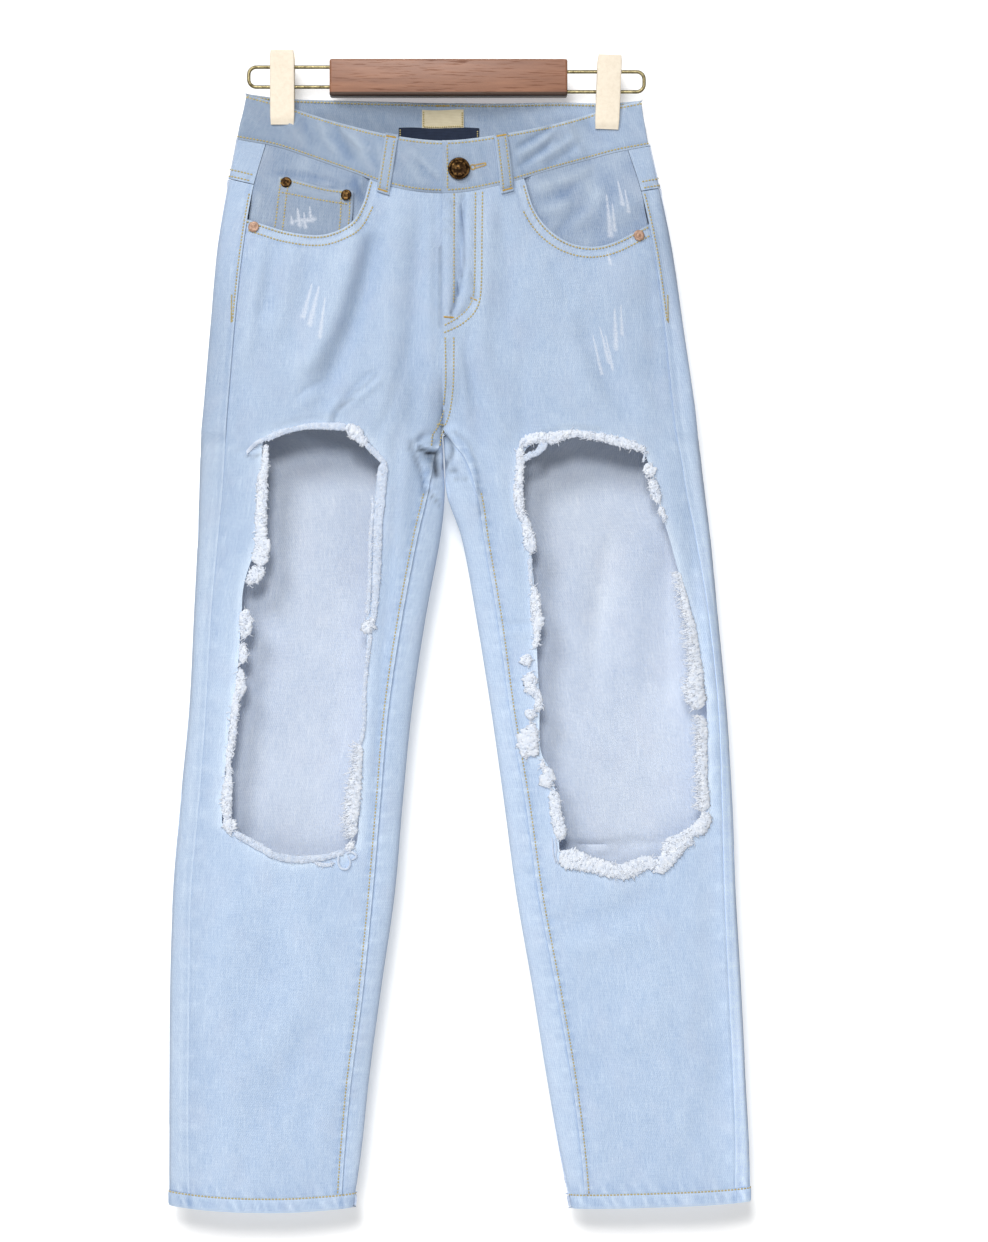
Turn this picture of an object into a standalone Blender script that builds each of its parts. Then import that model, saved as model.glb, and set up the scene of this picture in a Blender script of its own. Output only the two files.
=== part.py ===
"""Ripped ankle-length jeans that hang from a wooden clip hanger.

Axes: -Y is the front, +X is the wearer's left and +Z is up. The origin is the middle of the
hanger bar's flat top. Every size is in millimetres, and MM turns it into metres.
"""
import math
from collections import namedtuple

import bmesh
import bpy
from mathutils import Vector

MM = 0.001
GAP = 0.3                     # between pieces that touch
LAID = 1.0                    # under a piece that lies flat on a panel

# ---- cloth thicknesses and sewn sizes
DENIM = 1.2
TURNED = 2.6                  # two layers with a seam allowance: waistband and hems
PROUD = 0.7                   # how far turned bands stand out from the panels
LOOP_THICK = 1.4
LOOP_WIDTH = 11.0
LOOP_TAIL = 8.0               # loop below the waistband seam
LOOP_HEAD = 1.0               # loop above the waistband's top edge
HEM_DEEP = 12.5
FRAY_THICK = 0.8
FRAY_SUNK = 0.2
LABEL_THICK = 0.6
ZIP_THICK = 0.8

# ---- the form
CENTRE_X = -5.0               # centre front and centre back seams
CROTCH_Z = -322.0
CROTCH_BLEND = 115.0          # height over which the two legs merge into one hip
ROUNDNESS = 2.7               # of the flattened sections, 2 would be an ellipse
LAYERS = 2.7                  # least half depth, where front and back lie on each other
PINCH_FULL_Z = -62.0          # above this the clips hold the cloth flat
PINCH_END_Z = -195.0
SWAG_HALF = 128.0             # half the free span between the clips
SWAG_MID = -2.5
WAIST_LEVEL = -95.0
YOKE_LEVEL = -125.0
HEM_LEVEL = -978.0
TOP_FADE = -275.0             # rows are level below this, and follow the waist seam above it
HEM_FADE = -880.0
YOKE_SIDE_Z = {"right": -103.0, "left": -111.0}
YOKE_CENTRE_Z = -150.0

# ---- sections of each leg: silhouette and seams across the front
Section = namedtuple("Section", "z outer side inseam inner")
RIGHT_LEG = (
    Section(-28, -173.5, -148.0, -5.0, -5.0),
    Section(-66, -181.5, -156.0, -5.0, -5.0),
    Section(-110, -190.0, -168.0, -5.0, -5.0),
    Section(-165, -199.5, -176.5, -5.0, -5.0),
    Section(-230, -205.5, -183.5, -5.0, -5.0),
    Section(-300, -211.5, -189.5, -5.0, -5.0),
    Section(-322, -213.5, -191.0, -5.8, -5.6),
    Section(-345, -214.5, -192.5, -11.5, -4.6),
    Section(-376, -215.5, -194.5, -18.0, -3.4),
    Section(-412, -216.5, -198.0, -26.5, -7.0),
    Section(-480, -220.0, -204.0, -39.5, -19.5),
    Section(-560, -224.0, -208.5, -51.5, -31.5),
    Section(-640, -231.5, -214.5, -58.5, -39.5),
    Section(-720, -238.0, -221.5, -65.3, -46.5),
    Section(-800, -240.5, -222.8, -73.3, -58.0),
    Section(-880, -241.0, -223.8, -83.8, -68.7),
    Section(-940, -241.3, -223.8, -89.3, -75.0),
    Section(-992, -241.3, -222.5, -92.8, -82.5),
)
LEFT_LEG = (
    Section(-28, 165.5, 141.0, -5.0, -5.0),
    Section(-66, 171.5, 151.0, -5.0, -5.0),
    Section(-110, 181.5, 165.0, -5.0, -5.0),
    Section(-165, 193.0, 177.0, -5.0, -5.0),
    Section(-230, 202.5, 186.0, -5.0, -5.0),
    Section(-300, 212.7, 193.3, -5.0, -5.0),
    Section(-322, 215.0, 196.0, -2.5, -4.4),
    Section(-345, 218.0, 200.5, 14.5, -3.2),
    Section(-376, 221.5, 205.5, 25.0, -1.2),
    Section(-412, 226.0, 213.0, 30.5, 11.0),
    Section(-480, 232.5, 224.5, 42.0, 23.7),
    Section(-560, 240.0, 233.0, 53.0, 36.5),
    Section(-640, 245.0, 236.0, 66.2, 47.8),
    Section(-720, 248.0, 238.0, 77.6, 58.5),
    Section(-800, 252.5, 241.5, 92.7, 72.3),
    Section(-880, 256.5, 245.4, 106.4, 85.0),
    Section(-940, 259.5, 247.2, 114.0, 96.0),
    Section(-992, 261.0, 246.5, 118.5, 107.0),
)
LEGS = {"right": RIGHT_LEG, "left": LEFT_LEG}

Depth = namedtuple("Depth", "z front back")
DEPTHS = (
    Depth(-28, 36, 10),
    Depth(-66, 38, 13),
    Depth(-110, 36, 17),
    Depth(-165, 30, 21),
    Depth(-230, 25, 23),
    Depth(-322, 21, 22),
    Depth(-412, 20, 21),
    Depth(-560, 19, 20),
    Depth(-720, 16, 17),
    Depth(-880, 13, 14),
    Depth(-992, 11, 12),
)

# ---- the waistband's top edge and lower seam, front and back
Waist = namedtuple("Waist", "x top_front top_back seam_front seam_back")
WAIST = (
    Waist(-182, -28.0, -28.0, -68.5, -68.5),
    Waist(-143, -39.0, -33.0, -76.5, -72.5),
    Waist(-90, -57.5, -34.5, -96.5, -76.0),
    Waist(-45, -71.0, -35.0, -114.5, -77.5),
    Waist(0, -76.5, -35.5, -120.0, -78.0),
    Waist(45, -69.5, -36.0, -111.5, -78.5),
    Waist(90, -57.5, -36.0, -96.5, -78.5),
    Waist(138, -42.0, -37.0, -81.5, -77.5),
    Waist(172, -34.5, -34.5, -74.5, -74.5),
)

Hem = namedtuple("Hem", "outer inner sag")
HEMS = {"right": Hem(-988.0, -986.0, 6.5), "left": Hem(-985.0, -991.0, 1.0)}

# ---- the largest folds of the cloth; a ridge is positive and a trough is negative
Fold = namedtuple("Fold", "layer x0 z0 x1 z1 height width")
FOLDS = (
    Fold("front", -62, -185, -112, -270, 2.6, 20),
    Fold("front", 48, -170, 96, -260, 2.0, 20),
    Fold("front", -150, -720, -110, -850, 2.0, 26),
    Fold("front", 190, -720, 140, -850, 2.0, 26),
    Fold("back", -30, -330, -120, -300, 2.6, 18),
    Fold("back", 20, -330, 110, -300, 2.6, 18),
    Fold("back", -70, -590, -190, -560, 2.4, 16),
    Fold("back", 90, -600, 220, -570, 2.4, 16),
)

# ---- outlines of the two ripped holes, counter-clockwise from the front
Knot = namedtuple("Knot", "x z reach")
RIPS = {
    "right": (
        Knot(-159, -332, 4), Knot(-160, -390, 9), Knot(-167, -430, 9), Knot(-178, -480, 6),
        Knot(-183, -560, 8), Knot(-192, -620, 6), Knot(-194, -657, 5), Knot(-162, -678, 4),
        Knot(-122, -691, 4), Knot(-88, -683, 8), Knot(-77.5, -655, 10), Knot(-73, -560, 6),
        Knot(-63.5, -483, 8), Knot(-56, -410, 7), Knot(-56.5, -345, 4), Knot(-78, -324, 4),
        Knot(-115, -319, 5), Knot(-142, -323, 5),
    ),
    "left": (
        Knot(64, -343, 7), Knot(61, -378, 8), Knot(71, -428, 6), Knot(75, -500, 9),
        Knot(78, -575, 10), Knot(88, -622, 6), Knot(96, -658, 6), Knot(105, -686, 8),
        Knot(140, -698, 8), Knot(180, -693, 8), Knot(213, -665, 8), Knot(223, -640, 12),
        Knot(222, -560, 12), Knot(209, -486, 9), Knot(190, -414, 6), Knot(174, -356, 5),
        Knot(146, -330, 5), Knot(105, -324, 5), Knot(76, -331, 6),
    ),
}
RIP_SIDES = 48
CUTTER_DEEP = 80.0            # from the middle plane to in front of the cloth

# ---- pockets
Spot = namedtuple("Spot", "x z")
MOUTHS = {
    "right": (
        Spot(-66, -104), Spot(-70, -121), Spot(-80, -141), Spot(-97, -151.5), Spot(-118, -154),
        Spot(-143, -149.5), Spot(-176, -138),
    ),
    "left": (
        Spot(64, -104), Spot(69, -124), Spot(82, -146), Spot(100, -159), Spot(120, -164),
        Spot(142, -160), Spot(174, -144),
    ),
}
MOUTH_STEPS = 24
MOUTH_PAST_SIDE = 1.4         # how far out the pocket's cut runs, as a share of its last X
FACING_INNER = {"right": -50.0, "left": 48.0}
FACING_LOW = {"right": -170.0, "left": -179.0}
FACING_SUNK = 3.8             # facing behind the front panel's face, near the mouth
FACING_EASE = (8.0, 30.0)     # heights above the mouth between which it comes level
COIN_CORNERS = (Spot(-151, -143), Spot(-84, -152), Spot(-81, -117), Spot(-146, -103))
BACK_POCKET = {"right": (-98.0, 0.06), "left": (90.0, -0.06)}
BACK_POCKET_TOP = -172.0
BACK_POCKET_TALL = 138.0
BACK_POCKET_WIDE = (108.0, 126.0)
BACK_POCKET_POINT = 20.0

# ---- fly, labels, loops
FLY_SUNK = 2.8                # zip tape behind the front panels' face
FLY_LOW = -236.0
ZIP_LOW = -226.0
ZIP_X = (-9.0, 21.0)
SHIELD_X = (-15.0, 29.0)
LAP_END_X = -5.0              # free end of the waistband's outer, wearer's left, end
UNDERLAP_END_X = 27.0
UNDERLAP_EASE = (-16.0, -46.0)
Label = namedtuple("Label", "name x0 x1 z0 z1")
LABELS = (
    Label("label_cream", -25.0, 11.5, -57.5, -45.0),
    Label("label_navy", -44.0, 26.5, -75.5, -58.0),
)
Loop = namedtuple("Loop", "layer x_top x_low")
LOOPS = (
    Loop("front", -47.5, -55.5),
    Loop("front", 44.5, 50.5),
    Loop("back", -90.0, -91.0),
    Loop("back", CENTRE_X, CENTRE_X),
    Loop("back", 84.0, 85.0),
)

# ---- metal on the cloth
BUTTON_AT = (9.2, -98.5)
BUTTON_RADIUS = 9.5
BUTTON_THICK = 3.4
RIVET_RADIUS = 4.8
RIVET_THICK = 1.5
HEAD_TAPER = 0.82             # radius of a metal head's face, as a share of its foot's
Rivet = namedtuple("Rivet", "x z lift")
RIVETS = (
    Rivet(-167.0, -146.0, 0.0),
    Rivet(-139.5, -107.5, LAID + DENIM),
    Rivet(-86.5, -120.0, LAID + DENIM),
    Rivet(163.5, -153.5, 0.0),
)

# ---- hanger
BAR = Vector((205.0, 16.0, 32.0))
BAR_ROUND = 2.0
WIRE_RADIUS = 1.6
WIRE_CORNER = 6.5
Side = namedtuple("Side", "name sign wire_end wire_high wire_low clip_x roll")
HANGER_SIDES = (
    Side("right", -1.0, 172.5, -6.2, -23.4, 143.3, 0.0),
    Side("left", 1.0, 168.8, -10.2, -27.5, 138.2, 2.3),
)
CLIP_WIDE = 21.0
CLIP_TALL = 63.5
CLIP_THICK = 1.8
CLIP_ROUND = 0.6
CLIP_TOP_OVER_WIRE = 13.4
CLIP_JAW_Y = 3.7              # inner face of each jaw at the cloth
CLIP_GRIP_Y = 8.0             # inner face of each plate at the top
SPRING_RADIUS = 4.6
SPRING_LONG = 15.0

# ---- rows of the panels, closer together at the crotch
LEVELS = (
    -95, -118, -145, -175, -207, -240, -270, -295, -312, -322, -332, -345, -360, -378, -400,
    -430, -465, -505, -550, -600, -655, -715, -775, -830, -880, -930, -978,
)
FRONT_COLUMNS = 9
BACK_COLUMNS = 15

FINISHES = {
    "denim": ((0.55, 0.66, 0.82), 0.85, 0.0),
    "fray": ((0.86, 0.88, 0.93), 0.95, 0.0),
    "zip tape": ((0.62, 0.66, 0.72), 0.8, 0.0),
    "cream tape": ((0.86, 0.8, 0.66), 0.8, 0.0),
    "navy tape": ((0.03, 0.05, 0.09), 0.8, 0.0),
    "dark brass": ((0.16, 0.1, 0.05), 0.4, 1.0),
    "light copper": ((0.62, 0.4, 0.24), 0.35, 1.0),
    "wood": ((0.32, 0.15, 0.08), 0.5, 0.0),
    "wire": ((0.42, 0.36, 0.2), 0.35, 1.0),
    "clip gold": ((0.9, 0.82, 0.68), 0.35, 1.0),
}


# ======================================================================= numbers and curves

def ease(value):
    """0 below 0, 1 above 1 and a smooth step between."""
    value = min(1.0, max(0.0, value))
    return value * value * (3.0 - 2.0 * value)


def mix(start, end, share):
    return start + (end - start) * share


def table_value(rows, key, column, where):
    """Reads a column of a table at any key, on a smooth curve through the rows."""
    keys = [getattr(row, key) for row in rows]
    values = [getattr(row, column) for row in rows]
    if keys[0] > keys[-1]:
        keys.reverse()
        values.reverse()
    last = len(keys) - 1
    where = min(keys[-1], max(keys[0], where))
    cell = max(i for i in range(last) if keys[i] <= where)

    def slope(i):
        low, high = max(0, i - 1), min(last, i + 1)
        return (values[high] - values[low]) / (keys[high] - keys[low])

    span = keys[cell + 1] - keys[cell]
    t = (where - keys[cell]) / span
    start, end = values[cell], values[cell + 1]
    bend = t * (1.0 - t) * span
    return mix(start, end, t * t * (3.0 - 2.0 * t)) + bend * ((1.0 - t) * slope(cell) - t * slope(cell + 1))


def spline_point(points, share, closed):
    """A point on a smooth curve through the points."""
    count = len(points)
    cells = count if closed else count - 1
    place = (share % 1.0 if closed else min(share, 1.0)) * cells
    cell = min(int(place), cells - 1)
    t = place - cell

    def pick(i):
        return Vector(points[i % count] if closed else points[min(max(i, 0), count - 1)])

    before, start, end, after = (pick(cell + step) for step in (-1, 0, 1, 2))
    return 0.5 * (2 * start + (end - before) * t + (2 * before - 5 * start + 4 * end - after) * t ** 2
                  + (3 * start - before - 3 * end + after) * t ** 3)


# ======================================================================= the form

def leg_value(side, column, z):
    return table_value(LEGS[side], "z", column, z)


def waist_value(column, x):
    return table_value(WAIST, "x", column, x)


def share_of_depth(x, low, high):
    """How full a flattened section is at x, 0 at its two folds and 1 in its middle."""
    reach = abs(2.0 * x - low - high) / (high - low)
    return max(0.0, 1.0 - min(1.0, reach) ** ROUNDNESS) ** (1.0 / ROUNDNESS)


def leg_span(side, z):
    """The X of a leg's two folds, lowest first."""
    outer = leg_value(side, "outer", z)
    inner = leg_value(side, "inner", z)
    return min(outer, inner), max(outer, inner)


def hip_span(z):
    return leg_value("right", "outer", z), leg_value("left", "outer", z)


def fold_height(layer, x, z):
    """The sum of the soft folds at one place of a layer."""
    total = 0.0
    for fold in FOLDS:
        if fold.layer != layer:
            continue
        along = Vector((fold.x1 - fold.x0, fold.z1 - fold.z0))
        offset = Vector((x - fold.x0, z - fold.z0))
        share = offset.dot(along) / along.length_squared
        across = abs(offset.x * along.y - offset.y * along.x) / along.length
        ends = ease(share / 0.35 + 0.5) * ease((1.0 - share) / 0.35 + 0.5)
        total += fold.height * ends * math.exp(-(across / fold.width) ** 2)
    return total


def half_depth(side, layer, x, z):
    """Distance of a layer of the cloth from the middle plane."""
    deep = table_value(DEPTHS, "z", layer, z)
    low, high = leg_span(side, z)
    leg = share_of_depth(x, low, high)
    folds = fold_height(layer, x, z)
    if z < CROTCH_Z:
        return (deep + folds) * leg
    hip = share_of_depth(x, *hip_span(z))
    merged = ease((z - CROTCH_Z) / CROTCH_BLEND)
    pinched = ease((z - PINCH_END_Z) / (PINCH_FULL_Z - PINCH_END_Z))
    swag = max(0.0, 1.0 - ((x - SWAG_MID) / SWAG_HALF) ** 2) ** 1.3
    full = mix(mix(leg, hip, merged), swag, pinched)
    return math.hypot((deep + folds) * full, LAYERS * math.sqrt(hip))


def cloth_point(side, layer, x, z):
    away = half_depth(side, layer, x, z)
    return Vector((x, -away if layer == "front" else away, z))


def side_of(x):
    return "right" if x < CENTRE_X else "left"


def turn_of(x, low, high):
    """Turn along a flattened loop at which its front layer passes x: 0 at low, pi at high."""
    return math.acos(min(1.0, max(-1.0, 1.0 - 2.0 * (x - low) / (high - low))))


def loop_x(turn, low, high):
    return mix(low, high, 0.5 - 0.5 * math.cos(turn))


def layer_of(turn):
    return "front" if turn % (2.0 * math.pi) < math.pi else "back"


def hem_line(side, x):
    """The lower edge of a leg."""
    hem = HEMS[side]
    outer = leg_value(side, "outer", hem.outer)
    inner = leg_value(side, "inner", hem.inner)
    across = (x - outer) / (inner - outer)
    return mix(hem.outer, hem.inner, across) - hem.sag * 4.0 * across * (1.0 - across)


def yoke_line(x):
    """The seam under the yokes: a flat V, lowest at the centre back."""
    side = side_of(x)
    edge = leg_value(side, "outer", YOKE_SIDE_Z[side])
    across = min(1.0, max(0.0, (x - CENTRE_X) / (edge - CENTRE_X)))
    return mix(YOKE_CENTRE_Z, YOKE_SIDE_Z[side], across)


def row_height(side, x, level, top_line, top_level):
    """Height of a panel's row at x: rows run level but follow the edges near the top and hem."""
    near_top = ease((level - TOP_FADE) / (top_level - TOP_FADE))
    near_hem = ease((HEM_FADE - level) / (HEM_FADE - HEM_LEVEL))
    lift = (top_line(x) - GAP - top_level) * near_top
    hem_top = hem_line(side, x) + HEM_DEEP + 2 * GAP
    return level + lift + (hem_top - HEM_LEVEL) * near_hem


def level_at(levels, share):
    """The level at a share of the rows counted up from the hem."""
    place = (1.0 - share) * (len(levels) - 1)
    cell = min(int(place), len(levels) - 2)
    return mix(levels[cell], levels[cell + 1], place - cell)


def settled_seam(side, height_at, column="side"):
    """Where a row that lies at height_at(x) meets a seam: its X and its height."""
    x = leg_value(side, column, WAIST_LEVEL)
    for _ in range(4):
        x = leg_value(side, column, height_at(x))
    return x, height_at(x)


def seam_x(side, column, level, top_line, top_level):
    """X of a seam where a panel's row meets it, and the row's height there."""
    return settled_seam(side, lambda x: row_height(side, x, level, top_line, top_level), column)


# ======================================================================= cloth surfaces
# Each surface gives a point for u and v from 0 to 1. v runs up, and u runs so that the
# outside of the cloth is on the right-hand side of u turned to v.

def front_seam(x):
    return waist_value("seam_front", x)


def back_levels():
    return [YOKE_LEVEL] + [level for level in LEVELS if level < YOKE_LEVEL]


def front_surface(side):
    def place(u, v):
        level = level_at(LEVELS, v)
        seam, _ = seam_x(side, "side", level, front_seam, WAIST_LEVEL)
        middle, _ = seam_x(side, "inseam", level, front_seam, WAIST_LEVEL)
        if side == "right":
            x = mix(seam + GAP / 2, middle - GAP / 2, u)
        else:
            x = mix(middle + GAP / 2, seam - GAP / 2, u)
        z = row_height(side, x, level, front_seam, WAIST_LEVEL)
        return cloth_point(side, "front", x, z)
    return place


def back_turns(side, z, seam, inseam):
    """The turns at which a back panel starts and ends, going round behind."""
    low, high = leg_span(side, z)
    if side == "right":
        end = 2.0 * math.pi + turn_of(seam - GAP / 2, low, high)
        if z < CROTCH_Z:
            return turn_of(inseam + GAP / 2, low, high), end
        return 2.0 * math.pi - turn_of(CENTRE_X - GAP / 2, low, high), end
    start = turn_of(seam + GAP / 2, low, high)
    if z < CROTCH_Z:
        return start, 2.0 * math.pi + turn_of(inseam - GAP / 2, low, high)
    return start, 2.0 * math.pi - turn_of(CENTRE_X + GAP / 2, low, high)


def back_surface(side):
    levels = back_levels()

    def place(u, v):
        level = level_at(levels, v)
        seam, height = seam_x(side, "side", level, yoke_line, YOKE_LEVEL)
        inseam, _ = seam_x(side, "inseam", level, yoke_line, YOKE_LEVEL)
        low, high = leg_span(side, height)
        turn = mix(*back_turns(side, height, seam, inseam), u)
        x = loop_x(turn, low, high)
        z = row_height(side, x, level, yoke_line, YOKE_LEVEL)
        return cloth_point(side, layer_of(turn), x, z)
    return place


def yoke_surface(side):
    def place(u, v):
        seam, height = settled_seam(side, lambda x: mix(yoke_line(x) + GAP, front_seam(x) - GAP, v))
        low, high = leg_span(side, height)
        turn = mix(*back_turns(side, height, seam, CENTRE_X), u)
        x = loop_x(turn, low, high)
        layer = layer_of(turn)
        z = mix(yoke_line(x) + GAP, waist_value("seam_" + layer, x) - GAP, v)
        return cloth_point(side, layer, x, z)
    return place


def waistband_surface(u, v):
    """Round the waist from the outer lap, behind, to the end that lies under it."""
    height = mix(WAIST[0].seam_front, WAIST[0].top_front, v)
    low, high = hip_span(height)
    start = turn_of(LAP_END_X, low, high)
    end = 2.0 * math.pi + turn_of(UNDERLAP_END_X, low, high)
    turn = mix(start, end, u)
    x = loop_x(turn, low, high)
    layer = layer_of(turn)
    z = mix(waist_value("seam_" + layer, x), waist_value("top_" + layer, x), v)
    return cloth_point(side_of(x), layer, x, z)


def waistband_lift(point, u):
    """The end under the lap lies one band's thickness further in."""
    if u < 0.5 or point.y > 0.0:
        return PROUD
    under = ease((point.x - UNDERLAP_EASE[1]) / (UNDERLAP_EASE[0] - UNDERLAP_EASE[1]))
    return PROUD - under * (TURNED + GAP)


def hem_surface(side):
    def place(u, v):
        low, high = leg_span(side, HEMS[side].outer + HEM_DEEP * v)
        turn = 2.0 * math.pi * u
        x = loop_x(turn, low, high)
        z = hem_line(side, x) + HEM_DEEP * v
        return cloth_point(side, layer_of(turn), x, z)
    return place


def mouth_height(side, x):
    """Height of the scooped pocket edge at x, carried on level past its two ends."""
    points = MOUTHS[side]
    steps = [spline_point(points, i / MOUTH_STEPS, False) for i in range(MOUTH_STEPS + 1)]
    steps.sort(key=lambda point: point.x)
    if x <= steps[0].x:
        return steps[0].y
    for low, high in zip(steps, steps[1:]):
        if x <= high.x:
            return mix(low.y, high.y, (x - low.x) / max(1e-6, high.x - low.x))
    return steps[-1].y


def facing_lift(point, _u):
    side = side_of(point.x)
    above = point.z - mouth_height(side, point.x)
    return -FACING_SUNK * (1.0 - ease((above - FACING_EASE[0]) / (FACING_EASE[1] - FACING_EASE[0])))


def facing_surface(side):
    def place(u, v):
        inner = FACING_INNER[side]
        seam, _ = settled_seam(side, lambda x: mix(FACING_LOW[side], front_seam(x) - GAP, v))
        x = mix(seam + GAP, inner, u) if side == "right" else mix(inner, seam - GAP, u)
        z = mix(FACING_LOW[side], front_seam(x) - GAP, v)
        return cloth_point(side, "front", x, z)
    return place


def coin_surface(u, v):
    low_left, low_right, high_right, high_left = (Vector(corner) for corner in COIN_CORNERS)
    x, z = mix(mix(low_left, low_right, u), mix(high_left, high_right, u), v)
    return cloth_point("right", "front", x, z)


def coin_lift(point, u):
    return facing_lift(point, u) + LAID + DENIM


def back_pocket_surface(side):
    centre, lean = BACK_POCKET[side]

    def place(u, v):
        across = (0.5 - u) * mix(BACK_POCKET_WIDE[0], BACK_POCKET_WIDE[1], v)
        point_drop = BACK_POCKET_POINT * (1.0 - abs(2.0 * u - 1.0)) * (1.0 - v)
        x = centre + across + lean * (v - 0.5) * BACK_POCKET_TALL
        z = BACK_POCKET_TOP - BACK_POCKET_TALL * (1.0 - v) + BACK_POCKET_POINT * (1.0 - v) - point_drop
        return cloth_point(side, "back", x, z)
    return place


def fly_strip_surface(x_range, low):
    def place(u, v):
        x = mix(x_range[0], x_range[1], u)
        z = mix(low, front_seam(x) - GAP, v)
        return cloth_point(side_of(x), "front", x, z)
    return place


def belt_loop_surface(loop):
    def place(u, v):
        middle = mix(loop.x_low, loop.x_top, v)
        across = (u - 0.5) * LOOP_WIDTH
        x = middle + across if loop.layer == "front" else middle - across
        low = waist_value("seam_" + loop.layer, x) - LOOP_TAIL
        z = mix(low, waist_value("top_" + loop.layer, x) + LOOP_HEAD, v)
        return cloth_point(side_of(x), loop.layer, x, z)
    return place


def label_surface(label):
    def place(u, v):
        x = mix(label.x1, label.x0, u)
        return cloth_point(side_of(x), "back", x, mix(label.z0, label.z1, v))
    return place


def rip_outline(side, share):
    """A point on a hole's outline and the reach of its loose threads there."""
    return spline_point([tuple(knot) for knot in RIPS[side]], share, True)


def rip_point(side, share, inward):
    """A point a given way in from a hole's edge, toward the hole's middle."""
    step = 0.25 / RIP_SIDES
    here = rip_outline(side, share)
    along = rip_outline(side, share + step) - rip_outline(side, share - step)
    normal = Vector((-along.y, along.x)).normalized()
    return here.x + normal.x * inward(here.z), here.y + normal.y * inward(here.z)


def fray_surface(side):
    def place(u, v):
        x, z = rip_point(side, u, lambda reach: mix(GAP, reach, v))
        return cloth_point(side, "front", x, z)
    return place


# ======================================================================= making objects

def finish(name):
    """A plain material of one of the object's finishes."""
    material = bpy.data.materials.get(name)
    if material:
        return material
    material = bpy.data.materials.new(name)
    material.use_nodes = True
    colour, rough, metal = FINISHES[name]
    shader = material.node_tree.nodes["Principled BSDF"]
    shader.inputs["Base Color"].default_value = (*colour, 1.0)
    shader.inputs["Roughness"].default_value = rough
    shader.inputs["Metallic"].default_value = metal
    material.diffuse_color = (*colour, 1.0)
    return material


def add_object(name, bm, material, collection):
    mesh = bpy.data.meshes.new(name)
    bm.to_mesh(mesh)
    bm.free()
    thing = bpy.data.objects.new(name, mesh)
    collection.objects.link(thing)
    if material:
        mesh.materials.append(finish(material))
    return thing


def outward(surface, u, v):
    """The direction that a surface faces, from its slopes along u and v."""
    step = 0.002
    u0, u1 = max(0.0, u - step), min(1.0, u + step)
    v0, v1 = max(0.0, v - step), min(1.0, v + step)
    along = surface(u1, v) - surface(u0, v)
    up = surface(u, v1) - surface(u, v0)
    return along.cross(up).normalized()


def face_outward(bm):
    bmesh.ops.recalc_face_normals(bm, faces=bm.faces)
    if bm.calc_volume(signed=True) < 0.0:
        bmesh.ops.reverse_faces(bm, faces=bm.faces)


def cloth(name, surface, columns, rows, collection, thick=DENIM, lift=0.0, closed=False,
          material="denim"):
    """A wall of cloth: a grid laid on a surface, extruded inward by its thickness."""
    bm = bmesh.new()
    bmesh.ops.create_grid(bm, x_segments=columns, y_segments=rows, size=0.5)
    place_u = bm.verts.layers.float.new("u")
    place_v = bm.verts.layers.float.new("v")
    for vert in bm.verts:
        vert[place_u] = vert.co.x + 0.5
        vert[place_v] = vert.co.y + 0.5
        if closed:
            turn = 2.0 * math.pi * vert[place_u]
            vert.co = ((1.0 + vert.co.y) * math.cos(turn), (1.0 + vert.co.y) * math.sin(turn), 0.0)
    if closed:
        bmesh.ops.remove_doubles(bm, verts=bm.verts, dist=1e-5)
    skin = bmesh.ops.extrude_face_region(bm, geom=bm.faces[:], use_keep_orig=True)
    inner = {item for item in skin["geom"] if isinstance(item, bmesh.types.BMVert)}
    for vert in bm.verts:
        u, v = vert[place_u], vert[place_v]
        point = surface(u, v)
        height = lift(point, u) if callable(lift) else lift
        if vert in inner:
            height -= thick
        vert.co = (point + outward(surface, u, v) * height) * MM
    face_outward(bm)
    thing = add_object(name, bm, material, collection)
    thing.data.shade_smooth()
    thing.data.set_sharp_from_angle(angle=math.radians(40))
    return thing


def prism(name, outline, collection):
    """A cutter that runs through the front layer, with an outline seen from the front."""
    bm = bmesh.new()
    ring = bmesh.ops.create_circle(bm, segments=len(outline), radius=1.0, cap_ends=True)["verts"]
    for vert, (x, z) in zip(ring, outline):
        vert.co = (x * MM, -CUTTER_DEEP * MM, z * MM)
    moved = bmesh.ops.extrude_face_region(bm, geom=bm.faces[:], use_keep_orig=True)["geom"]
    far = [item for item in moved if isinstance(item, bmesh.types.BMVert)]
    bmesh.ops.translate(bm, verts=far, vec=(0.0, CUTTER_DEEP * MM, 0.0))
    face_outward(bm)
    cutter = add_object(name, bm, None, collection)
    cutter.hide_render = True
    cutter.display_type = "WIRE"
    return cutter


def cut(thing, cutter):
    boolean = thing.modifiers.new(cutter.name, "BOOLEAN")
    boolean.object = cutter
    boolean.operation = "DIFFERENCE"
    boolean.solver = "EXACT"


def rounded_block(name, size, round_by, material, collection, place, rotation=(0.0, 0.0, 0.0)):
    """A block with rounded edges, its middle at a place."""
    bm = bmesh.new()
    bmesh.ops.create_cube(bm, size=1.0)
    bmesh.ops.scale(bm, verts=bm.verts, vec=size * MM)
    thing = add_object(name, bm, material, collection)
    bevel = thing.modifiers.new("Edges", "BEVEL")
    bevel.width = round_by * MM
    bevel.segments = 2
    thing.location = place * MM
    thing.rotation_euler = rotation
    return thing


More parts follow.
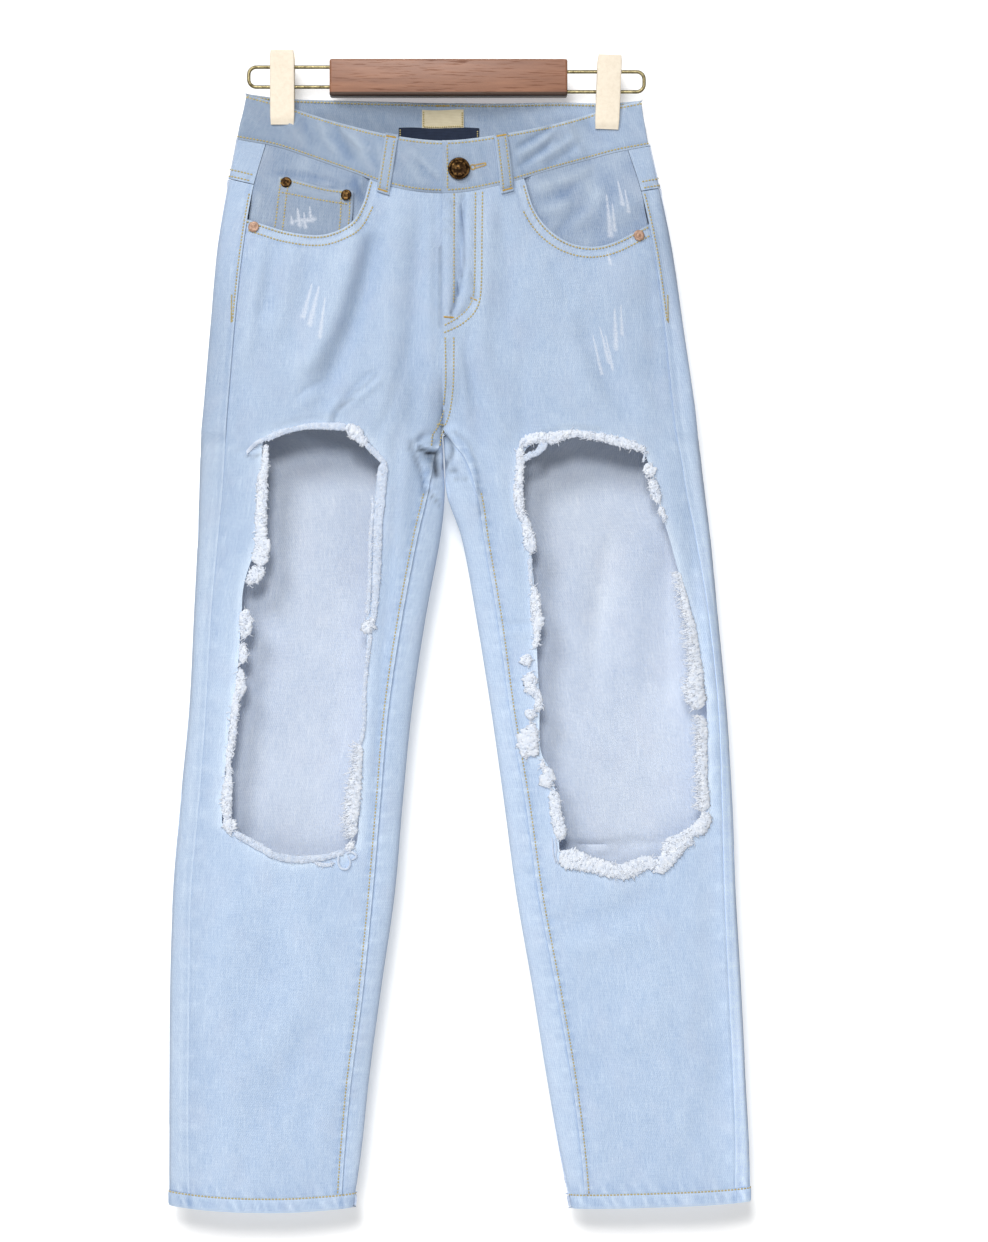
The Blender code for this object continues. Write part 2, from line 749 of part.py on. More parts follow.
def stud(name, radius, thick, at, lift, material, collection, sides):
    """A low round metal head that sits on the front layer, square to the cloth."""
    x, z = at

    def front(u, v):
        return cloth_point(side_of(x), "front", x + u, z + v)

    along = front(1.0, 0.0) - front(-1.0, 0.0)
    up = front(0.0, 1.0) - front(0.0, -1.0)
    normal = along.cross(up).normalized()
    bm = bmesh.new()
    bmesh.ops.create_cone(bm, cap_ends=True, segments=sides, radius1=radius * MM,
                          radius2=radius * HEAD_TAPER * MM, depth=thick * MM)
    thing = add_object(name, bm, material, collection)
    thing.location = (front(0.0, 0.0) + normal * (lift + GAP + thick / 2)) * MM
    thing.rotation_euler = normal.to_track_quat("Z", "Y").to_euler()
    return thing


# ======================================================================= the garment

def build_legs(parts, cutters):
    for side in LEGS:
        front = cloth("front_" + side, front_surface(side), FRONT_COLUMNS, len(LEVELS) - 1, parts)
        outline = [rip_point(side, i / RIP_SIDES, lambda reach: 0.0) for i in range(RIP_SIDES)]
        cut(front, prism("cut_rip_" + side, outline, cutters))
        mouth = [tuple(spline_point(MOUTHS[side], i / MOUTH_STEPS, False))
                 for i in range(MOUTH_STEPS + 1)]
        inner, outer = MOUTHS[side][0], MOUTHS[side][-1]
        far_x = outer.x * MOUTH_PAST_SIDE
        mouth += [(far_x, outer.z), (far_x, 0.0), (inner.x, 0.0)]
        cut(front, prism("cut_pocket_" + side, mouth, cutters))
        cloth("back_" + side, back_surface(side), BACK_COLUMNS, len(back_levels()) - 1, parts)
        cloth("yoke_" + side, yoke_surface(side), 12, 3, parts)
        cloth("hem_" + side, hem_surface(side), 22, 1, parts, thick=TURNED, lift=PROUD, closed=True)
        cloth("fray_" + side, fray_surface(side), RIP_SIDES, 1, parts, thick=FRAY_THICK, lift=-FRAY_SUNK,
              closed=True, material="fray")


def build_pockets(parts):
    for side in LEGS:
        cloth("facing_" + side, facing_surface(side), 8, 6, parts, lift=facing_lift)
        cloth("back_pocket_" + side, back_pocket_surface(side), 7, 6, parts, lift=LAID + DENIM)
    cloth("coin_pocket", coin_surface, 6, 4, parts, lift=coin_lift)


def build_waist(parts):
    cloth("waistband", waistband_surface, 54, 2, parts, thick=TURNED, lift=waistband_lift)
    cloth("zip", fly_strip_surface(ZIP_X, ZIP_LOW), 2, 8, parts, thick=ZIP_THICK, lift=-FLY_SUNK,
          material="zip tape")
    cloth("fly_shield", fly_strip_surface(SHIELD_X, FLY_LOW), 3, 8, parts,
          lift=-FLY_SUNK - ZIP_THICK - LAID)
    for number, loop in enumerate(LOOPS, start=1):
        cloth("belt_loop_%d" % number, belt_loop_surface(loop), 2, 4, parts, thick=LOOP_THICK,
              lift=PROUD + GAP + LOOP_THICK)
    for label in LABELS:
        inside = PROUD - TURNED - GAP
        cloth(label.name, label_surface(label), 5, 1, parts, thick=LABEL_THICK, lift=inside,
              material=label.name.replace("label_", "") + " tape")


def build_metal(parts):
    stud("button", BUTTON_RADIUS, BUTTON_THICK, BUTTON_AT, PROUD, "dark brass", parts, 28)
    for number, rivet in enumerate(RIVETS, start=1):
        metal = "dark brass" if rivet.lift else "light copper"
        stud("rivet_%d" % number, RIVET_RADIUS, RIVET_THICK, (rivet.x, rivet.z), rivet.lift, metal,
             parts, 16)


# ======================================================================= the hanger

def wire_path(side):
    """Half the wire loop's route in the X-Z plane: out, round two corners and back."""
    start = side.sign * (BAR.x / 2 + GAP)
    corner_x = side.sign * (side.wire_end - WIRE_CORNER)
    points = [(start, side.wire_high)]
    for middle_z, first in ((side.wire_high - WIRE_CORNER, 90), (side.wire_low + WIRE_CORNER, 0)):
        for step in range(5):
            turn = math.radians(first - step * 22.5)
            points.append((corner_x + side.sign * WIRE_CORNER * math.cos(turn),
                           middle_z + WIRE_CORNER * math.sin(turn)))
    points.append((start, side.wire_low))
    return points


def build_wire(side, parts):
    curve = bpy.data.curves.new("hanger_wire_" + side.name, "CURVE")
    curve.dimensions = "3D"
    curve.bevel_depth = WIRE_RADIUS * MM
    curve.bevel_resolution = 2
    curve.use_fill_caps = True
    route = wire_path(side)
    spline = curve.splines.new("POLY")
    spline.points.add(len(route) - 1)
    for point, (x, z) in zip(spline.points, route):
        point.co = (x * MM, 0.0, z * MM, 1.0)
    curve.materials.append(finish("wire"))
    parts.objects.link(bpy.data.objects.new(curve.name, curve))


def build_clip(side, parts):
    """Two sprung plates that grip the waistband, with the spring between the wires."""
    hub = bpy.data.objects.new("clip_%s_hub" % side.name, None)
    hub.location = (side.sign * side.clip_x * MM, 0.0, (side.wire_high + side.wire_low) / 2 * MM)
    hub.rotation_euler = (0.0, math.radians(side.roll), 0.0)
    parts.objects.link(hub)
    lean = math.atan2(CLIP_GRIP_Y - CLIP_JAW_Y, CLIP_TALL)
    top = side.wire_high + CLIP_TOP_OVER_WIRE - (side.wire_high + side.wire_low) / 2
    middle_y = (CLIP_GRIP_Y + CLIP_JAW_Y + CLIP_THICK) / 2
    for name, face in (("front", -1.0), ("back", 1.0)):
        plate = rounded_block("clip_%s_%s" % (side.name, name),
                              Vector((CLIP_WIDE, CLIP_THICK, CLIP_TALL)), CLIP_ROUND, "clip gold", parts,
                              Vector((0.0, face * middle_y, top - CLIP_TALL / 2)),
                              (-face * lean, 0.0, 0.0))
        plate.parent = hub
    bm = bmesh.new()
    bmesh.ops.create_cone(bm, cap_ends=True, segments=16, radius1=SPRING_RADIUS * MM,
                          radius2=SPRING_RADIUS * MM, depth=SPRING_LONG * MM)
    spring = add_object("clip_%s_spring" % side.name, bm, "wire", parts)
    spring.rotation_euler = (0.0, math.radians(90), 0.0)
    spring.parent = hub


def build_hanger(parts):
    rounded_block("hanger_bar", BAR, BAR_ROUND, "wood", parts, Vector((0.0, 0.0, -BAR.z / 2)))
    for side in HANGER_SIDES:
        build_wire(side, parts)
        build_clip(side, parts)


def main():
    for thing in list(bpy.data.objects):
        bpy.data.objects.remove(thing, do_unlink=True)
    parts = bpy.data.collections.new("ripped_jeans")
    cutters = bpy.data.collections.new("cutters")
    for collection in (parts, cutters):
        bpy.context.scene.collection.children.link(collection)
    build_legs(parts, cutters)
    build_pockets(parts)
    build_waist(parts)
    build_metal(parts)
    build_hanger(parts)


main()
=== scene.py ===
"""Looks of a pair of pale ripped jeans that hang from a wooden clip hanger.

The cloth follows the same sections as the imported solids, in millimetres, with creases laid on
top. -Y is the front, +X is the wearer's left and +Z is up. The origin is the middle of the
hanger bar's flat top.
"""
import logging
import math
from dataclasses import dataclass, field
from enum import Enum
from typing import Callable, NamedTuple, Sequence, TypeVar

import bmesh
import bpy
import numpy as np
from mathutils import Matrix, Vector, noise


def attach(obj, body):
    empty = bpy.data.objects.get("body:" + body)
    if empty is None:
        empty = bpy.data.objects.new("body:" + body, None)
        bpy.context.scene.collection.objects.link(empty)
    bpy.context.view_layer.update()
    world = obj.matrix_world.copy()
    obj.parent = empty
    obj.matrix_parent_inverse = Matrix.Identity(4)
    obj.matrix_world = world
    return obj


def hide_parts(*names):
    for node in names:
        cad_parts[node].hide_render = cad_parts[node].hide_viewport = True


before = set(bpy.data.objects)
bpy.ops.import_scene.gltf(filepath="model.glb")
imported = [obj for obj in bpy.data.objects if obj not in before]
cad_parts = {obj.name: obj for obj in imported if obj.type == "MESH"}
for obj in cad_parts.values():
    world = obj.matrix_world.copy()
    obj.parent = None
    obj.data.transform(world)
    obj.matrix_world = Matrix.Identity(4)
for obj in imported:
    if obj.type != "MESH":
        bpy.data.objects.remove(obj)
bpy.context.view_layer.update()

LOG = logging.getLogger("ripped_jeans")

MM = 0.001
ROOT = "root"
GAP = 0.3                     # between pieces that touch
HEM_TALL = 13.0               # a hem from its fold to its top
BAND_TALL = 42.0              # the waistband from its seam to its top
BAND_THICK = 2.6
BAND_SIDE_Z = (-68.5, -28.0)  # its seam and its top at the side folds
BAND_ENDS_X = (-5.0, 27.0)    # its outer end, and the end under it
CENTRE_X = -5.0               # centre front and centre back seams
PROUD = 0.7                   # how far turned bands stand out from the panels
DENIM = 1.0                   # one layer of the cloth
FULL_TURN = 2.0 * math.pi

Array = np.ndarray
Spot = tuple[float, float]
Row = TypeVar("Row")


class Side(Enum):
    """The wearer's two sides."""

    RIGHT = "right"
    LEFT = "left"

    @property
    def sign(self) -> float:
        """-1 on the wearer's right, which is -X, and 1 on the left."""
        return -1.0 if self is Side.RIGHT else 1.0


class Layer(Enum):
    """The two layers of the flat garment."""

    FRONT = "front"
    BACK = "back"


# ======================================================================= numbers and curves

def ease(value: Array | float) -> Array:
    """0 below 0, 1 above 1 and a smooth step between."""
    value = np.clip(value, 0.0, 1.0)
    return value * value * (3.0 - 2.0 * value)


def mix(start: Array | float, end: Array | float, share: Array | float) -> Array | float:
    """The value that lies a share of the way from start to end."""
    return start + (end - start) * share


def bump(distance: Array, width: Array | float) -> Array:
    """A soft hill, 1 at no distance."""
    return np.exp(-(distance / width) ** 2)


def pulses(along: Array, pitch: float, sharp: float = 3.0, phase: float = 0.0) -> Array:
    """Uneven narrow hills from 0 to 1, about a pitch apart.

    Args:
        along: Distance along a seam.
        pitch: Mean distance between the hills.
        sharp: How narrow the hills are.
        phase: Moves the pattern along.

    Returns:
        The height of the hills at each place.
    """
    turn = FULL_TURN * along / pitch + phase
    uneven = turn + 0.9 * np.sin(0.37 * turn + phase) + 0.5 * np.sin(0.83 * turn)
    return (0.5 + 0.5 * np.cos(uneven)) ** sharp * (0.7 + 0.3 * np.sin(0.61 * turn + 2.0 * phase))


class SmoothTable:
    """A smooth curve through one column of a table."""

    def __init__(self, keys: Sequence[float], values: Sequence[float]) -> None:
        """Sorts the rows and works out the slope at each."""
        order = np.argsort(keys)
        self.keys = np.asarray(keys, float)[order]
        self.values = np.asarray(values, float)[order]
        rows = np.arange(len(self.keys))
        low, high = np.maximum(rows - 1, 0), np.minimum(rows + 1, len(rows) - 1)
        self.slopes = (self.values[high] - self.values[low]) / (self.keys[high] - self.keys[low])

    def __call__(self, where: Array | float) -> Array:
        """Reads the curve.

        Args:
            where: Keys, held to the table's ends.

        Returns:
            The value at each key.
        """
        where = np.clip(where, self.keys[0], self.keys[-1])
        cell = np.clip(np.searchsorted(self.keys, where, side="right") - 1, 0, len(self.keys) - 2)
        span = self.keys[cell + 1] - self.keys[cell]
        t = (where - self.keys[cell]) / span
        smooth = mix(self.values[cell], self.values[cell + 1], t * t * (3.0 - 2.0 * t))
        return smooth + t * (1.0 - t) * span * ((1.0 - t) * self.slopes[cell] - t * self.slopes[cell + 1])


def rows_of(kind: Callable[..., Row], *rows: Sequence) -> tuple[Row, ...]:
    """Named rows from plain ones."""
    return tuple(kind(*row) for row in rows)


def read_columns(rows: Sequence[NamedTuple], key: str) -> dict[str, SmoothTable]:
    """Every column of a table of named rows as a smooth curve over its key."""
    keys = [getattr(row, key) for row in rows]
    names = [name for name in rows[0]._fields if name != key]
    return {name: SmoothTable(keys, [getattr(row, name) for row in rows]) for name in names}


def smooth_path(points: Sequence[Sequence[float]], steps: int, closed: bool = False) -> Array:
    """Points on a smooth curve through a few given ones.

    Args:
        points: The curve's own points, of any number of columns.
        steps: How many stretches the curve is divided into.
        closed: Whether the curve joins its start.

    Returns:
        One row for each point, and no repeat of the start on a closed curve.
    """
    knots = np.asarray(points, float)
    count = len(knots)
    cells = count if closed else count - 1
    place = np.arange(steps + (0 if closed else 1)) / steps * cells
    cell = np.minimum(place.astype(int), cells - 1)
    t = (place - cell)[:, None]

    def pick(step: int) -> Array:
        """The knots a step away from each cell's start."""
        index = cell + step
        return knots[index % count if closed else np.clip(index, 0, count - 1)]

    before, start, end, after = (pick(step) for step in (-1, 0, 1, 2))
    return 0.5 * (2 * start + (end - before) * t + (2 * before - 5 * start + 4 * end - after) * t ** 2
                  + (3 * start - before - 3 * end + after) * t ** 3)


def even_path(path: Array, pitch: float) -> Array:
    """The same route with points an even distance apart.

    Args:
        path: Points of the route.
        pitch: Distance wanted between the new points.

    Returns:
        The new points, with both ends kept.
    """
    steps = np.linalg.norm(np.diff(path, axis=0), axis=1)
    along = np.concatenate([[0.0], np.cumsum(steps)])
    count = max(2, int(round(along[-1] / pitch)) + 1)
    places = np.linspace(0.0, along[-1], count)
    return np.stack([np.interp(places, along, path[:, axis]) for axis in range(path.shape[1])], axis=1)


def side_step(path: Array, away: float) -> Array:
    """A flat route moved sideways, to its left as it runs when away is positive."""
    along = np.gradient(path, axis=0)
    along /= np.linalg.norm(along, axis=1, keepdims=True)
    return path + away * np.stack([-along[:, 1], along[:, 0]], axis=1)


def inside(x: Array, z: Array, ring: Array) -> Array:
    """Whether each place lies inside a closed outline, by counting the edges that it crosses."""
    found = np.zeros(x.shape, bool)
    for (x0, z0), (x1, z1) in zip(ring, np.roll(ring, -1, axis=0)):
        if z0 == z1:
            continue
        crosses = ((z0 > z) != (z1 > z)) & (x < (x1 - x0) * (z - z0) / (z1 - z0) + x0)
        found ^= crosses
    return found


def nearest_on(x: Array, z: Array, route: Array) -> tuple[Array, Array, Array]:
    """Where a route of close points comes nearest to each place.

    Args:
        x: Places across.
        z: Places in height.
        route: Points of the route.

    Returns:
        The index of the nearest point of the route, its distance, and the point itself.
    """
    flat = np.stack([np.ravel(x), np.ravel(z)], axis=1)
    index = np.empty(len(flat), int)
    for start in range(0, len(flat), 4000):
        part = flat[start:start + 4000]
        index[start:start + 4000] = np.argmin(((part[:, None] - route[None]) ** 2).sum(axis=2), axis=1)
    spots = route[index]
    away = np.linalg.norm(flat - spots, axis=1)
    return index.reshape(np.shape(x)), away.reshape(np.shape(x)), spots.reshape((*np.shape(x), 2))


# ======================================================================= the form of the cloth

class LegRow(NamedTuple):
    """A section of one leg: its two folds and the two seams across its front."""

    z: float
    outer: float
    side: float
    inseam: float
    inner: float


class DepthRow(NamedTuple):
    """How far the two layers stand from the middle plane."""

    z: float
    front: float
    back: float


class WaistRow(NamedTuple):
    """The waistband's top edge and lower seam, in front and behind."""

    x: float
    top_front: float
    top_back: float
    seam_front: float
    seam_back: float


class HemRow(NamedTuple):
    """The lower edge of a leg at its two folds, and its sag between them."""

    outer: float
    inner: float
    sag: float


class Crease(NamedTuple):
    """A soft ridge, or a trough where its height is negative, on a bowed line."""

    layer: Layer
    x0: float
    z0: float
    x1: float
    z1: float
    bow: float
    height: float
    width: float
    skew: float = 0.0


def creases(layer: Layer, *rows: Sequence[float]) -> tuple[Crease, ...]:
    """The creases of one layer."""
    return tuple(Crease(layer, *row) for row in rows)


RIGHT_LEG = rows_of(
    LegRow,
    (-28, -173.5, -148.0, -5.0, -5.0), (-66, -181.5, -156.0, -5.0, -5.0),
    (-110, -190.0, -168.0, -5.0, -5.0), (-165, -199.5, -176.5, -5.0, -5.0),
    (-230, -205.5, -183.5, -5.0, -5.0), (-300, -211.5, -189.5, -5.0, -5.0),
    (-322, -213.5, -191.0, -5.8, -5.6), (-345, -214.5, -192.5, -11.5, -4.6),
    (-376, -215.5, -194.5, -18.0, -3.4), (-412, -216.5, -198.0, -26.5, -7.0),
    (-480, -220.0, -204.0, -39.5, -19.5), (-560, -224.0, -208.5, -51.5, -31.5),
    (-640, -231.5, -214.5, -58.5, -39.5), (-720, -238.0, -221.5, -65.3, -46.5),
    (-800, -240.5, -222.8, -73.3, -58.0), (-880, -241.0, -223.8, -83.8, -68.7),
    (-940, -241.3, -223.8, -89.3, -75.0), (-992, -241.3, -222.5, -92.8, -82.5),
)
LEFT_LEG = rows_of(
    LegRow,
    (-28, 165.5, 141.0, -5.0, -5.0), (-66, 171.5, 151.0, -5.0, -5.0), (-110, 181.5, 165.0, -5.0, -5.0),
    (-165, 193.0, 177.0, -5.0, -5.0), (-230, 202.5, 186.0, -5.0, -5.0), (-300, 212.7, 193.3, -5.0, -5.0),
    (-322, 215.0, 196.0, -2.5, -4.4), (-345, 218.0, 200.5, 14.5, -3.2), (-376, 221.5, 205.5, 25.0, -1.2),
    (-412, 226.0, 213.0, 30.5, 11.0), (-480, 232.5, 224.5, 42.0, 23.7), (-560, 240.0, 233.0, 53.0, 36.5),
    (-640, 245.0, 236.0, 66.2, 47.8), (-720, 248.0, 238.0, 77.6, 58.5), (-800, 252.5, 241.5, 92.7, 72.3),
    (-880, 256.5, 245.4, 106.4, 85.0), (-940, 259.5, 247.2, 114.0, 96.0),
    (-992, 261.0, 246.5, 118.5, 107.0),
)
DEPTHS = rows_of(
    DepthRow,
    (-28, 36, 10), (-66, 38, 13), (-110, 36, 17), (-165, 30, 21), (-230, 25, 23), (-322, 21, 22),
    (-412, 20, 21), (-560, 19, 20), (-720, 16, 17), (-880, 13, 14), (-992, 11, 12),
)
WAIST = rows_of(
    WaistRow,
    (-182, -28.0, -28.0, -68.5, -68.5), (-143, -39.0, -33.0, -76.5, -72.5),
    (-90, -57.5, -34.5, -96.5, -76.0), (-45, -70.0, -35.0, -114.0, -77.5), (0, -74.5, -35.5, -119.0, -78.0),
    (45, -68.5, -36.0, -111.5, -78.5), (90, -57.5, -36.0, -96.5, -78.5), (138, -42.0, -37.0, -81.5, -77.5),
    (172, -34.5, -34.5, -74.5, -74.5),
)
HEMS = {Side.RIGHT: HemRow(-988.0, -990.0, 4.8), Side.LEFT: HemRow(-985.0, -991.0, 1.0)}

FRONT, BACK = Layer.FRONT, Layer.BACK
CREASES = creases(
    FRONT,
    # right hip, in front
    (-60, -150, -108, -292, -6, -3.6, 8), (-80, -140, -130, -276, -6, 5.2, 14),
    (-44, -128, -54, -318, 2, 3.4, 13), (-24, -136, -30, -322, 2, -2.8, 8),
    (-63, -270, -89, -294, 1.2, -2.4, 1.9), (-60, -276, -92, -302, 1.0, 2.0, 5),
    (-108, -279, -129, -292, 1.4, -1.7, 1.7), (-104, -288, -128, -300, 1, 1.3, 5),
    (-147, -158, -162, -226, -3, -3.4, 8), (-134, -160, -148, -240, -2, 2.6, 8),
    (-162, -166, -176, -260, -2, 2.6, 7), (-100, -262, -84, -300, 2, -1.6, 8),
    (-20, -262, -10, -300, 2, -1.1, 4), (-14, -140, -15, -300, 1, 1.2, 5),
    (-78, -128, -92, -168, -3, 1.6, 5), (-118, -172, -126, -222, -2, -1.3, 6),
    (-36, -250, -62, -326, -4, -1.6, 6), (-180, -240, -172, -330, 2, -1.2, 6),
    # fly and rise
    (13, -124, 8, -205, -0.6, -2.8, 2.4), (12, -196, 4, -224, 1.0, -2.0, 2.2),
    (19, -126, 17, -205, 0, 1.8, 4), (25, -205, 8, -229, 2.0, -1.4, 2.2), (1, -124, 0, -226, 0, 1.5, 3.2),
    (-11, -124, -11, -232, 0, -1.2, 3.4), (18, -236, 14, -262, 0, -1.1, 3.5),
    (-3, -128, 9, -133, 0, -0.7, 2.0), (-3, -140, 9, -146, 0, 0.6, 2.0), (-3, -152, 9, -159, 0, -0.7, 2.0),
    (-3, -178, 8, -186, 0, -0.8, 2.0), (-3, -192, 8, -199, 0, 0.6, 2.2), (16, -262, 27, -335, -3, -2.6, 5),
    (9, -252, 14, -312, -1, 1.8, 4.5), (36, -132, 30, -262, 2, 2.2, 8), (24, -240, 44, -330, -3, 1.4, 8),
    (46, -140, 52, -230, -2, -1.4, 7), (30, -300, 52, -326, -2, 1.3, 4),
    # left hip, in front
    (62, -262, 66, -330, 0, -1.8, 7), (116, -226, 152, -306, 4, -1.8, 9),
    (100, -222, 134, -300, 4, 1.4, 10), (70, -196, 160, -206, 4, 0.8, 12),
    (150, -240, 170, -306, 3, 1.3, 9), (48, -184, 92, -252, -5, 1.3, 12), (60, -236, 120, -246, 3, -0.8, 9),
    (172, -190, 180, -300, 1, -1.2, 6), (84, -176, 104, -214, -2, -1.1, 6),
    # crotch
    (-30, -338, -19, -372, -2, -2.8, 4.0), (-33, -322, -40, -420, 1, 2.2, 7),
    (-12, -322, -27, -330, 0, -2.6, 3.0), (-27, -322, -29, -348, 0, 2.0, 4.0),
    (2, -318, 24, -372, 6, 2.4, 5.0), (-2, -329, 2, -350, -1, -2.4, 3.0), (-2, -352, 7, -356, 0, -1.1, 1.8),
    (6, -362, 15, -362, 0, -0.9, 1.8), (30, -336, 42, -440, -2, -1.8, 6), (38, -345, 56, -470, -2, 1.7, 8),
    # legs, in front
    (-182, -340, -160, -334, 1, -1.6, 2.6), (-168, -328, -156, -334, 1, 1.2, 3),
    (-96, -830, -172, -935, 8, -1.8, 18), (-118, -800, -196, -900, 8, 1.3, 20),
    (-80, -800, -92, -900, 1, 1.2, 9), (-150, -700, -156, -800, 1, -0.8, 12),
    (-190, -710, -200, -860, 1, 0.8, 12), (-126, -712, -122, -800, 1, 0.8, 14),
    (-108, -905, -112, -965, 0, 0.8, 10), (-170, -880, -178, -966, 0, -0.8, 9),
    (96, -768, 190, -742, 4, 1.1, 12), (100, -746, 180, -716, 4, -1.2, 12),
    (112, -866, 196, -848, 4, -0.8, 13), (116, -838, 190, -820, -3, 0.8, 13),
    (214, -716, 205, -830, 1, 0.9, 12), (190, -850, 224, -940, -4, -0.8, 12),
    (224, -470, 229, -640, 1, 0.9, 6), (160, -900, 176, -966, 2, 0.8, 12),
    (-186, -430, -202, -660, 1, 1.0, 5), (-47, -400, -64, -640, 1, -1.2, 4),
    (-52, -330, -50, -420, 1, 1.4, 6), (-36, -430, -46, -520, 1, 0.9, 4), (60, -700, 90, -716, 0, -1.2, 4),
    (76, -738, 100, -742, 0, -1.2, 3), (44, -487, 72, -487, 0, -1.2, 2.0),
    (48, -494, 70, -496, 0, 1.0, 3.0), (188, -340, 205, -440, 1, 0.9, 7),
    (208, -400, 218, -520, 1, -0.8, 5),
) + creases(
    BACK,
    # inside of the back, as it shows through the holes
    (142, -410, 128, -540, 4, 2.8, 9), (166, -420, 160, -550, 2, -2.4, 12),
    (190, -420, 190, -560, 0, 2.2, 8), (118, -430, 104, -560, 3, -1.2, 12),
    (100, -676, 168, -672, 3, 2.2, 2.8, 0.4), (130, -690, 190, -674, -2, 1.7, 2.4),
    (74, -450, 130, -470, 3, -0.9, 12), (96, -590, 150, -600, -3, -0.8, 14),
    (-142, -450, -150, -590, 2, -1.0, 14), (-96, -520, -92, -640, 2, 0.8, 12),
    (-176, -500, -172, -640, 0, 0.9, 10), (136, -585, 186, -602, 2, 0.7, 14),
    # seat and back of the knees
    (-18, -318, -116, -292, -8, 2.8, 10), (-22, -338, -128, -322, -8, -2.0, 8),
    (8, -318, 104, -290, 8, 2.6, 10), (12, -338, 118, -318, 8, -2.0, 8), (-30, -356, -96, -362, -4, 1.5, 8),
    (24, -356, 90, -364, 4, 1.4, 8), (-130, -180, -168, -262, 4, -2.0, 12),
    (120, -180, 162, -262, -4, -2.0, 12), (-40, -170, -30, -270, 2, 1.8, 12),
    (32, -170, 22, -270, 2, 1.8, 12), (-200, -520, -222, -640, 2, -1.2, 7),
    (214, -520, 238, -640, 2, -1.2, 7), (-70, -742, -206, -768, 5, 1.4, 11),
    (84, -748, 226, -772, -5, 1.4, 11), (-110, -800, -200, -870, 6, 1.3, 16),
    (110, -790, 206, -860, -6, 1.3, 16),
)


class Wave(NamedTuple):
    """A slow wave that keeps the hanging cloth from being flat: its lengths, height and phase."""

    across: float
    up: float
    height: float
    phase: float


WAVES = rows_of(
    Wave,
    (93, 310, 0.42, 0.4), (141, -227, 0.5, 2.1), (-61, 173, 0.25, 4.4), (57, 131, 0.18, 1.2),
    (210, 95, 0.32, 5.2), (-38, 83, 0.10, 3.3), (31, -67, 0.07, 0.9), (260, 420, 0.7, 2.8),
)


def crease_heights(table: Sequence[Crease], layer: Layer, x: Array, z: Array) -> Array:
    """The height of some creases together.

    Args:
        table: The creases, each on a bowed line that fades at both ends.
        layer: Only the creases of this layer count.
        x: Places across.
        z: Heights.

    Returns:
        The height at each place, in millimetres.
    """
    total = np.zeros(np.broadcast(x, z).shape)
    for crease in table:
        if crease.layer is not layer:
            continue
        along_x, along_z = crease.x1 - crease.x0, crease.z1 - crease.z0
        length = math.hypot(along_x, along_z)
        share = ((x - crease.x0) * along_x + (z - crease.z0) * along_z) / length ** 2
        across = ((x - crease.x0) * along_z - (z - crease.z0) * along_x) / length
        held = np.clip(share, 0.0, 1.0)
        across = across - 4.0 * crease.bow * held * (1.0 - held)
        ends = ease(share / 0.35 + 0.5) * ease((1.0 - share) / 0.35 + 0.5)
        width = crease.width * (1.0 + crease.skew * np.sign(across)) * (0.65 + 0.35 * ends)
        total += crease.height * ends * bump(across, width)
    return total


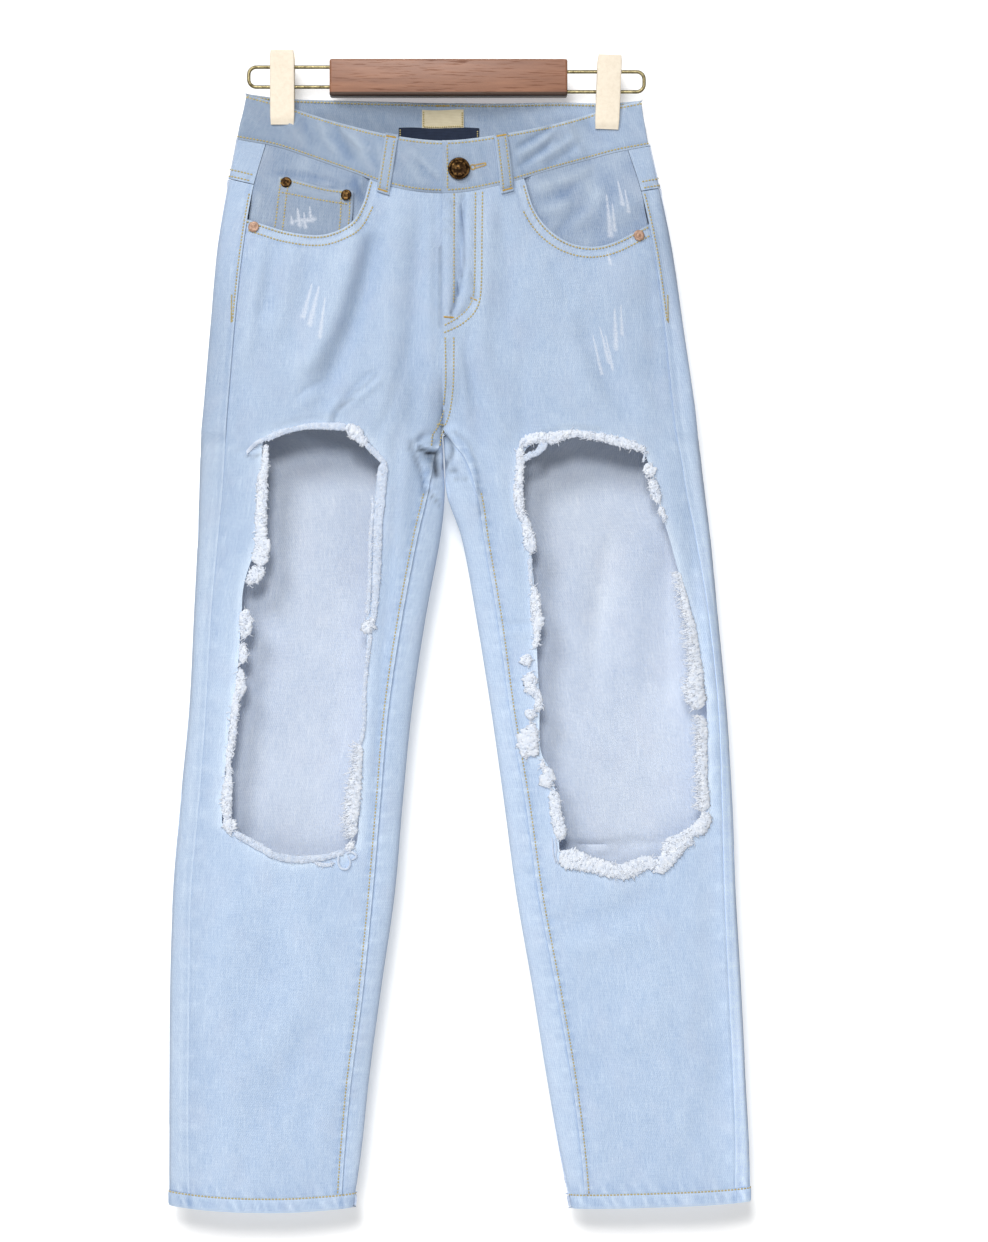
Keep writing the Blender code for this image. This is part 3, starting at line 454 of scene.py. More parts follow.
class JeansForm:
    """The hanging shape of the cloth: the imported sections, with creases laid on top."""

    roundness = 2.7
    layers = 2.7
    crotch_z = -322.0
    crotch_blend = 115.0
    front_blend = 55.0
    pinch_full_z = -62.0
    pinch_end_z = -195.0
    swag_half = 128.0
    swag_mid = -2.5
    top_fade = -275.0
    hem_fade = -880.0
    hem_level = -978.0
    hem_deep = 12.5
    slack = 11.0                  # how far the back hangs forward behind the torn knees
    yoke_side_z = {Side.RIGHT: -103.0, Side.LEFT: -111.0}
    yoke_centre_z = -150.0
    fly_z = -234.0                # foot of the fly
    waist_level = -95.0           # level of the row along the waist seam
    yoke_level = -125.0           # level of the row along the yoke's seam

    def __init__(self) -> None:
        """Reads every table as smooth curves."""
        self.legs = {Side.RIGHT: read_columns(RIGHT_LEG, "z"), Side.LEFT: read_columns(LEFT_LEG, "z")}
        self.depths = read_columns(DEPTHS, "z")
        self.waist = read_columns(WAIST, "x")

    def leg(self, side: Side, column: str, z: Array | float) -> Array:
        """X of a fold or seam of one leg at a height."""
        return self.legs[side][column](z)

    def span(self, side: Side, z: Array) -> tuple[Array, Array]:
        """X of a leg's two folds, lowest first."""
        outer, inner = self.leg(side, "outer", z), self.leg(side, "inner", z)
        return np.minimum(outer, inner), np.maximum(outer, inner)

    def hip_span(self, z: Array | float) -> tuple[Array, Array]:
        """X of the garment's two side folds."""
        return self.leg(Side.RIGHT, "outer", z), self.leg(Side.LEFT, "outer", z)

    def fullness(self, x: Array, low: Array, high: Array) -> Array:
        """How full a flattened section is at x: 0 at its folds and 1 in its middle."""
        reach = np.minimum(1.0, np.abs(2.0 * x - low - high) / (high - low))
        return np.maximum(0.0, 1.0 - reach ** self.roundness) ** (1.0 / self.roundness)

    def relief(self, layer: Layer, x: Array, z: Array) -> Array:
        """The height of all creases and slow waves on one layer."""
        total = crease_heights(CREASES, layer, x, z)
        flip = 1.0 if layer is FRONT else -1.0
        for wave in WAVES:
            total += wave.height * np.sin(FULL_TURN * (flip * x / wave.across + z / wave.up) + wave.phase)
        return total

    def half_depth(self, side: Side, layer: Layer, x: Array, z: Array) -> Array:
        """Distance of a layer from the middle plane.

        Args:
            side: The leg that the place belongs to.
            layer: Front or back.
            x: Places across.
            z: Heights.

        Returns:
            The distance in millimetres, creases included.
        """
        deep = self.depths[layer.value](z)
        leg = self.fullness(x, *self.span(side, z))
        hip = self.fullness(x, *self.hip_span(z))
        merged = ease((z - self.crotch_z) / (self.front_blend if layer is FRONT else self.crotch_blend))
        pinched = ease((z - self.pinch_end_z) / (self.pinch_full_z - self.pinch_end_z))
        swag = np.maximum(0.0, 1.0 - ((x - self.swag_mid) / self.swag_half) ** 2) ** 1.3
        if layer is BACK:
            deep = deep - self.slack * ease((-330.0 - z) / 70.0) * ease((z + 760.0) / 90.0)
        full = mix(mix(leg, hip, merged), swag, pinched)
        held = self.layers * np.sqrt(hip) * ease((z - self.crotch_z + 16.0) / 16.0)
        free = np.sqrt(mix(leg, hip, ease((z - self.crotch_z + 16.0) / 60.0)))
        free = free * (1.0 - 0.85 * pinched * (1.0 - swag))
        return np.hypot(deep * full, held) + self.relief(layer, x, z) * free

    def place(self, layer: Layer, x: Array, z: Array, side: Side | None = None) -> Array:
        """Points of a layer seen straight from the front or behind.

        Args:
            layer: Front or back.
            x: Places across.
            z: Heights.
            side: The leg, or None where each place's own X tells.

        Returns:
            One point for each place, in millimetres.
        """
        x, z = np.broadcast_arrays(np.asarray(x, float), np.asarray(z, float))
        if side is None:
            away = np.where(x < CENTRE_X, self.half_depth(Side.RIGHT, layer, x, z),
                            self.half_depth(Side.LEFT, layer, x, z))
        else:
            away = self.half_depth(side, layer, x, z)
        return np.stack([x, -away if layer is FRONT else away, z], axis=-1)

    def hem_line(self, side: Side, x: Array) -> Array:
        """Height of a leg's lower edge."""
        hem = HEMS[side]
        outer, inner = self.leg(side, "outer", hem.outer), self.leg(side, "inner", hem.inner)
        across = (x - outer) / (inner - outer)
        return mix(hem.outer, hem.inner, across) - hem.sag * 4.0 * across * (1.0 - across)

    def yoke_line(self, x: Array) -> Array:
        """Height of the seam under the yokes, a flat V."""
        heights = []
        for side in Side:
            edge = self.leg(side, "outer", self.yoke_side_z[side])
            across = np.clip((x - CENTRE_X) / (edge - CENTRE_X), 0.0, 1.0)
            heights.append(mix(self.yoke_centre_z, self.yoke_side_z[side], across))
        return np.where(x < CENTRE_X, heights[0], heights[1])

    def front_seam(self, x: Array) -> Array:
        """Height of the waistband's lower seam in front."""
        return self.waist["seam_front"](x)

    def band_edge(self, edge: str, x: Array, front: Array) -> Array:
        """Height of the waistband's seam or top, on the layer where each place lies."""
        return np.where(front, self.waist[edge + "_front"](x), self.waist[edge + "_back"](x))

    def below_crotch(self, z: Array) -> Array:
        """0 above the crotch, 1 on the legs and a soft step between."""
        return ease((self.crotch_z - z) / 12.0)

    def row_height(self, side: Side, x: Array, level: Array, top_line: Callable[[Array], Array],
                   top_level: float) -> Array:
        """Height of a panel's row: level in the middle, along the edges near the top and hem.

        Args:
            side: The leg.
            x: Places across.
            level: The row's level.
            top_line: Height of the panel's top edge.
            top_level: Level of the row that lies along it.

        Returns:
            The height at each place.
        """
        near_top = ease((level - self.top_fade) / (top_level - self.top_fade))
        near_hem = ease((self.hem_fade - level) / (self.hem_fade - self.hem_level))
        lift = (top_line(x) - GAP - top_level) * near_top
        hem_top = self.hem_line(side, x) + self.hem_deep + 2.0 * GAP
        return level + lift + (hem_top - self.hem_level) * near_hem

    def settled(self, side: Side, column: str, height_at: Callable[[Array], Array]) -> tuple[Array, Array]:
        """Where a row that lies at height_at(x) meets a seam: its X and its height."""
        x = self.leg(side, column, self.waist_level)
        for _ in range(5):
            x = self.leg(side, column, height_at(x))
        return x, height_at(x)


def turn_of(x: Array, low: Array, high: Array) -> Array:
    """Turn along a flattened loop at which its front passes x: 0 at low, half a turn at high."""
    return np.arccos(np.clip(1.0 - 2.0 * (x - low) / (high - low), -1.0, 1.0))


def loop_place(turn: Array, low: Array, high: Array) -> tuple[Array, Array]:
    """X along a flattened loop, and whether each place is on the front layer."""
    return mix(low, high, 0.5 - 0.5 * np.cos(turn)), np.mod(turn, FULL_TURN) < math.pi


FORM = JeansForm()


# ======================================================================= meshes

def link(name: str, mesh: bpy.types.Mesh) -> bpy.types.Object:
    """Puts a mesh in the scene as an object at the origin."""
    thing = bpy.data.objects.new(name, mesh)
    bpy.context.scene.collection.objects.link(thing)
    return thing


def mesh_from(name: str, bm: bmesh.types.BMesh) -> bpy.types.Mesh:
    """Turns a bmesh into a mesh and frees it."""
    mesh = bpy.data.meshes.new(name)
    bm.to_mesh(mesh)
    bm.free()
    return mesh


def smooth_faces(mesh: bpy.types.Mesh, angle: float) -> None:
    """Shades a mesh smooth, with its sharper edges kept sharp."""
    mesh.shade_smooth()
    mesh.set_sharp_from_angle(angle=math.radians(angle))


def read_points(mesh: bpy.types.Mesh) -> Array:
    """The corners of a mesh, one row each."""
    flat = np.empty(len(mesh.vertices) * 3)
    mesh.vertices.foreach_get("co", flat)
    return flat.reshape(-1, 3)


def write_points(mesh: bpy.types.Mesh, points: Array) -> None:
    """Moves the corners of a mesh."""
    mesh.vertices.foreach_set("co", np.ascontiguousarray(points, float).ravel())
    mesh.update()


def face_out(bm: bmesh.types.BMesh) -> None:
    """Turns every face of closed shapes outwards."""
    bmesh.ops.recalc_face_normals(bm, faces=bm.faces)
    if bm.calc_volume(signed=True) < 0.0:
        bmesh.ops.reverse_faces(bm, faces=bm.faces)


def write_numbers(mesh: bpy.types.Mesh, name: str, values: Array) -> None:
    """Stores one number for each corner, for a material to read."""
    layer = mesh.attributes.new(name, "FLOAT", "POINT")
    layer.data.foreach_set("value", np.ascontiguousarray(values, np.float32))


class Scatter:
    """Copies of one small template, joined in one mesh."""

    def __init__(self, template: bmesh.types.BMesh) -> None:
        """Reads the template's corners and faces, and frees it."""
        bmesh.ops.triangulate(template, faces=template.faces)
        template.verts.ensure_lookup_table()
        self.points = np.array([vert.co[:] for vert in template.verts])
        self.faces = np.array([[vert.index for vert in face.verts] for face in template.faces])
        template.free()

    def lay(self, name: str, places: Array, along: Array, out: Array, size: Array) -> bpy.types.Mesh:
        """Lays a copy at each place.

        Args:
            name: Name of the mesh.
            places: Middle of each copy, in metres.
            along: Unit direction of each copy's own X.
            out: Unit direction of each copy's own Z.
            size: Scale of each copy along X, Y and Z, in metres.

        Returns:
            The joined mesh.
        """
        across = np.cross(out, along)
        local = self.points[None] * size[:, None]
        frame_of = np.stack([along, across, out], axis=1)
        points = places[:, None] + np.einsum("nij,njk->nik", local, frame_of)
        count = len(self.points)
        faces = self.faces[None] + count * np.arange(len(places))[:, None, None]
        mesh = bpy.data.meshes.new(name)
        mesh.from_pydata(points.reshape(-1, 3).tolist(), [], faces.reshape(-1, 3).tolist())
        values = np.repeat(np.linspace(0.0, 1.0, len(places)), count)
        write_numbers(mesh, "which", np.mod(values * 61.8, 1.0))
        mesh.shade_smooth()
        return mesh


def thread_template() -> bmesh.types.BMesh:
    """One stitch: a short capsule."""
    bm = bmesh.new()
    bmesh.ops.create_uvsphere(bm, u_segments=6, v_segments=4, radius=0.5)
    bmesh.ops.rotate(bm, verts=bm.verts, matrix=Matrix.Rotation(math.pi / 2, 3, "Y"))
    return bm


def tubes(name: str, routes: Sequence[Array], radii: Sequence[Array], depth: float,
          sides: int) -> bpy.types.Mesh:
    """Round cords along many routes, as one mesh.

    Args:
        name: Name of the mesh.
        routes: Points of each cord, in metres.
        radii: Share of the full depth at each point of each cord.
        depth: Full radius, in metres.
        sides: Extra sides of a quarter of the section.

    Returns:
        The mesh, with both ends of each cord closed.
    """
    curve = bpy.data.curves.new(name, "CURVE")
    curve.dimensions = "3D"
    curve.bevel_depth = depth
    curve.bevel_resolution = sides
    curve.use_fill_caps = True
    for route, radius in zip(routes, radii):
        spline = curve.splines.new("POLY")
        spline.points.add(len(route) - 1)
        spline.points.foreach_set("co", np.column_stack([route, np.ones(len(route))]).ravel())
        spline.points.foreach_set("radius", np.broadcast_to(radius, len(route)).astype(np.float32))
        spline.use_smooth = True
    holder = bpy.data.objects.new(name, curve)
    bpy.context.scene.collection.objects.link(holder)
    bpy.context.view_layer.update()
    solid = holder.evaluated_get(bpy.context.evaluated_depsgraph_get())
    mesh = bpy.data.meshes.new_from_object(solid)
    mesh.name = name
    bpy.data.objects.remove(holder, do_unlink=True)
    bpy.data.curves.remove(curve)
    return mesh


def join_meshes(name: str, meshes: Sequence[bpy.types.Mesh], weld: bool = False) -> bpy.types.Mesh:
    """One mesh of several, and each keeps its material number by its order.

    Args:
        name: Name of the joined mesh.
        meshes: The meshes, which are removed.
        weld: Whether corners that meet are made one, and every face is turned outwards.

    Returns:
        The joined mesh.
    """
    bm = bmesh.new()
    for number, mesh in enumerate(meshes):
        start = len(bm.faces)
        bm.from_mesh(mesh)
        bm.faces.ensure_lookup_table()
        for face in bm.faces[start:]:
            face.material_index = number
        bpy.data.meshes.remove(mesh)
    if weld:
        bmesh.ops.remove_doubles(bm, verts=bm.verts, dist=1e-6)
        face_out(bm)
    return mesh_from(name, bm)


# ======================================================================= sheets of cloth

class Laid(NamedTuple):
    """Where the places of a sheet lie: across, in height, on which layer, and on which round."""

    x: Array
    z: Array
    front: Array
    share: Array | None = None


Spread = Callable[[Array, Array], Laid]
Lift = Callable[[Laid], Array]


def laid_points(laid: Laid, side: Side | None = None) -> Array:
    """Points of the form at the places of a sheet."""
    front = FORM.place(FRONT, laid.x, laid.z, side)
    back = FORM.place(BACK, laid.x, laid.z, side)
    return np.where(laid.front[..., None], front, back)


def form_outward(x: Array, z: Array, layer: Layer, side: Side | None = None) -> Array:
    """Unit directions in which the form's layer faces at some places."""
    step = 0.8
    across = FORM.place(layer, x + step, z, side) - FORM.place(layer, x - step, z, side)
    up = FORM.place(layer, x, z + step, side) - FORM.place(layer, x, z - step, side)
    facing = np.cross(across, up) * (1.0 if layer is FRONT else -1.0)
    return facing / np.linalg.norm(facing, axis=-1, keepdims=True)


@dataclass
class Sheet:
    """A piece of cloth as a grid of small cells laid on the form, with a wall of its own."""

    name: str
    columns: int
    rows: int
    spread: Spread
    lift: Lift
    side: Side | None = None
    thick: float = DENIM
    closed: bool = False
    holes: tuple[Array, ...] = ()
    # wear and tone carry the cloth's fade and wear, and on some pieces painted shade and highlights too.
    wear: Callable[[Laid], Array] | None = None
    tone: Callable[[Laid], Array] | None = None
    laid: Laid = field(init=False)
    measure: tuple[float, float, float] = field(init=False)

    def outward(self, points: Array) -> Array:
        """Directions in which a grid of points faces.

        Args:
            points: Rows and columns of points.

        Returns:
            One unit direction for each point.
        """
        if self.closed:
            wide = np.concatenate([points[:, -3:-1], points, points[:, 1:3]], axis=1)
            along = np.gradient(wide, axis=1)[:, 2:-2]
        else:
            along = np.gradient(points, axis=1)
        facing = np.cross(along, np.gradient(points, axis=0))
        return facing / np.maximum(1e-9, np.linalg.norm(facing, axis=-1, keepdims=True))

    def snap(self, laid: Laid) -> tuple[Laid, Array]:
        """Trims the grid to its holes.

        Args:
            laid: The places of the whole grid.

        Returns:
            The places with the holes' edges on their outlines, and which cells are cut out.
        """
        middle_x = (laid.x[:-1, :-1] + laid.x[1:, :-1] + laid.x[:-1, 1:] + laid.x[1:, 1:]) / 4.0
        middle_z = (laid.z[:-1, :-1] + laid.z[1:, :-1] + laid.z[:-1, 1:] + laid.z[1:, 1:]) / 4.0
        gone = np.zeros(middle_x.shape, bool)
        x, z = laid.x.copy(), laid.z.copy()
        for ring in self.holes:
            cut = inside(middle_x, middle_z, ring)
            gone |= cut
            padded = np.pad(cut, 1)
            around = np.stack([padded[:-1, :-1], padded[1:, :-1], padded[:-1, 1:], padded[1:, 1:]])
            rim = around.any(axis=0) & ~around.all(axis=0)
            dense = even_path(np.concatenate([ring, ring[:1]]), 0.4)
            _, away, spots = nearest_on(x[rim], z[rim], dense)
            near = away < 6.0
            x[rim] = np.where(near, spots[:, 0], x[rim])
            z[rim] = np.where(near, spots[:, 1], z[rim])
        return Laid(x, z, laid.front, laid.share), gone

    def skin(self, u: Array, v: Array) -> tuple[Array, Array]:
        """The form under some places of the sheet, and how high the sheet stands on it there."""
        laid = self.spread(u, v)
        return laid_points(laid, self.side), self.lift(laid)

    def at(self, u: Array, v: Array) -> tuple[Array, Array]:
        """Points on the sheet's face, in millimetres.

        Args:
            u: Places across, from 0 to 1.
            v: Places up, from 0 to 1.

        Returns:
            The points, and the direction in which the sheet faces at each.
        """
        step_u, step_v = 0.5 / self.columns, 0.5 / self.rows
        u = np.clip(u, step_u, 1.0 - step_u)
        v = np.clip(v, step_v, 1.0 - step_v)
        along = self.skin(u + step_u, v)[0] - self.skin(u - step_u, v)[0]
        up = self.skin(u, v + step_v)[0] - self.skin(u, v - step_v)[0]
        facing = np.cross(along, up)
        facing /= np.maximum(1e-9, np.linalg.norm(facing, axis=-1, keepdims=True))
        points, height = self.skin(u, v)
        return points + facing * height[..., None], facing

    def build(self) -> bpy.types.Object:
        """Lays the cloth, cuts its holes, and gives it its wall, UV map and wear."""
        u, v = np.meshgrid(np.linspace(0.0, 1.0, self.columns + 1), np.linspace(0.0, 1.0, self.rows + 1))
        laid = self.spread(u, v)
        laid = Laid(*np.broadcast_arrays(laid.x, laid.z, laid.front), laid.share)
        gone = np.zeros((self.rows, self.columns), bool)
        if self.holes:
            laid, gone = self.snap(laid)
        base = laid_points(laid, self.side)
        facing = self.outward(base)
        outer = base + facing * self.lift(laid)[..., None]
        facing = self.outward(outer)
        self.laid = laid
        inner = outer - facing * self.thick
        across = np.cumsum(np.linalg.norm(np.diff(outer, axis=1, prepend=outer[:, :1]), axis=2), axis=1)
        across -= across[:, self.columns // 2:self.columns // 2 + 1]
        middle = outer[:, self.columns // 2]
        up = np.cumsum(np.linalg.norm(np.diff(middle, axis=0, prepend=middle[:1]), axis=1))
        spots = np.stack([across, np.broadcast_to(up[:, None], across.shape)], axis=2) * MM
        rising, falling = outer[1:, 1:] - outer[:-1, :-1], outer[1:, :-1] - outer[:-1, 1:]
        cells = np.linalg.norm(np.cross(rising, falling), axis=2)
        area = 0.5 * (cells * ~gone).sum() * MM * MM
        wide, long = np.ptp(spots[..., 0]), np.ptp(spots[..., 1])
        self.measure = (float(wide), float(long), float(min(area, wide * long)))

        bm = bmesh.new()
        bmesh.ops.create_grid(bm, x_segments=self.columns, y_segments=self.rows, size=0.5)
        column = np.array([round((vert.co.x + 0.5) * self.columns) for vert in bm.verts])
        row = np.array([round((vert.co.y + 0.5) * self.rows) for vert in bm.verts])
        numbers = row * (self.columns + 1) + column
        wall_layer = bm.verts.layers.int.new("wall")
        number_layer = bm.verts.layers.int.new("number")
        for vert, number in zip(bm.verts, numbers):
            vert[number_layer] = int(number)
        lost = [face for face in bm.faces if gone[
            min(int((face.calc_center_median().y + 0.5) * self.rows), self.rows - 1),
            min(int((face.calc_center_median().x + 0.5) * self.columns), self.columns - 1)]]
        bmesh.ops.delete(bm, geom=lost, context="FACES")
        moved = bmesh.ops.extrude_face_region(bm, geom=bm.faces[:], use_keep_orig=True)["geom"]
        under = [item for item in moved if isinstance(item, bmesh.types.BMVert)]
        for vert in under:
            vert[wall_layer] = 1
        for face in bm.faces:
            face.material_index = 1 if all(vert[wall_layer] for vert in face.verts) else 0
        mesh = mesh_from(self.name, bm)
        return self.finish(mesh, outer, inner, spots)

    def finish(self, mesh: bpy.types.Mesh, outer: Array, inner: Array, spots: Array) -> bpy.types.Object:
        """Moves the wall's corners to the form and stores what the material reads.

        Args:
            mesh: The flat grid with its two skins.
            outer: Points of the outer skin.
            inner: Points of the inner skin.
            spots: Places on the flat cloth, in metres.

        Returns:
            The finished object.
        """
        count = len(mesh.vertices)
        numbers, wall = np.empty(count, np.int32), np.empty(count, np.int32)
        mesh.attributes["number"].data.foreach_get("value", numbers)
        mesh.attributes["wall"].data.foreach_get("value", wall)
        flat_outer, flat_inner = outer.reshape(-1, 3), inner.reshape(-1, 3)
        points = np.where(wall[:, None] == 1, flat_inner[numbers], flat_outer[numbers])
        write_points(mesh, points * MM)
        corners = np.empty(len(mesh.loops), np.int32)
        mesh.loops.foreach_get("vertex_index", corners)
        uv = mesh.uv_layers.new(name="flat")
        uv.data.foreach_set("uv", spots.reshape(-1, 2)[numbers[corners]].ravel().astype(np.float32))
        for name, source in (("wear", self.wear), ("tone", self.tone)):
            values = source(self.laid) if source else np.zeros(self.laid.x.shape)
            write_numbers(mesh, name, np.broadcast_to(values, self.laid.x.shape).ravel()[numbers])
        for name in ("number", "wall"):
            mesh.attributes.remove(mesh.attributes[name])
        bm = bmesh.new()
        bm.from_mesh(mesh)
        if self.closed:
            bmesh.ops.remove_doubles(bm, verts=bm.verts, dist=2e-6)
        face_out(bm)
        bm.to_mesh(mesh)
        bm.free()
        smooth_faces(mesh, 50.0)
        return link(self.name, mesh)


# ======================================================================= finishes

Colour = tuple[float, float, float]
Socket = bpy.types.NodeSocket
Value = float | tuple | Socket


def screen(red: int, green: int, blue: int) -> Colour:
    """A colour as it looks on a screen, 0 to 255, as linear light."""
    return tuple(c / 255 / 12.92 if c <= 10 else ((c / 255 + 0.055) / 1.055) ** 2.4
                 for c in (red, green, blue))


class Graph:
    """Makes the nodes of one tree and links them."""

    def __init__(self, tree: bpy.types.NodeTree) -> None:
        """Keeps the tree."""
        self.tree = tree

    def add(self, kind: str, inputs: dict[str | int, Value] | None = None,
            **settings: object) -> bpy.types.Node:
        """Makes a node.

        Args:
            kind: Blender's name of the node, without its first word.
            inputs: A value or an output for each of its inputs.
            settings: The node's own choices.

        Returns:
            The node.
        """
        node = self.tree.nodes.new("ShaderNode" + kind)
        for name, value in settings.items():
            setattr(node, name, value)
        for key, value in (inputs or {}).items():
            if isinstance(value, bpy.types.NodeSocket):
                self.tree.links.new(value, node.inputs[key])
            elif isinstance(value, tuple) and len(value) == 3 and node.inputs[key].type == "RGBA":
                node.inputs[key].default_value = (*value, 1.0)
            else:
                node.inputs[key].default_value = value
        return node

    def maths(self, operation: str, *values: Value) -> Socket:
        """One sum of numbers."""
        node = self.add("Math", dict(enumerate(values)), operation=operation)
        return node.outputs[0]

    def blend(self, share: Value, start: Value, end: Value, how: str = "MIX") -> Socket:
        """A mix of two colours."""
        node = self.add("Mix", data_type="RGBA", blend_type=how, clamp_factor=True)
        for key, value in ((0, share), (6, start), (7, end)):
            if isinstance(value, bpy.types.NodeSocket):
                self.tree.links.new(value, node.inputs[key])
            else:
                node.inputs[key].default_value = (*value, 1.0) if key else value
        return node.outputs[2]

    def stretch(self, vector: Socket, scale: tuple, turn: float = 0.0) -> Socket:
        """A pattern's places, scaled and turned about Z."""
        inputs = {"Vector": vector, "Scale": scale, "Rotation": (0.0, 0.0, turn)}
        return self.add("Mapping", inputs).outputs[0]

    def noise(self, vector: Socket, scale: float, detail: float = 2.0, rough: float = 0.5) -> Socket:
        """Soft noise about one half."""
        inputs = {"Vector": vector, "Scale": scale, "Detail": detail, "Roughness": rough}
        return self.add("TexNoise", inputs).outputs["Fac"]

    def ramp(self, value: Socket, low: float, high: float, start: float = 0.0, end: float = 1.0) -> Socket:
        """Start below low, end above high, and a smooth step between."""
        inputs = {"Value": value, "From Min": low, "From Max": high, "To Min": start, "To Max": end}
        return self.add("MapRange", inputs, interpolation_type="SMOOTHSTEP").outputs[0]

    def sum_of(self, *parts: tuple[Socket, float]) -> Socket:
        """The sum of several outputs, each times a weight and measured from one half."""
        total: Value = 0.0
        for output, weight in parts:
            total = self.maths("MULTIPLY_ADD", self.maths("SUBTRACT", output, 0.5), weight, total)
        return total


def effect(name: str, inputs: Sequence[tuple[str, str]], outputs: Sequence[tuple[str, str]],
           draw: Callable[[Graph, dict[str, Socket]], dict[str, Socket]]) -> bpy.types.NodeTree:
    """A shader node group, made once.

    Args:
        name: The group's name.
        inputs: Name and kind of each input: Float, Color or Vector.
        outputs: Name and kind of each output.
        draw: Makes the nodes from the inputs, and gives an output for each name.

    Returns:
        The group.
    """
    tree = bpy.data.node_groups.get(name)
    if tree:
        return tree
    tree = bpy.data.node_groups.new(name, "ShaderNodeTree")
    for direction, sockets in (("INPUT", inputs), ("OUTPUT", outputs)):
        for label, kind in sockets:
            tree.interface.new_socket(label, in_out=direction, socket_type="NodeSocket" + kind)
    start, end = tree.nodes.new("NodeGroupInput"), tree.nodes.new("NodeGroupOutput")
    results = draw(Graph(tree), {label: start.outputs[label] for label, _ in inputs})
    for label, output in results.items():
        tree.links.new(output, end.inputs[label])
    return tree


def draw_denim(graph: Graph, given: dict[str, Socket]) -> dict[str, Socket]:
    """Bleached twill: fine slanted ribs, uneven warp threads, slubs, and a blotchy fade."""
    flat = given["Flat"]
    warp = graph.noise(graph.stretch(flat, (1500.0, 85.0, 1.0)), 1.0, 2.0, 0.6)
    weft = graph.noise(graph.stretch(flat, (70.0, 1300.0, 1.0)), 1.0, 1.0)
    slub = graph.ramp(graph.noise(graph.stretch(flat, (560.0, 24.0, 1.0)), 1.0, 1.0), 0.58, 0.74)
    speck = graph.noise(graph.stretch(flat, (900.0, 900.0, 1.0)), 1.0, 2.0, 0.7)
    small = graph.noise(graph.stretch(flat, (75.0, 52.0, 1.0)), 1.0, 3.0, 0.6)
    large = graph.noise(graph.stretch(flat, (21.0, 13.0, 1.0)), 1.0, 2.0)
    ribs = graph.add("TexWave", {"Vector": graph.stretch(flat, (1.0, 1.0, 1.0), math.radians(28)),
                                 "Scale": 190.0, "Distortion": 0.6, "Detail": 1.0})
    ribs = ribs.outputs["Fac"]
    cross = graph.noise(graph.stretch(flat, (420.0, 420.0, 1.0), math.radians(30)), 1.0, 3.0, 0.75)
    shade = graph.sum_of((warp, 0.66), (weft, 0.26), (speck, 0.42), (cross, 0.42), (small, 0.22),
                         (large, 0.14), (ribs, 0.12))
    shade = graph.maths("MULTIPLY_ADD", slub, 0.10, shade)
    shade = graph.maths("MULTIPLY_ADD", shade, given["Contrast"], 0.5)
    # Wear adds the stored fade and wear, and on some pieces painted shade and highlights.
    shade = graph.maths("ADD", shade, given["Wear"])
    colour = graph.blend(shade, given["Deep"], given["Pale"])
    warm = graph.noise(graph.stretch(flat, (30.0, 19.0, 1.0)), 1.3, 2.0)
    colour = graph.blend(graph.ramp(warm, 0.45, 0.75, 0.0, 0.10), colour, (0.62, 0.62, 0.74))
    # Tone scales the colour: the cloth's own deeper tones, and on some pieces painted shade and light.
    toned = {0: colour, "Scale": graph.maths("ADD", given["Tone"], 1.0)}
    colour = graph.add("VectorMath", toned, operation="SCALE").outputs[0]
    rough = graph.maths("MULTIPLY_ADD", shade, 0.10, 0.80)
    height = graph.sum_of((warp, 0.5), (weft, 0.25), (ribs, 0.5), (speck, 0.35))
    height = graph.maths("MULTIPLY_ADD", slub, 0.3, height)
    return {"Color": colour, "Roughness": rough, "Height": height}


def denim_effect() -> bpy.types.NodeTree:
    """The group of the bleached twill."""
    return effect("bleached twill",
                  [("Flat", "Vector"), ("Pale", "Color"), ("Deep", "Color"), ("Contrast", "Float"),
                   ("Wear", "Float"), ("Tone", "Float")],
                  [("Color", "Color"), ("Roughness", "Float"), ("Height", "Float")], draw_denim)


def draw_scratch(graph: Graph, given: dict[str, Socket]) -> dict[str, Socket]:
    """A fuzzy mark between two places on the front, widest near its end."""
    reach = graph.add("VectorMath", {0: given["End"], 1: given["Start"]}, operation="SUBTRACT").outputs[0]
    from_start = graph.add("VectorMath", {0: given["Place"], 1: given["Start"]}, operation="SUBTRACT")
    from_start = from_start.outputs[0]
    dot = graph.add("VectorMath", {0: from_start, 1: reach}, operation="DOT_PRODUCT").outputs["Value"]
    size = graph.add("VectorMath", {0: reach, 1: reach}, operation="DOT_PRODUCT").outputs["Value"]
    share = graph.maths("DIVIDE", dot, size)
    share = graph.maths("MAXIMUM", 0.0, graph.maths("MINIMUM", 1.0, share))
    foot = graph.add("VectorMath", {0: reach, "Scale": share}, operation="SCALE").outputs[0]
    off = graph.add("VectorMath", {0: from_start, 1: foot}, operation="DISTANCE").outputs["Value"]
    taper = graph.maths("MULTIPLY_ADD", share, 0.75, 0.35)
    ragged = graph.maths("MULTIPLY", taper, graph.noise(given["Place"], 420.0))
    thin = graph.maths("MULTIPLY", given["Width"], ragged)
    soft = graph.ramp(graph.maths("DIVIDE", off, thin), 0.3, 3.6, 1.0, 0.0)
    fuzz = graph.ramp(graph.noise(given["Place"], 700.0, 3.0, 0.8), 0.30, 0.58, 0.12, 1.0)
    return {"Mask": graph.maths("MULTIPLY", soft, fuzz)}


def draw_fibre(graph: Graph, given: dict[str, Socket]) -> dict[str, Socket]:
    """Loose cotton: pale threads, some bluer and some in the shade of others."""
    soft = graph.noise(given["Place"], 260.0, 3.0, 0.65)
    fine = graph.noise(given["Place"], 1500.0, 2.0)
    share = graph.maths("ADD", 0.5, graph.sum_of((soft, 1.5), (fine, 0.8)))
    return {"Color": graph.blend(share, given["Deep"], given["Pale"]), "Height": fine}


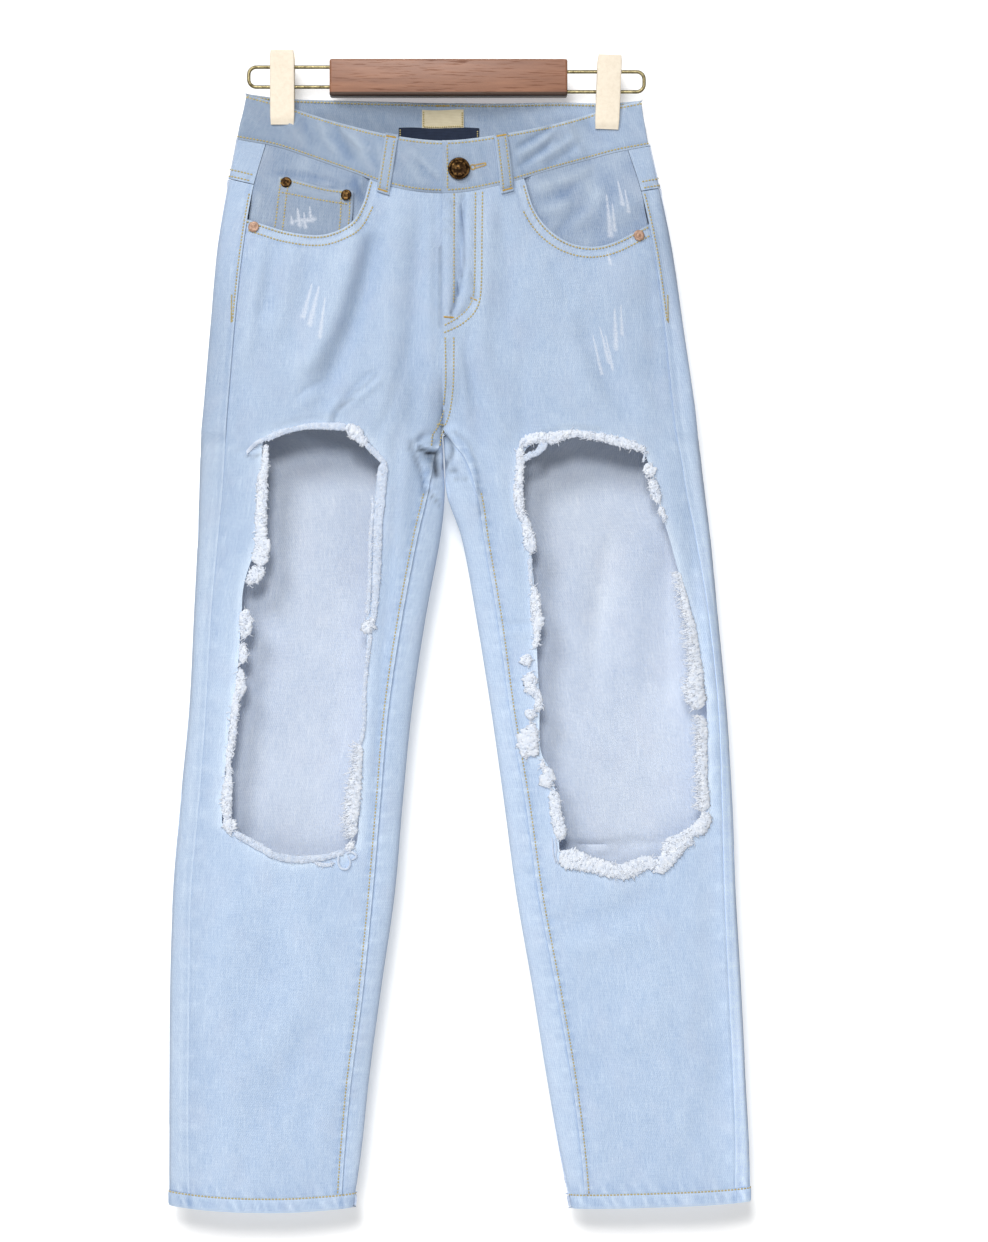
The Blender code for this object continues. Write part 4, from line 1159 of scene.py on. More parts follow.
def draw_grain(graph: Graph, given: dict[str, Socket]) -> dict[str, Socket]:
    """Wood grain that runs along X, with thin pores."""
    place = given["Place"]
    bands = graph.noise(graph.stretch(place, (9.0, 90.0, 90.0)), 1.6, 4.0, 0.6)
    pores = graph.noise(graph.stretch(place, (45.0, 900.0, 900.0)), 1.0, 2.0)
    pores = graph.ramp(pores, 0.56, 0.72)
    share = graph.maths("MULTIPLY_ADD", bands, 1.4, -0.2)
    share = graph.maths("SUBTRACT", share, graph.maths("MULTIPLY", pores, 0.35))
    height = graph.maths("SUBTRACT", graph.maths("MULTIPLY", bands, 0.3), pores)
    return {"Color": graph.blend(share, given["Deep"], given["Pale"]), "Pores": pores, "Height": height}


def draw_tarnish(graph: Graph, given: dict[str, Socket]) -> dict[str, Socket]:
    """Metal with dark patches, worn bright in places."""
    patch = graph.noise(given["Place"], 300.0, 3.0, 0.6)
    fine = graph.noise(given["Place"], 1800.0, 2.0)
    share = graph.maths("ADD", 0.5, graph.sum_of((patch, 2.2), (fine, 0.5)))
    share = graph.maths("MAXIMUM", 0.0, graph.maths("MINIMUM", 1.0, graph.maths("ADD", share, given["Wear"])))
    return {"Color": graph.blend(share, given["Deep"], given["Pale"]), "Share": share, "Height": fine}


def draw_tape(graph: Graph, given: dict[str, Socket]) -> dict[str, Socket]:
    """Close plain weave of a tape."""
    flat = given["Flat"]
    across, along = (
        graph.add("TexWave", {"Vector": flat, "Scale": scale, "Distortion": 0.3}, bands_direction=way)
        .outputs["Fac"] for scale, way in ((330.0, "X"), (240.0, "Y")))
    blotch = graph.noise(graph.stretch(flat, (160.0, 160.0, 1.0)), 1.0, 3.0)
    share = graph.maths("ADD", 0.5, graph.sum_of((across, 0.25), (along, 0.35), (blotch, 0.7)))
    height = graph.sum_of((across, 0.5), (along, 0.5))
    return {"Color": graph.blend(share, given["Deep"], given["Pale"]), "Height": height}


PAINTED = [("Pale", "Color"), ("Deep", "Color")]
TINTED = [("Color", "Color"), ("Height", "Float")]


class Dressing:
    """A material with one Principled shader, and the graph that feeds it."""

    def __init__(self, name: str, **constants: float) -> None:
        """Makes the material, with the shader's own plain values set on it."""
        self.material = bpy.data.materials.new(name)
        self.material.use_nodes = True
        self.graph = Graph(self.material.node_tree)
        self.shader = self.material.node_tree.nodes["Principled BSDF"]
        for label, value in constants.items():
            self.shader.inputs[label.replace("_", " ")].default_value = value

    def feed(self, label: str, output: Socket) -> None:
        """Links an output to one of the shader's inputs."""
        self.material.node_tree.links.new(output, self.shader.inputs[label])

    def relief(self, height: Socket, depth: float) -> None:
        """Gives the surface a fine relief of a depth in metres."""
        inputs = {"Height": height, "Distance": depth, "Strength": 1.0}
        self.feed("Normal", self.graph.add("Bump", inputs).outputs[0])

    def flat(self) -> Socket:
        """Places on the flat cloth, in metres."""
        return self.graph.add("UVMap", uv_map="flat").outputs[0]

    def place(self) -> Socket:
        """Places on the object, in metres."""
        return self.graph.add("TexCoord").outputs["Object"]

    def number(self, name: str) -> Socket:
        """A number stored on the piece."""
        return self.graph.add("Attribute", attribute_name=name).outputs["Fac"]

    def group(self, tree: bpy.types.NodeTree, inputs: dict[str, Value]) -> bpy.types.Node:
        """Places a shared effect with its own values."""
        return self.graph.add("Group", inputs, node_tree=tree)


class Scratch(NamedTuple):
    """A white scratch on the front of the cloth."""

    x0: float
    z0: float
    x1: float
    z1: float
    width: float


SCRATCHES = rows_of(
    Scratch,
    (-116.6, -196, -124.3, -223.6, 1.9), (-110.6, -198.4, -118.3, -229.6, 2.2),
    (-105.2, -208.4, -109.8, -241.2, 1.5), (136.5, -168, 139, -178, 1.2), (142.5, -217, 144, -250, 1.9),
    (148, -214, 149, -238, 1.3), (130, -233, 138, -262, 1.6), (124, -240, 131.5, -272, 1.3),
    (135, -240, 141, -268, 1.2),
)
POCKET_SCRATCHES = rows_of(
    Scratch,
    (136, -118, 139.5, -153, 1.9), (141, -126, 143, -148, 1.5), (146, -106, 150, -126, 1.5),
    (152, -113, 155, -132, 1.3), (-135.0, -137, -134.0, -143, 1.4), (-129.5, -130, -127.5, -144, 1.8),
    (-124.0, -134, -122.5, -146, 1.5), (-119.0, -129, -118.0, -138, 1.3), (-134, -141, -116, -140, 2.0),
)


@dataclass(frozen=True)
class DenimFinish:
    """The bleached denim, on one side of the cloth."""

    name: str
    pale: Colour
    deep: Colour
    contrast: float = 1.0
    scratches: tuple[Scratch, ...] = ()
    scratch_share: float = 0.52
    scratch_tint: Colour = screen(240, 243, 250)
    relief_depth: float = 0.00016

    def material(self) -> bpy.types.Material:
        """Makes the material."""
        cloth = Dressing(self.name, Sheen_Weight=0.08, Sheen_Roughness=0.5, Specular_IOR_Level=0.18)
        weave = cloth.group(denim_effect(), {
            "Flat": cloth.flat(), "Pale": self.pale, "Deep": self.deep, "Contrast": self.contrast,
            "Wear": cloth.number("wear"), "Tone": cloth.number("tone")})
        colour = weave.outputs["Color"]
        if self.scratches:
            colour = self.scratched(cloth, colour)
        cloth.feed("Base Color", colour)
        cloth.feed("Roughness", weave.outputs["Roughness"])
        cloth.relief(weave.outputs["Height"], self.relief_depth)
        return cloth.material

    def scratched(self, cloth: Dressing, colour: Socket) -> Socket:
        """Adds the white scratches.

        Args:
            cloth: The material.
            colour: Its colour without them.

        Returns:
            The colour with them.
        """
        places = [(label, "Vector") for label in ("Place", "Start", "End")]
        tree = effect("scratch", [*places, ("Width", "Float")], [("Mask", "Float")], draw_scratch)
        flat = cloth.graph.add("VectorMath", {0: cloth.place(), 1: (1.0, 0.0, 1.0)}, operation="MULTIPLY")
        total: Value = 0.0
        for mark in self.scratches:
            node = cloth.group(tree, {"Place": flat.outputs[0], "Start": (mark.x0 * MM, 0.0, mark.z0 * MM),
                                      "End": (mark.x1 * MM, 0.0, mark.z1 * MM), "Width": mark.width * MM})
            total = cloth.graph.maths("MAXIMUM", node.outputs["Mask"], total)
        share = cloth.graph.maths("MULTIPLY", total, self.scratch_share)
        return cloth.graph.blend(share, colour, self.scratch_tint)


@dataclass(frozen=True)
class FibreFinish:
    """Cotton threads, loose or sewn."""

    name: str
    pale: Colour
    deep: Colour
    sheen: float = 0.1
    # colour of the painted shade in a pile's crevices, where loft is low
    crevice: Colour | None = None
    relief_depth: float = 0.0002

    def material(self) -> bpy.types.Material:
        """Makes the material, with painted shade in the crevices of a pile."""
        cotton = Dressing(self.name, Roughness=0.9, Sheen_Weight=self.sheen, Specular_IOR_Level=0.15)
        tree = effect("cotton fibre", [("Place", "Vector"), *PAINTED], TINTED, draw_fibre)
        fibre = cotton.group(tree, {"Place": cotton.place(), "Pale": self.pale, "Deep": self.deep})
        colour = fibre.outputs["Color"]
        if self.crevice:
            # Painted shade: the colour darkens toward the crevices of the pile.
            share = cotton.graph.ramp(cotton.number("loft"), 0.10, 0.55, 0.75, 0.0)
            colour = cotton.graph.blend(share, colour, self.crevice)
        cotton.feed("Base Color", colour)
        cotton.relief(fibre.outputs["Height"], self.relief_depth)
        return cotton.material


@dataclass(frozen=True)
class TapeFinish:
    """Woven tape."""

    name: str
    pale: Colour
    deep: Colour
    relief_depth: float = 0.0001

    def material(self) -> bpy.types.Material:
        """Makes the material."""
        tape = Dressing(self.name, Roughness=0.75, Sheen_Weight=0.1, Specular_IOR_Level=0.25)
        tree = effect("tape weave", [("Flat", "Vector"), *PAINTED], TINTED, draw_tape)
        weave = tape.group(tree, {"Flat": tape.flat(), "Pale": self.pale, "Deep": self.deep})
        tape.feed("Base Color", weave.outputs["Color"])
        tape.relief(weave.outputs["Height"], self.relief_depth)
        return tape.material


@dataclass(frozen=True)
class MetalFinish:
    """Bare, plated or tarnished metal."""

    name: str
    pale: Colour
    deep: Colour
    smooth: float
    dull: float
    metallic: float = 1.0
    wear: float = 0.0
    relief_depth: float = 0.00004

    def material(self) -> bpy.types.Material:
        """Makes the material."""
        metal = Dressing(self.name, Metallic=self.metallic)
        tree = effect("metal tarnish", [("Place", "Vector"), ("Wear", "Float"), *PAINTED],
                      [("Color", "Color"), ("Share", "Float"), ("Height", "Float")], draw_tarnish)
        skin = metal.group(tree, {"Place": metal.place(), "Wear": self.wear, "Pale": self.pale,
                                  "Deep": self.deep})
        metal.feed("Base Color", skin.outputs["Color"])
        metal.feed("Roughness", metal.graph.ramp(skin.outputs["Share"], 0.0, 1.0, self.dull, self.smooth))
        metal.relief(skin.outputs["Height"], self.relief_depth)
        return metal.material


@dataclass(frozen=True)
class WoodFinish:
    """Stained, waxed wood, with painted shade along the underside."""

    name: str
    pale: Colour
    deep: Colour
    # the colour, height and soft width of the painted shade along the bar's underside
    under: Colour
    under_z: float
    under_soft: float
    relief_depth: float = 0.00008

    def material(self) -> bpy.types.Material:
        """Makes the material."""
        wood = Dressing(self.name, Coat_Weight=0.08, Coat_Roughness=0.35)
        tree = effect("wood grain", [("Place", "Vector"), *PAINTED],
                      [("Color", "Color"), ("Pores", "Float"), ("Height", "Float")], draw_grain)
        place = wood.place()
        grain = wood.group(tree, {"Place": place, "Pale": self.pale, "Deep": self.deep})
        height = wood.graph.add("SeparateXYZ", {0: place}).outputs["Z"]
        # Painted shade: the wood turns to the under colour below a height near the bar's foot, where its
        # underside is in shadow.
        foot, head = self.under_z - self.under_soft, self.under_z + self.under_soft
        low = wood.graph.ramp(height, foot * MM, head * MM, 1.0, 0.0)
        wood.feed("Base Color", wood.graph.blend(low, grain.outputs["Color"], self.under))
        wood.feed("Roughness", wood.graph.ramp(grain.outputs["Pores"], 0.0, 1.0, 0.42, 0.7))
        wood.relief(grain.outputs["Height"], self.relief_depth)
        return wood.material


PALE, DEEP = screen(221, 237, 255), screen(144, 171, 209)
DENIM_OUT = DenimFinish("denim", PALE, DEEP)
DENIM_IN = DenimFinish("denim reverse", screen(232, 240, 252), screen(176, 192, 218), 1.25)
FACING_DENIM = DenimFinish("denim facing", PALE, screen(141, 166, 204), 1.15, POCKET_SCRATCHES)
FRONT_DENIM = DenimFinish("denim front", PALE, DEEP, 1.0, SCRATCHES)
FRAY = FibreFinish("fray", screen(252, 253, 255), screen(218, 227, 242))
# The last colour of the torn cotton and of the rolled edge is the painted shade in their crevices.
TORN_COTTON = FibreFinish("torn cotton", screen(250, 252, 255), screen(208, 220, 239), 0.1,
                          screen(112, 132, 162))
ROLLED_EDGE = FibreFinish("rolled edge", screen(232, 239, 250), screen(180, 197, 222), 0.1,
                          screen(124, 142, 172))
KHAKI = FibreFinish("khaki thread", screen(214, 198, 142), screen(170, 152, 102), 0.1)
GOLD = FibreFinish("gold thread", screen(226, 188, 88), screen(176, 140, 60), 0.15)
CREAM = TapeFinish("cream tape", screen(236, 226, 196), screen(204, 190, 156))
NAVY = TapeFinish("navy tape", screen(46, 58, 82), screen(22, 30, 48))
ZIP_TAPE = TapeFinish("zip tape", screen(90, 104, 130), screen(60, 72, 96))
DARK_BRASS = MetalFinish("dark brass", screen(168, 128, 76), screen(46, 32, 20), 0.34, 0.5, 1.0, -0.42)
COPPER = MetalFinish("light copper", screen(206, 170, 146), screen(140, 106, 86), 0.5, 0.62, 0.25, 0.0)
WIRE = MetalFinish("wire", screen(172, 160, 120), screen(84, 74, 50), 0.32, 0.42)
CLIP = MetalFinish("clip gold", screen(240, 228, 208), screen(230, 216, 194), 0.42, 0.48, 0.1, 0.2)
# The third colour and the two numbers after it are the painted shade along the bar's underside.
WOOD = WoodFinish("wood", screen(170, 118, 88), screen(114, 70, 48), screen(58, 34, 16), -28.6, 0.7)
FINISHES = {finish.name: finish.material() for finish in (
    DENIM_OUT, DENIM_IN, FACING_DENIM, FRONT_DENIM, FRAY, TORN_COTTON, ROLLED_EDGE, KHAKI, GOLD, CREAM, NAVY,
    ZIP_TAPE, DARK_BRASS, COPPER, WIRE, CLIP, WOOD)}


# ======================================================================= seams and their effect

LAP = 3.0                     # how far one panel runs on under the next

MOUTH_POINTS = {
    Side.RIGHT: ((-66, -104), (-68.2, -112), (-73.1, -127.7), (-83, -144.2), (-99.5, -152.1),
                 (-115.8, -153.8), (-138.9, -150.4), (-167.5, -141), (-178, -137)),
    Side.LEFT: ((64, -104), (66.5, -112), (72.6, -130.7), (84.1, -147.4), (100.5, -159),
                (120.2, -163.8), (139.8, -160.5), (162.5, -149.1), (176, -141)),
}
HOLE_POINTS = {
    Side.RIGHT: (
        (-159.5, -333), (-150, -326.5), (-135, -321.6), (-107, -318.5), (-84, -322.0), (-68, -331),
        (-58, -345), (-60.5, -356), (-63, -381), (-65, -423), (-69.5, -470), (-70, -505), (-72, -543),
        (-74.7, -614), (-77.7, -668), (-82, -679.5), (-93.5, -686), (-121.7, -691.5), (-141, -689),
        (-164.6, -676.6), (-182.7, -664), (-193.5, -659), (-194.5, -652), (-192, -620), (-187, -569),
        (-182, -543), (-178, -486), (-175, -451), (-163, -415), (-159.4, -389), (-159, -360)),
    Side.LEFT: (
        (63, -345), (69, -334.5), (84, -329), (104, -324), (128, -326), (152, -332), (169, -342),
        (177, -374), (185, -398), (196, -436), (209, -485), (214, -517), (221.5, -551), (223, -619),
        (222, -650), (213, -665), (196, -680), (179, -692), (142, -697.5), (120, -694), (99, -687),
        (95, -676), (98, -658), (94, -639), (87, -612), (79, -594), (78, -552), (76, -509), (74, -461),
        (70, -419), (60.5, -384), (60, -360)),
}


@dataclass
class Mouth:
    """The scooped edge of a front pocket."""

    side: Side
    route: Array = field(init=False)

    def __post_init__(self) -> None:
        """Draws the edge as close points, from the fly outwards."""
        self.route = even_path(smooth_path(MOUTH_POINTS[self.side], 160), 0.8)

    def ring(self) -> Array:
        """The outline of what is cut from the front panel."""
        far = self.side.sign * 260.0
        corners = np.array([(far, self.route[-1, 1]), (far, 0.0), (self.route[0, 0], 0.0)])
        return np.concatenate([self.route, corners])

    def height(self, x: Array) -> Array:
        """Height of the edge at some places across."""
        order = np.argsort(self.route[:, 0])
        return np.interp(x, self.route[order, 0], self.route[order, 1])

    def away(self, x: Array, z: Array) -> Array:
        """Distance from the edge."""
        return nearest_on(x, z, self.route)[1]

    def below(self, distance: float) -> Array:
        """The route a distance below the edge, on the front panel."""
        return side_step(self.route, -self.side.sign * distance)


@dataclass
class Hole:
    """The outline of a ripped hole, clockwise from the front."""

    side: Side
    ring: Array = field(init=False)

    def __post_init__(self) -> None:
        """Draws the outline as close points."""
        dense = smooth_path(HOLE_POINTS[self.side], 900, closed=True)
        self.ring = even_path(np.concatenate([dense, dense[:1]]), 1.0)[:-1]


MOUTHS = {side: Mouth(side) for side in Side}
HOLES = {side: Hole(side) for side in Side}
BAND_CREASES = creases(
    FRONT,
    (-112, -52, -96, -82, 1, 0.9, 3.6), (-98, -58, -80, -90, 1, -0.8, 3.4),
    (-82, -64, -64, -98, 1, 0.8, 3.6), (-70, -72, -60, -100, 0, -0.6, 3.0),
    (-126, -50, -118, -76, 0, -0.7, 3.4), (60, -79, 92, -57, 1, -1.0, 2.6),
    (-142, -44, -124, -74, 2, 0.8, 4.0), (-104, -66, -84, -92, -2, -0.9, 3.0),
    (-92, -60, -66, -82, 2, 0.9, 3.0), (-60, -76, -48, -104, 1, 0.8, 3.0),
    (-30, -84, -4, -106, 1, 0.7, 3.0), (-26, -92, -8, -112, 1, -0.7, 2.6),
    (118, -50, 138, -72, 1, -0.7, 3.6), (100, -52, 116, -84, 1, 0.7, 4.0), (60, -86, 88, -66, 1, 0.8, 3.0),
    (60, -96, 88, -74, 1, -0.9, 2.6), (74, -91, 106, -69, 1, 0.8, 3.0), (84, -94, 112, -74, 1, -0.6, 2.6),
    (-36, -80, -20, -112, 1, 0.5, 5), (28, -78, 34, -110, 0, -0.4, 4),
)
FACING_CREASES = creases(
    FRONT,
    (78, -112, 122, -94, 2, 1.2, 5), (80, -124, 112, -108, 2, -1.0, 4.5),
    (80, -134, 104, -126, 1, 0.9, 4.5), (94, -152, 118, -128, -2, -1.1, 5),
    (110, -146, 132, -112, 2, 0.9, 6), (128, -150, 140, -110, 2, -0.6, 5),
    (-82, -104, -68, -128, 2, -1.6, 4), (-76, -108, -70, -124, 1, 0.8, 3),
    (-150, -98, -96, -108, -2, -1.2, 3), (-160, -112, -168, -138, 1, 0.7, 5),
    (-104, -112, -84, -110, 1, -0.9, 3),
)


class Fold(NamedTuple):
    """A pressed fold or a crumple: its line, width, height over the cloth and change of tone, which is
    painted shade where it is negative and painted highlight where it is positive.
    """

    spots: tuple[Spot, ...]
    width: float
    height: float
    # painted shade where negative, painted highlight where positive
    tone: float


FOLDS = rows_of(
    Fold,
    # The crumple's dark tones paint the shade in its gaps.
    # the crumple at the crotch
    (((-25, -336), (-19, -338.6), (-13, -339.4), (-8.5, -338.6)), 1.6, -1.6, -0.62),
    (((-16.5, -342), (-12.5, -346), (-10.5, -352), (-9.0, -357)), 4.4, -2.6, -0.44),
    (((-9.5, -341), (-8.8, -349), (-8.2, -357)), 2.3, -2.4, -0.30),
    (((-28.5, -334), (-25, -344), (-20.5, -354), (-17.5, -372)), 1.9, 1.4, 0.06),
    (((-32.5, -330), (-30, -340), (-25, -352), (-21.5, -364), (-20.5, -378)), 2.0, -1.1, -0.22),
    (((-26, -332.5), (-19, -335.2), (-9, -335.4)), 1.5, 1.3, 0.12),
    (((-22, -324), (-27, -330), (-34, -337)), 1.8, -0.9, -0.14),
    (((-19, -371), (-14, -377), (-7.5, -384)), 1.1, -1.2, -0.32),
    (((-17, -368), (-11, -374), (-6, -379)), 1.6, 1.0, 0.10),
    (((-3.5, -320), (4.1, -318.4), (13.4, -326.9), (18.3, -338.9), (21.9, -358.8), (24, -383)), 2.2, 1.4,
     0.10),
    (((6, -322), (15.5, -330), (21, -343), (25.5, -362), (28, -392)), 1.9, -1.1, -0.22),
    (((-2.4, -326), (2.4, -333), (2.2, -341), (-1.8, -348)), 2.2, -1.5, -0.36),
    (((0, -322), (6.5, -329), (8, -339), (5, -348)), 2.4, 1.0, 0.08),
    (((-3.7, -351), (1, -354), (6.6, -355.5)), 1.4, -0.9, -0.32),
    (((6, -362), (10, -363.4), (15, -362.6)), 1.1, -0.7, -0.18),
    (((-6.4, -338), (-5.2, -352), (-2.0, -366), (0.6, -380)), 0.9, 0.5, 0.16),
    # beside the holes and on the thighs
    (((-99.5, -314), (-97, -306), (-91, -299.5), (-82, -294)), 2.0, -1.4, -0.20),
    (((-104, -312), (-101, -303), (-95, -295)), 3.0, 1.3, 0.05),
    (((-173, -341.5), (-168, -343.5), (-162, -342)), 1.4, -1.2, -0.30),
    (((61, -330), (84, -322), (104, -318), (128, -319.5)), 2.6, 0.6, -0.10),
    (((-150, -318), (-120, -309.5), (-95, -309.5)), 2.4, -0.5, -0.05),
    # the fly
    (((13, -121), (12.4, -148), (13.6, -172), (8.5, -200), (3.5, -221)), 1.5, -1.2, -0.22),
    (((16.5, -122), (16.2, -150), (16.6, -180), (12, -206)), 2.6, 0.9, 0.03),
    (((20, -188), (22, -201), (19, -212), (10, -222)), 1.6, -0.9, -0.20),
    (((-6.4, -165), (-6.4, -190), (-6.4, -232)), 1.4, -0.9, -0.26),
    (((-3, -122), (1, -125), (4, -129)), 1.0, -0.4, -0.12),
    (((-3, -131), (1, -134), (4, -138)), 1.0, -0.4, -0.10),
    (((-3, -140), (1, -143), (4, -147)), 1.0, -0.4, -0.12),
    (((-3, -149), (1, -152), (4, -156)), 1.0, -0.4, -0.10),
    (((5, -128), (9, -131), (12, -136)), 1.1, -0.4, -0.10),
    (((5, -182), (9, -188), (12, -190)), 1.2, -0.5, -0.10),
    (((7.6, -245), (8.6, -278), (7, -296)), 1.5, -0.5, -0.08),
    (((1, -244), (1.2, -278), (-2.5, -304)), 1.4, -0.4, -0.08),
    # the right hip
    (((-66, -161), (-77, -201), (-86, -232), (-97, -252), (-110, -278)), 7.5, -1.6, -0.07),
    (((-78, -160), (-90, -204), (-102, -236), (-118, -262)), 8.0, 1.4, 0.03),
    (((-62, -273), (-72, -283), (-84, -290), (-92, -300)), 2.2, -1.2, -0.14),
    (((-60, -279), (-72, -290), (-82, -297)), 3.0, 1.2, 0.05),
)


def folded(x: Array, z: Array) -> tuple[Array, Array]:
    """Height, and the painted shade and highlights, of the pressed folds at some places in front."""
    height, tone = np.zeros(np.shape(x)), np.zeros(np.shape(x))
    for fold in FOLDS:
        route = even_path(smooth_path(fold.spots, 8 * len(fold.spots)), 0.7)
        low, high = route.min(axis=0) - 9.0, route.max(axis=0) + 9.0
        near = (x > low[0]) & (x < high[0]) & (z > low[1]) & (z < high[1])
        if near.any():
            hill = bump(nearest_on(x[near], z[near], route)[1], fold.width)
            height[near] += fold.height * hill
            # The painted shade and highlights of the fold.
            tone[near] += fold.tone * hill
    return height, tone


def seam_away(side: Side, column: str, x: Array, z: Array) -> Array:
    """Distance across from one of a leg's seams."""
    return np.abs(x - FORM.leg(side, column, z))


def seam_past(side: Side, column: str, x: Array, z: Array) -> Array:
    """Distance outward across from one of a leg's seams, negative toward the other leg."""
    return (x - FORM.leg(side, column, z)) * side.sign


def hem_away(side: Side, x: Array, z: Array) -> Array:
    """Distance above the top of a turned hem."""
    return z - FORM.hem_line(side, x) - FORM.hem_deep


def slanting(x: Array, z: Array, sway: float = 0.0, length: float = 1.0) -> Array:
    """Distance along a hem as its ropes count it, because they slant and sway."""
    return x + 0.5 * z + sway * np.sin(x / length)


def front_lift(side: Side) -> Lift:
    """How a front panel stands off the form along its seams and its pocket edge."""
    mouth, hole = MOUTHS[side], HOLES[side]

    def lift(laid: Laid) -> Array:
        """Lifts the folded inseam and mouth, and sinks the side under the back panel."""
        x, z = laid.x, laid.z
        below = FORM.below_crotch(z)
        outer, inner = seam_away(side, "side", x, z), seam_away(side, "inseam", x, z)
        mouth_away, hole_away = mouth.away(x, z), nearest_on(x, z, hole.ring)[1]
        under_fly = ease((FORM.fly_z - z) / 14.0)
        fly, lap = mix(1.1, 0.2, under_fly), mix(-1.2, -0.3, under_fly)
        hem_ropes = pulses(slanting(x, z, 4.0, 17.0), 12.0, 2.0)
        total = -1.2 * ease((seam_past(side, "side", x, z) + 1.6) / 2.4)
        total += 0.35 * bump(outer - 5, 5.0) * (pulses(z, 21.0) - 0.4)
        total += below * (0.9 * bump(inner, 4.2) - 0.35 * bump(inner - 3.6, 1.4))
        total += below * 0.45 * bump(inner - 1.5, 6.0) * (pulses(z, 15.0, 2.0) - 0.45)
        total += below * 0.25 * bump(inner - 3, 4.0) * (pulses(z, 6.0, 1.5) - 0.45)
        total += (1.0 - below) * (fly * bump(inner, 7.0) if side is Side.LEFT
                                  else lap * ease((1.6 - seam_past(side, "inseam", x, z)) / 2.4))
        total += 0.9 * bump(mouth_away, 5.5) - 0.5 * bump(mouth_away - 5.5, 2.4)
        total += 0.35 * bump(mouth_away - 4, 5.0) * (pulses(x + z, 9.0, 2.0) - 0.4)
        total += 0.38 * bump(hem_away(side, x, z) - 4, 7.0) * (hem_ropes - 0.4)
        total += 0.5 * bump(hole_away, 4.0) * np.sin(z / 5.0 + x / 7.0)
        return total + folded(x, z)[0]
    return lift


def front_wear_and_shade(side: Side) -> Callable[[Laid], Array]:
    """Where a front panel is worn pale or kept darker, and where shade is painted on it."""
    mouth, hole = MOUTHS[side], HOLES[side]

    def wear(laid: Laid) -> Array:
        """Worn pale on folded edges and roped beside seams, with ridges paler and troughs darker as partly
        fade and partly painted shade, darker beside the inseam, and painted shadow lines beside the side seam
        and the mouth's stitches.
        """
        x, z = laid.x, laid.z
        below = FORM.below_crotch(z)
        outer, inner = seam_away(side, "side", x, z), seam_away(side, "inseam", x, z)
        mouth_away, hole_away = mouth.away(x, z), nearest_on(x, z, hole.ring)[1]
        hem_ropes = pulses(slanting(x, z, 4.0, 17.0), 12.0, 2.0)
        # Ridges paler and troughs darker: partly the fade of worn folds, partly painted shade.
        total = 0.022 * np.clip(FORM.relief(FRONT, x, z), -5.0, 5.0)
        # A painted shadow line where the back panel's edge laps over the side seam, and roping beside it.
        total += -0.10 * bump(outer, 1.4) + 0.08 * bump(outer - 5, 4.0) * (2.0 * pulses(z, 21.0) - 0.7)
        total += below * (0.25 * bump(inner, 1.5) - 0.10 * bump(inner - 5.5, 2.2))
        total += below * 0.18 * bump(inner - 3, 5.0) * (2.0 * pulses(z, 9.0, 1.5) - 0.9)
        total += 0.16 * bump(mouth_away, 1.4) + 0.10 * bump(mouth_away - 5.5, 2.2)
        # Painted shadow lines in the sewn channels beside the mouth's stitches.
        total -= 0.22 * (bump(mouth_away - 2.9, 0.8) + bump(mouth_away - 10.0, 1.0))
        total += 0.16 * bump(hem_away(side, x, z) - 3, 6.0) * (2.0 * hem_ropes - 0.9)
        total += 0.35 * bump(hole_away, 4.5) + 0.10 * bump(hole_away, 14.0)
        return total
    return wear


def panel_tone_and_shade(laid: Laid) -> Array:
    """The slow change of the fade, a little deeper toward the waist, with painted light on the outer fold
    that turns away from the lamps, painted shade on the one that faces them, and the folds' painted shade and
    highlights.
    """
    low, high = FORM.hip_span(laid.z)
    across = (2.0 * laid.x - low - high) / (high - low)
    # Painted light on the wearer's left outer fold, which turns away from the lamps, and painted shade on the
    # right one, which faces them, below the hips.
    painted_light_left_rim, painted_shade_right_rim = ease((across - 0.86) / 0.14), ease((-across - 0.82) / 0.18)
    rim = np.where(laid.front, 0.24 * painted_light_left_rim - 0.09 * painted_shade_right_rim, 0.0) * ease((-150.0 - laid.z) / 90.0)
    # The folds' painted shade and highlights.
    folds = np.where(laid.front, folded(laid.x, laid.z)[1], 0.0)
    return rim + folds - 0.12 * ease((laid.z + 560.0) / 260.0)


def even_tone(tone: float) -> Callable[[Laid], Array]:
    """One tone all over a sheet."""
    return lambda laid: np.full(laid.x.shape, tone)


def back_lift(side: Side) -> Lift:
    """How a back panel stands off the form: over the front at the side, under it at the inseam."""

    def lift(laid: Laid) -> Array:
        """Lifts the strip beside the side seam, and fells the seat seam."""
        x, z = laid.x, laid.z
        below = FORM.below_crotch(z)
        outer, inner = seam_away(side, "side", x, z), seam_away(side, "inseam", x, z)
        in_front = laid.front.astype(float)
        total = in_front * (0.6 * bump(outer, 3.5) + 0.25 * bump(outer - 4, 5.0) * (pulses(z, 21.0) - 0.4))
        total += in_front * below * -1.2 * ease((seam_past(side, "inseam", x, z) + 1.6) / 2.4)
        total += in_front * below * 0.5 * bump(inner - 3, 5.0) * (pulses(z, 15.0, 2.0, 1.0) - 0.4)
        seat, felled = np.abs(x - CENTRE_X), 0.8 if side is Side.LEFT else -0.3
        total += (1.0 - in_front) * (1.0 - below) * felled * bump(seat, 6.0)
        total += (1.0 - in_front) * -0.4 * bump(FORM.yoke_line(x) - z, 4.0)
        total += 0.4 * bump(hem_away(side, x, z) - 4, 7.0) * (pulses(slanting(x, z), 12.0, 2.0) - 0.4)
        return total + in_front * folded(x, z)[0]
    return lift


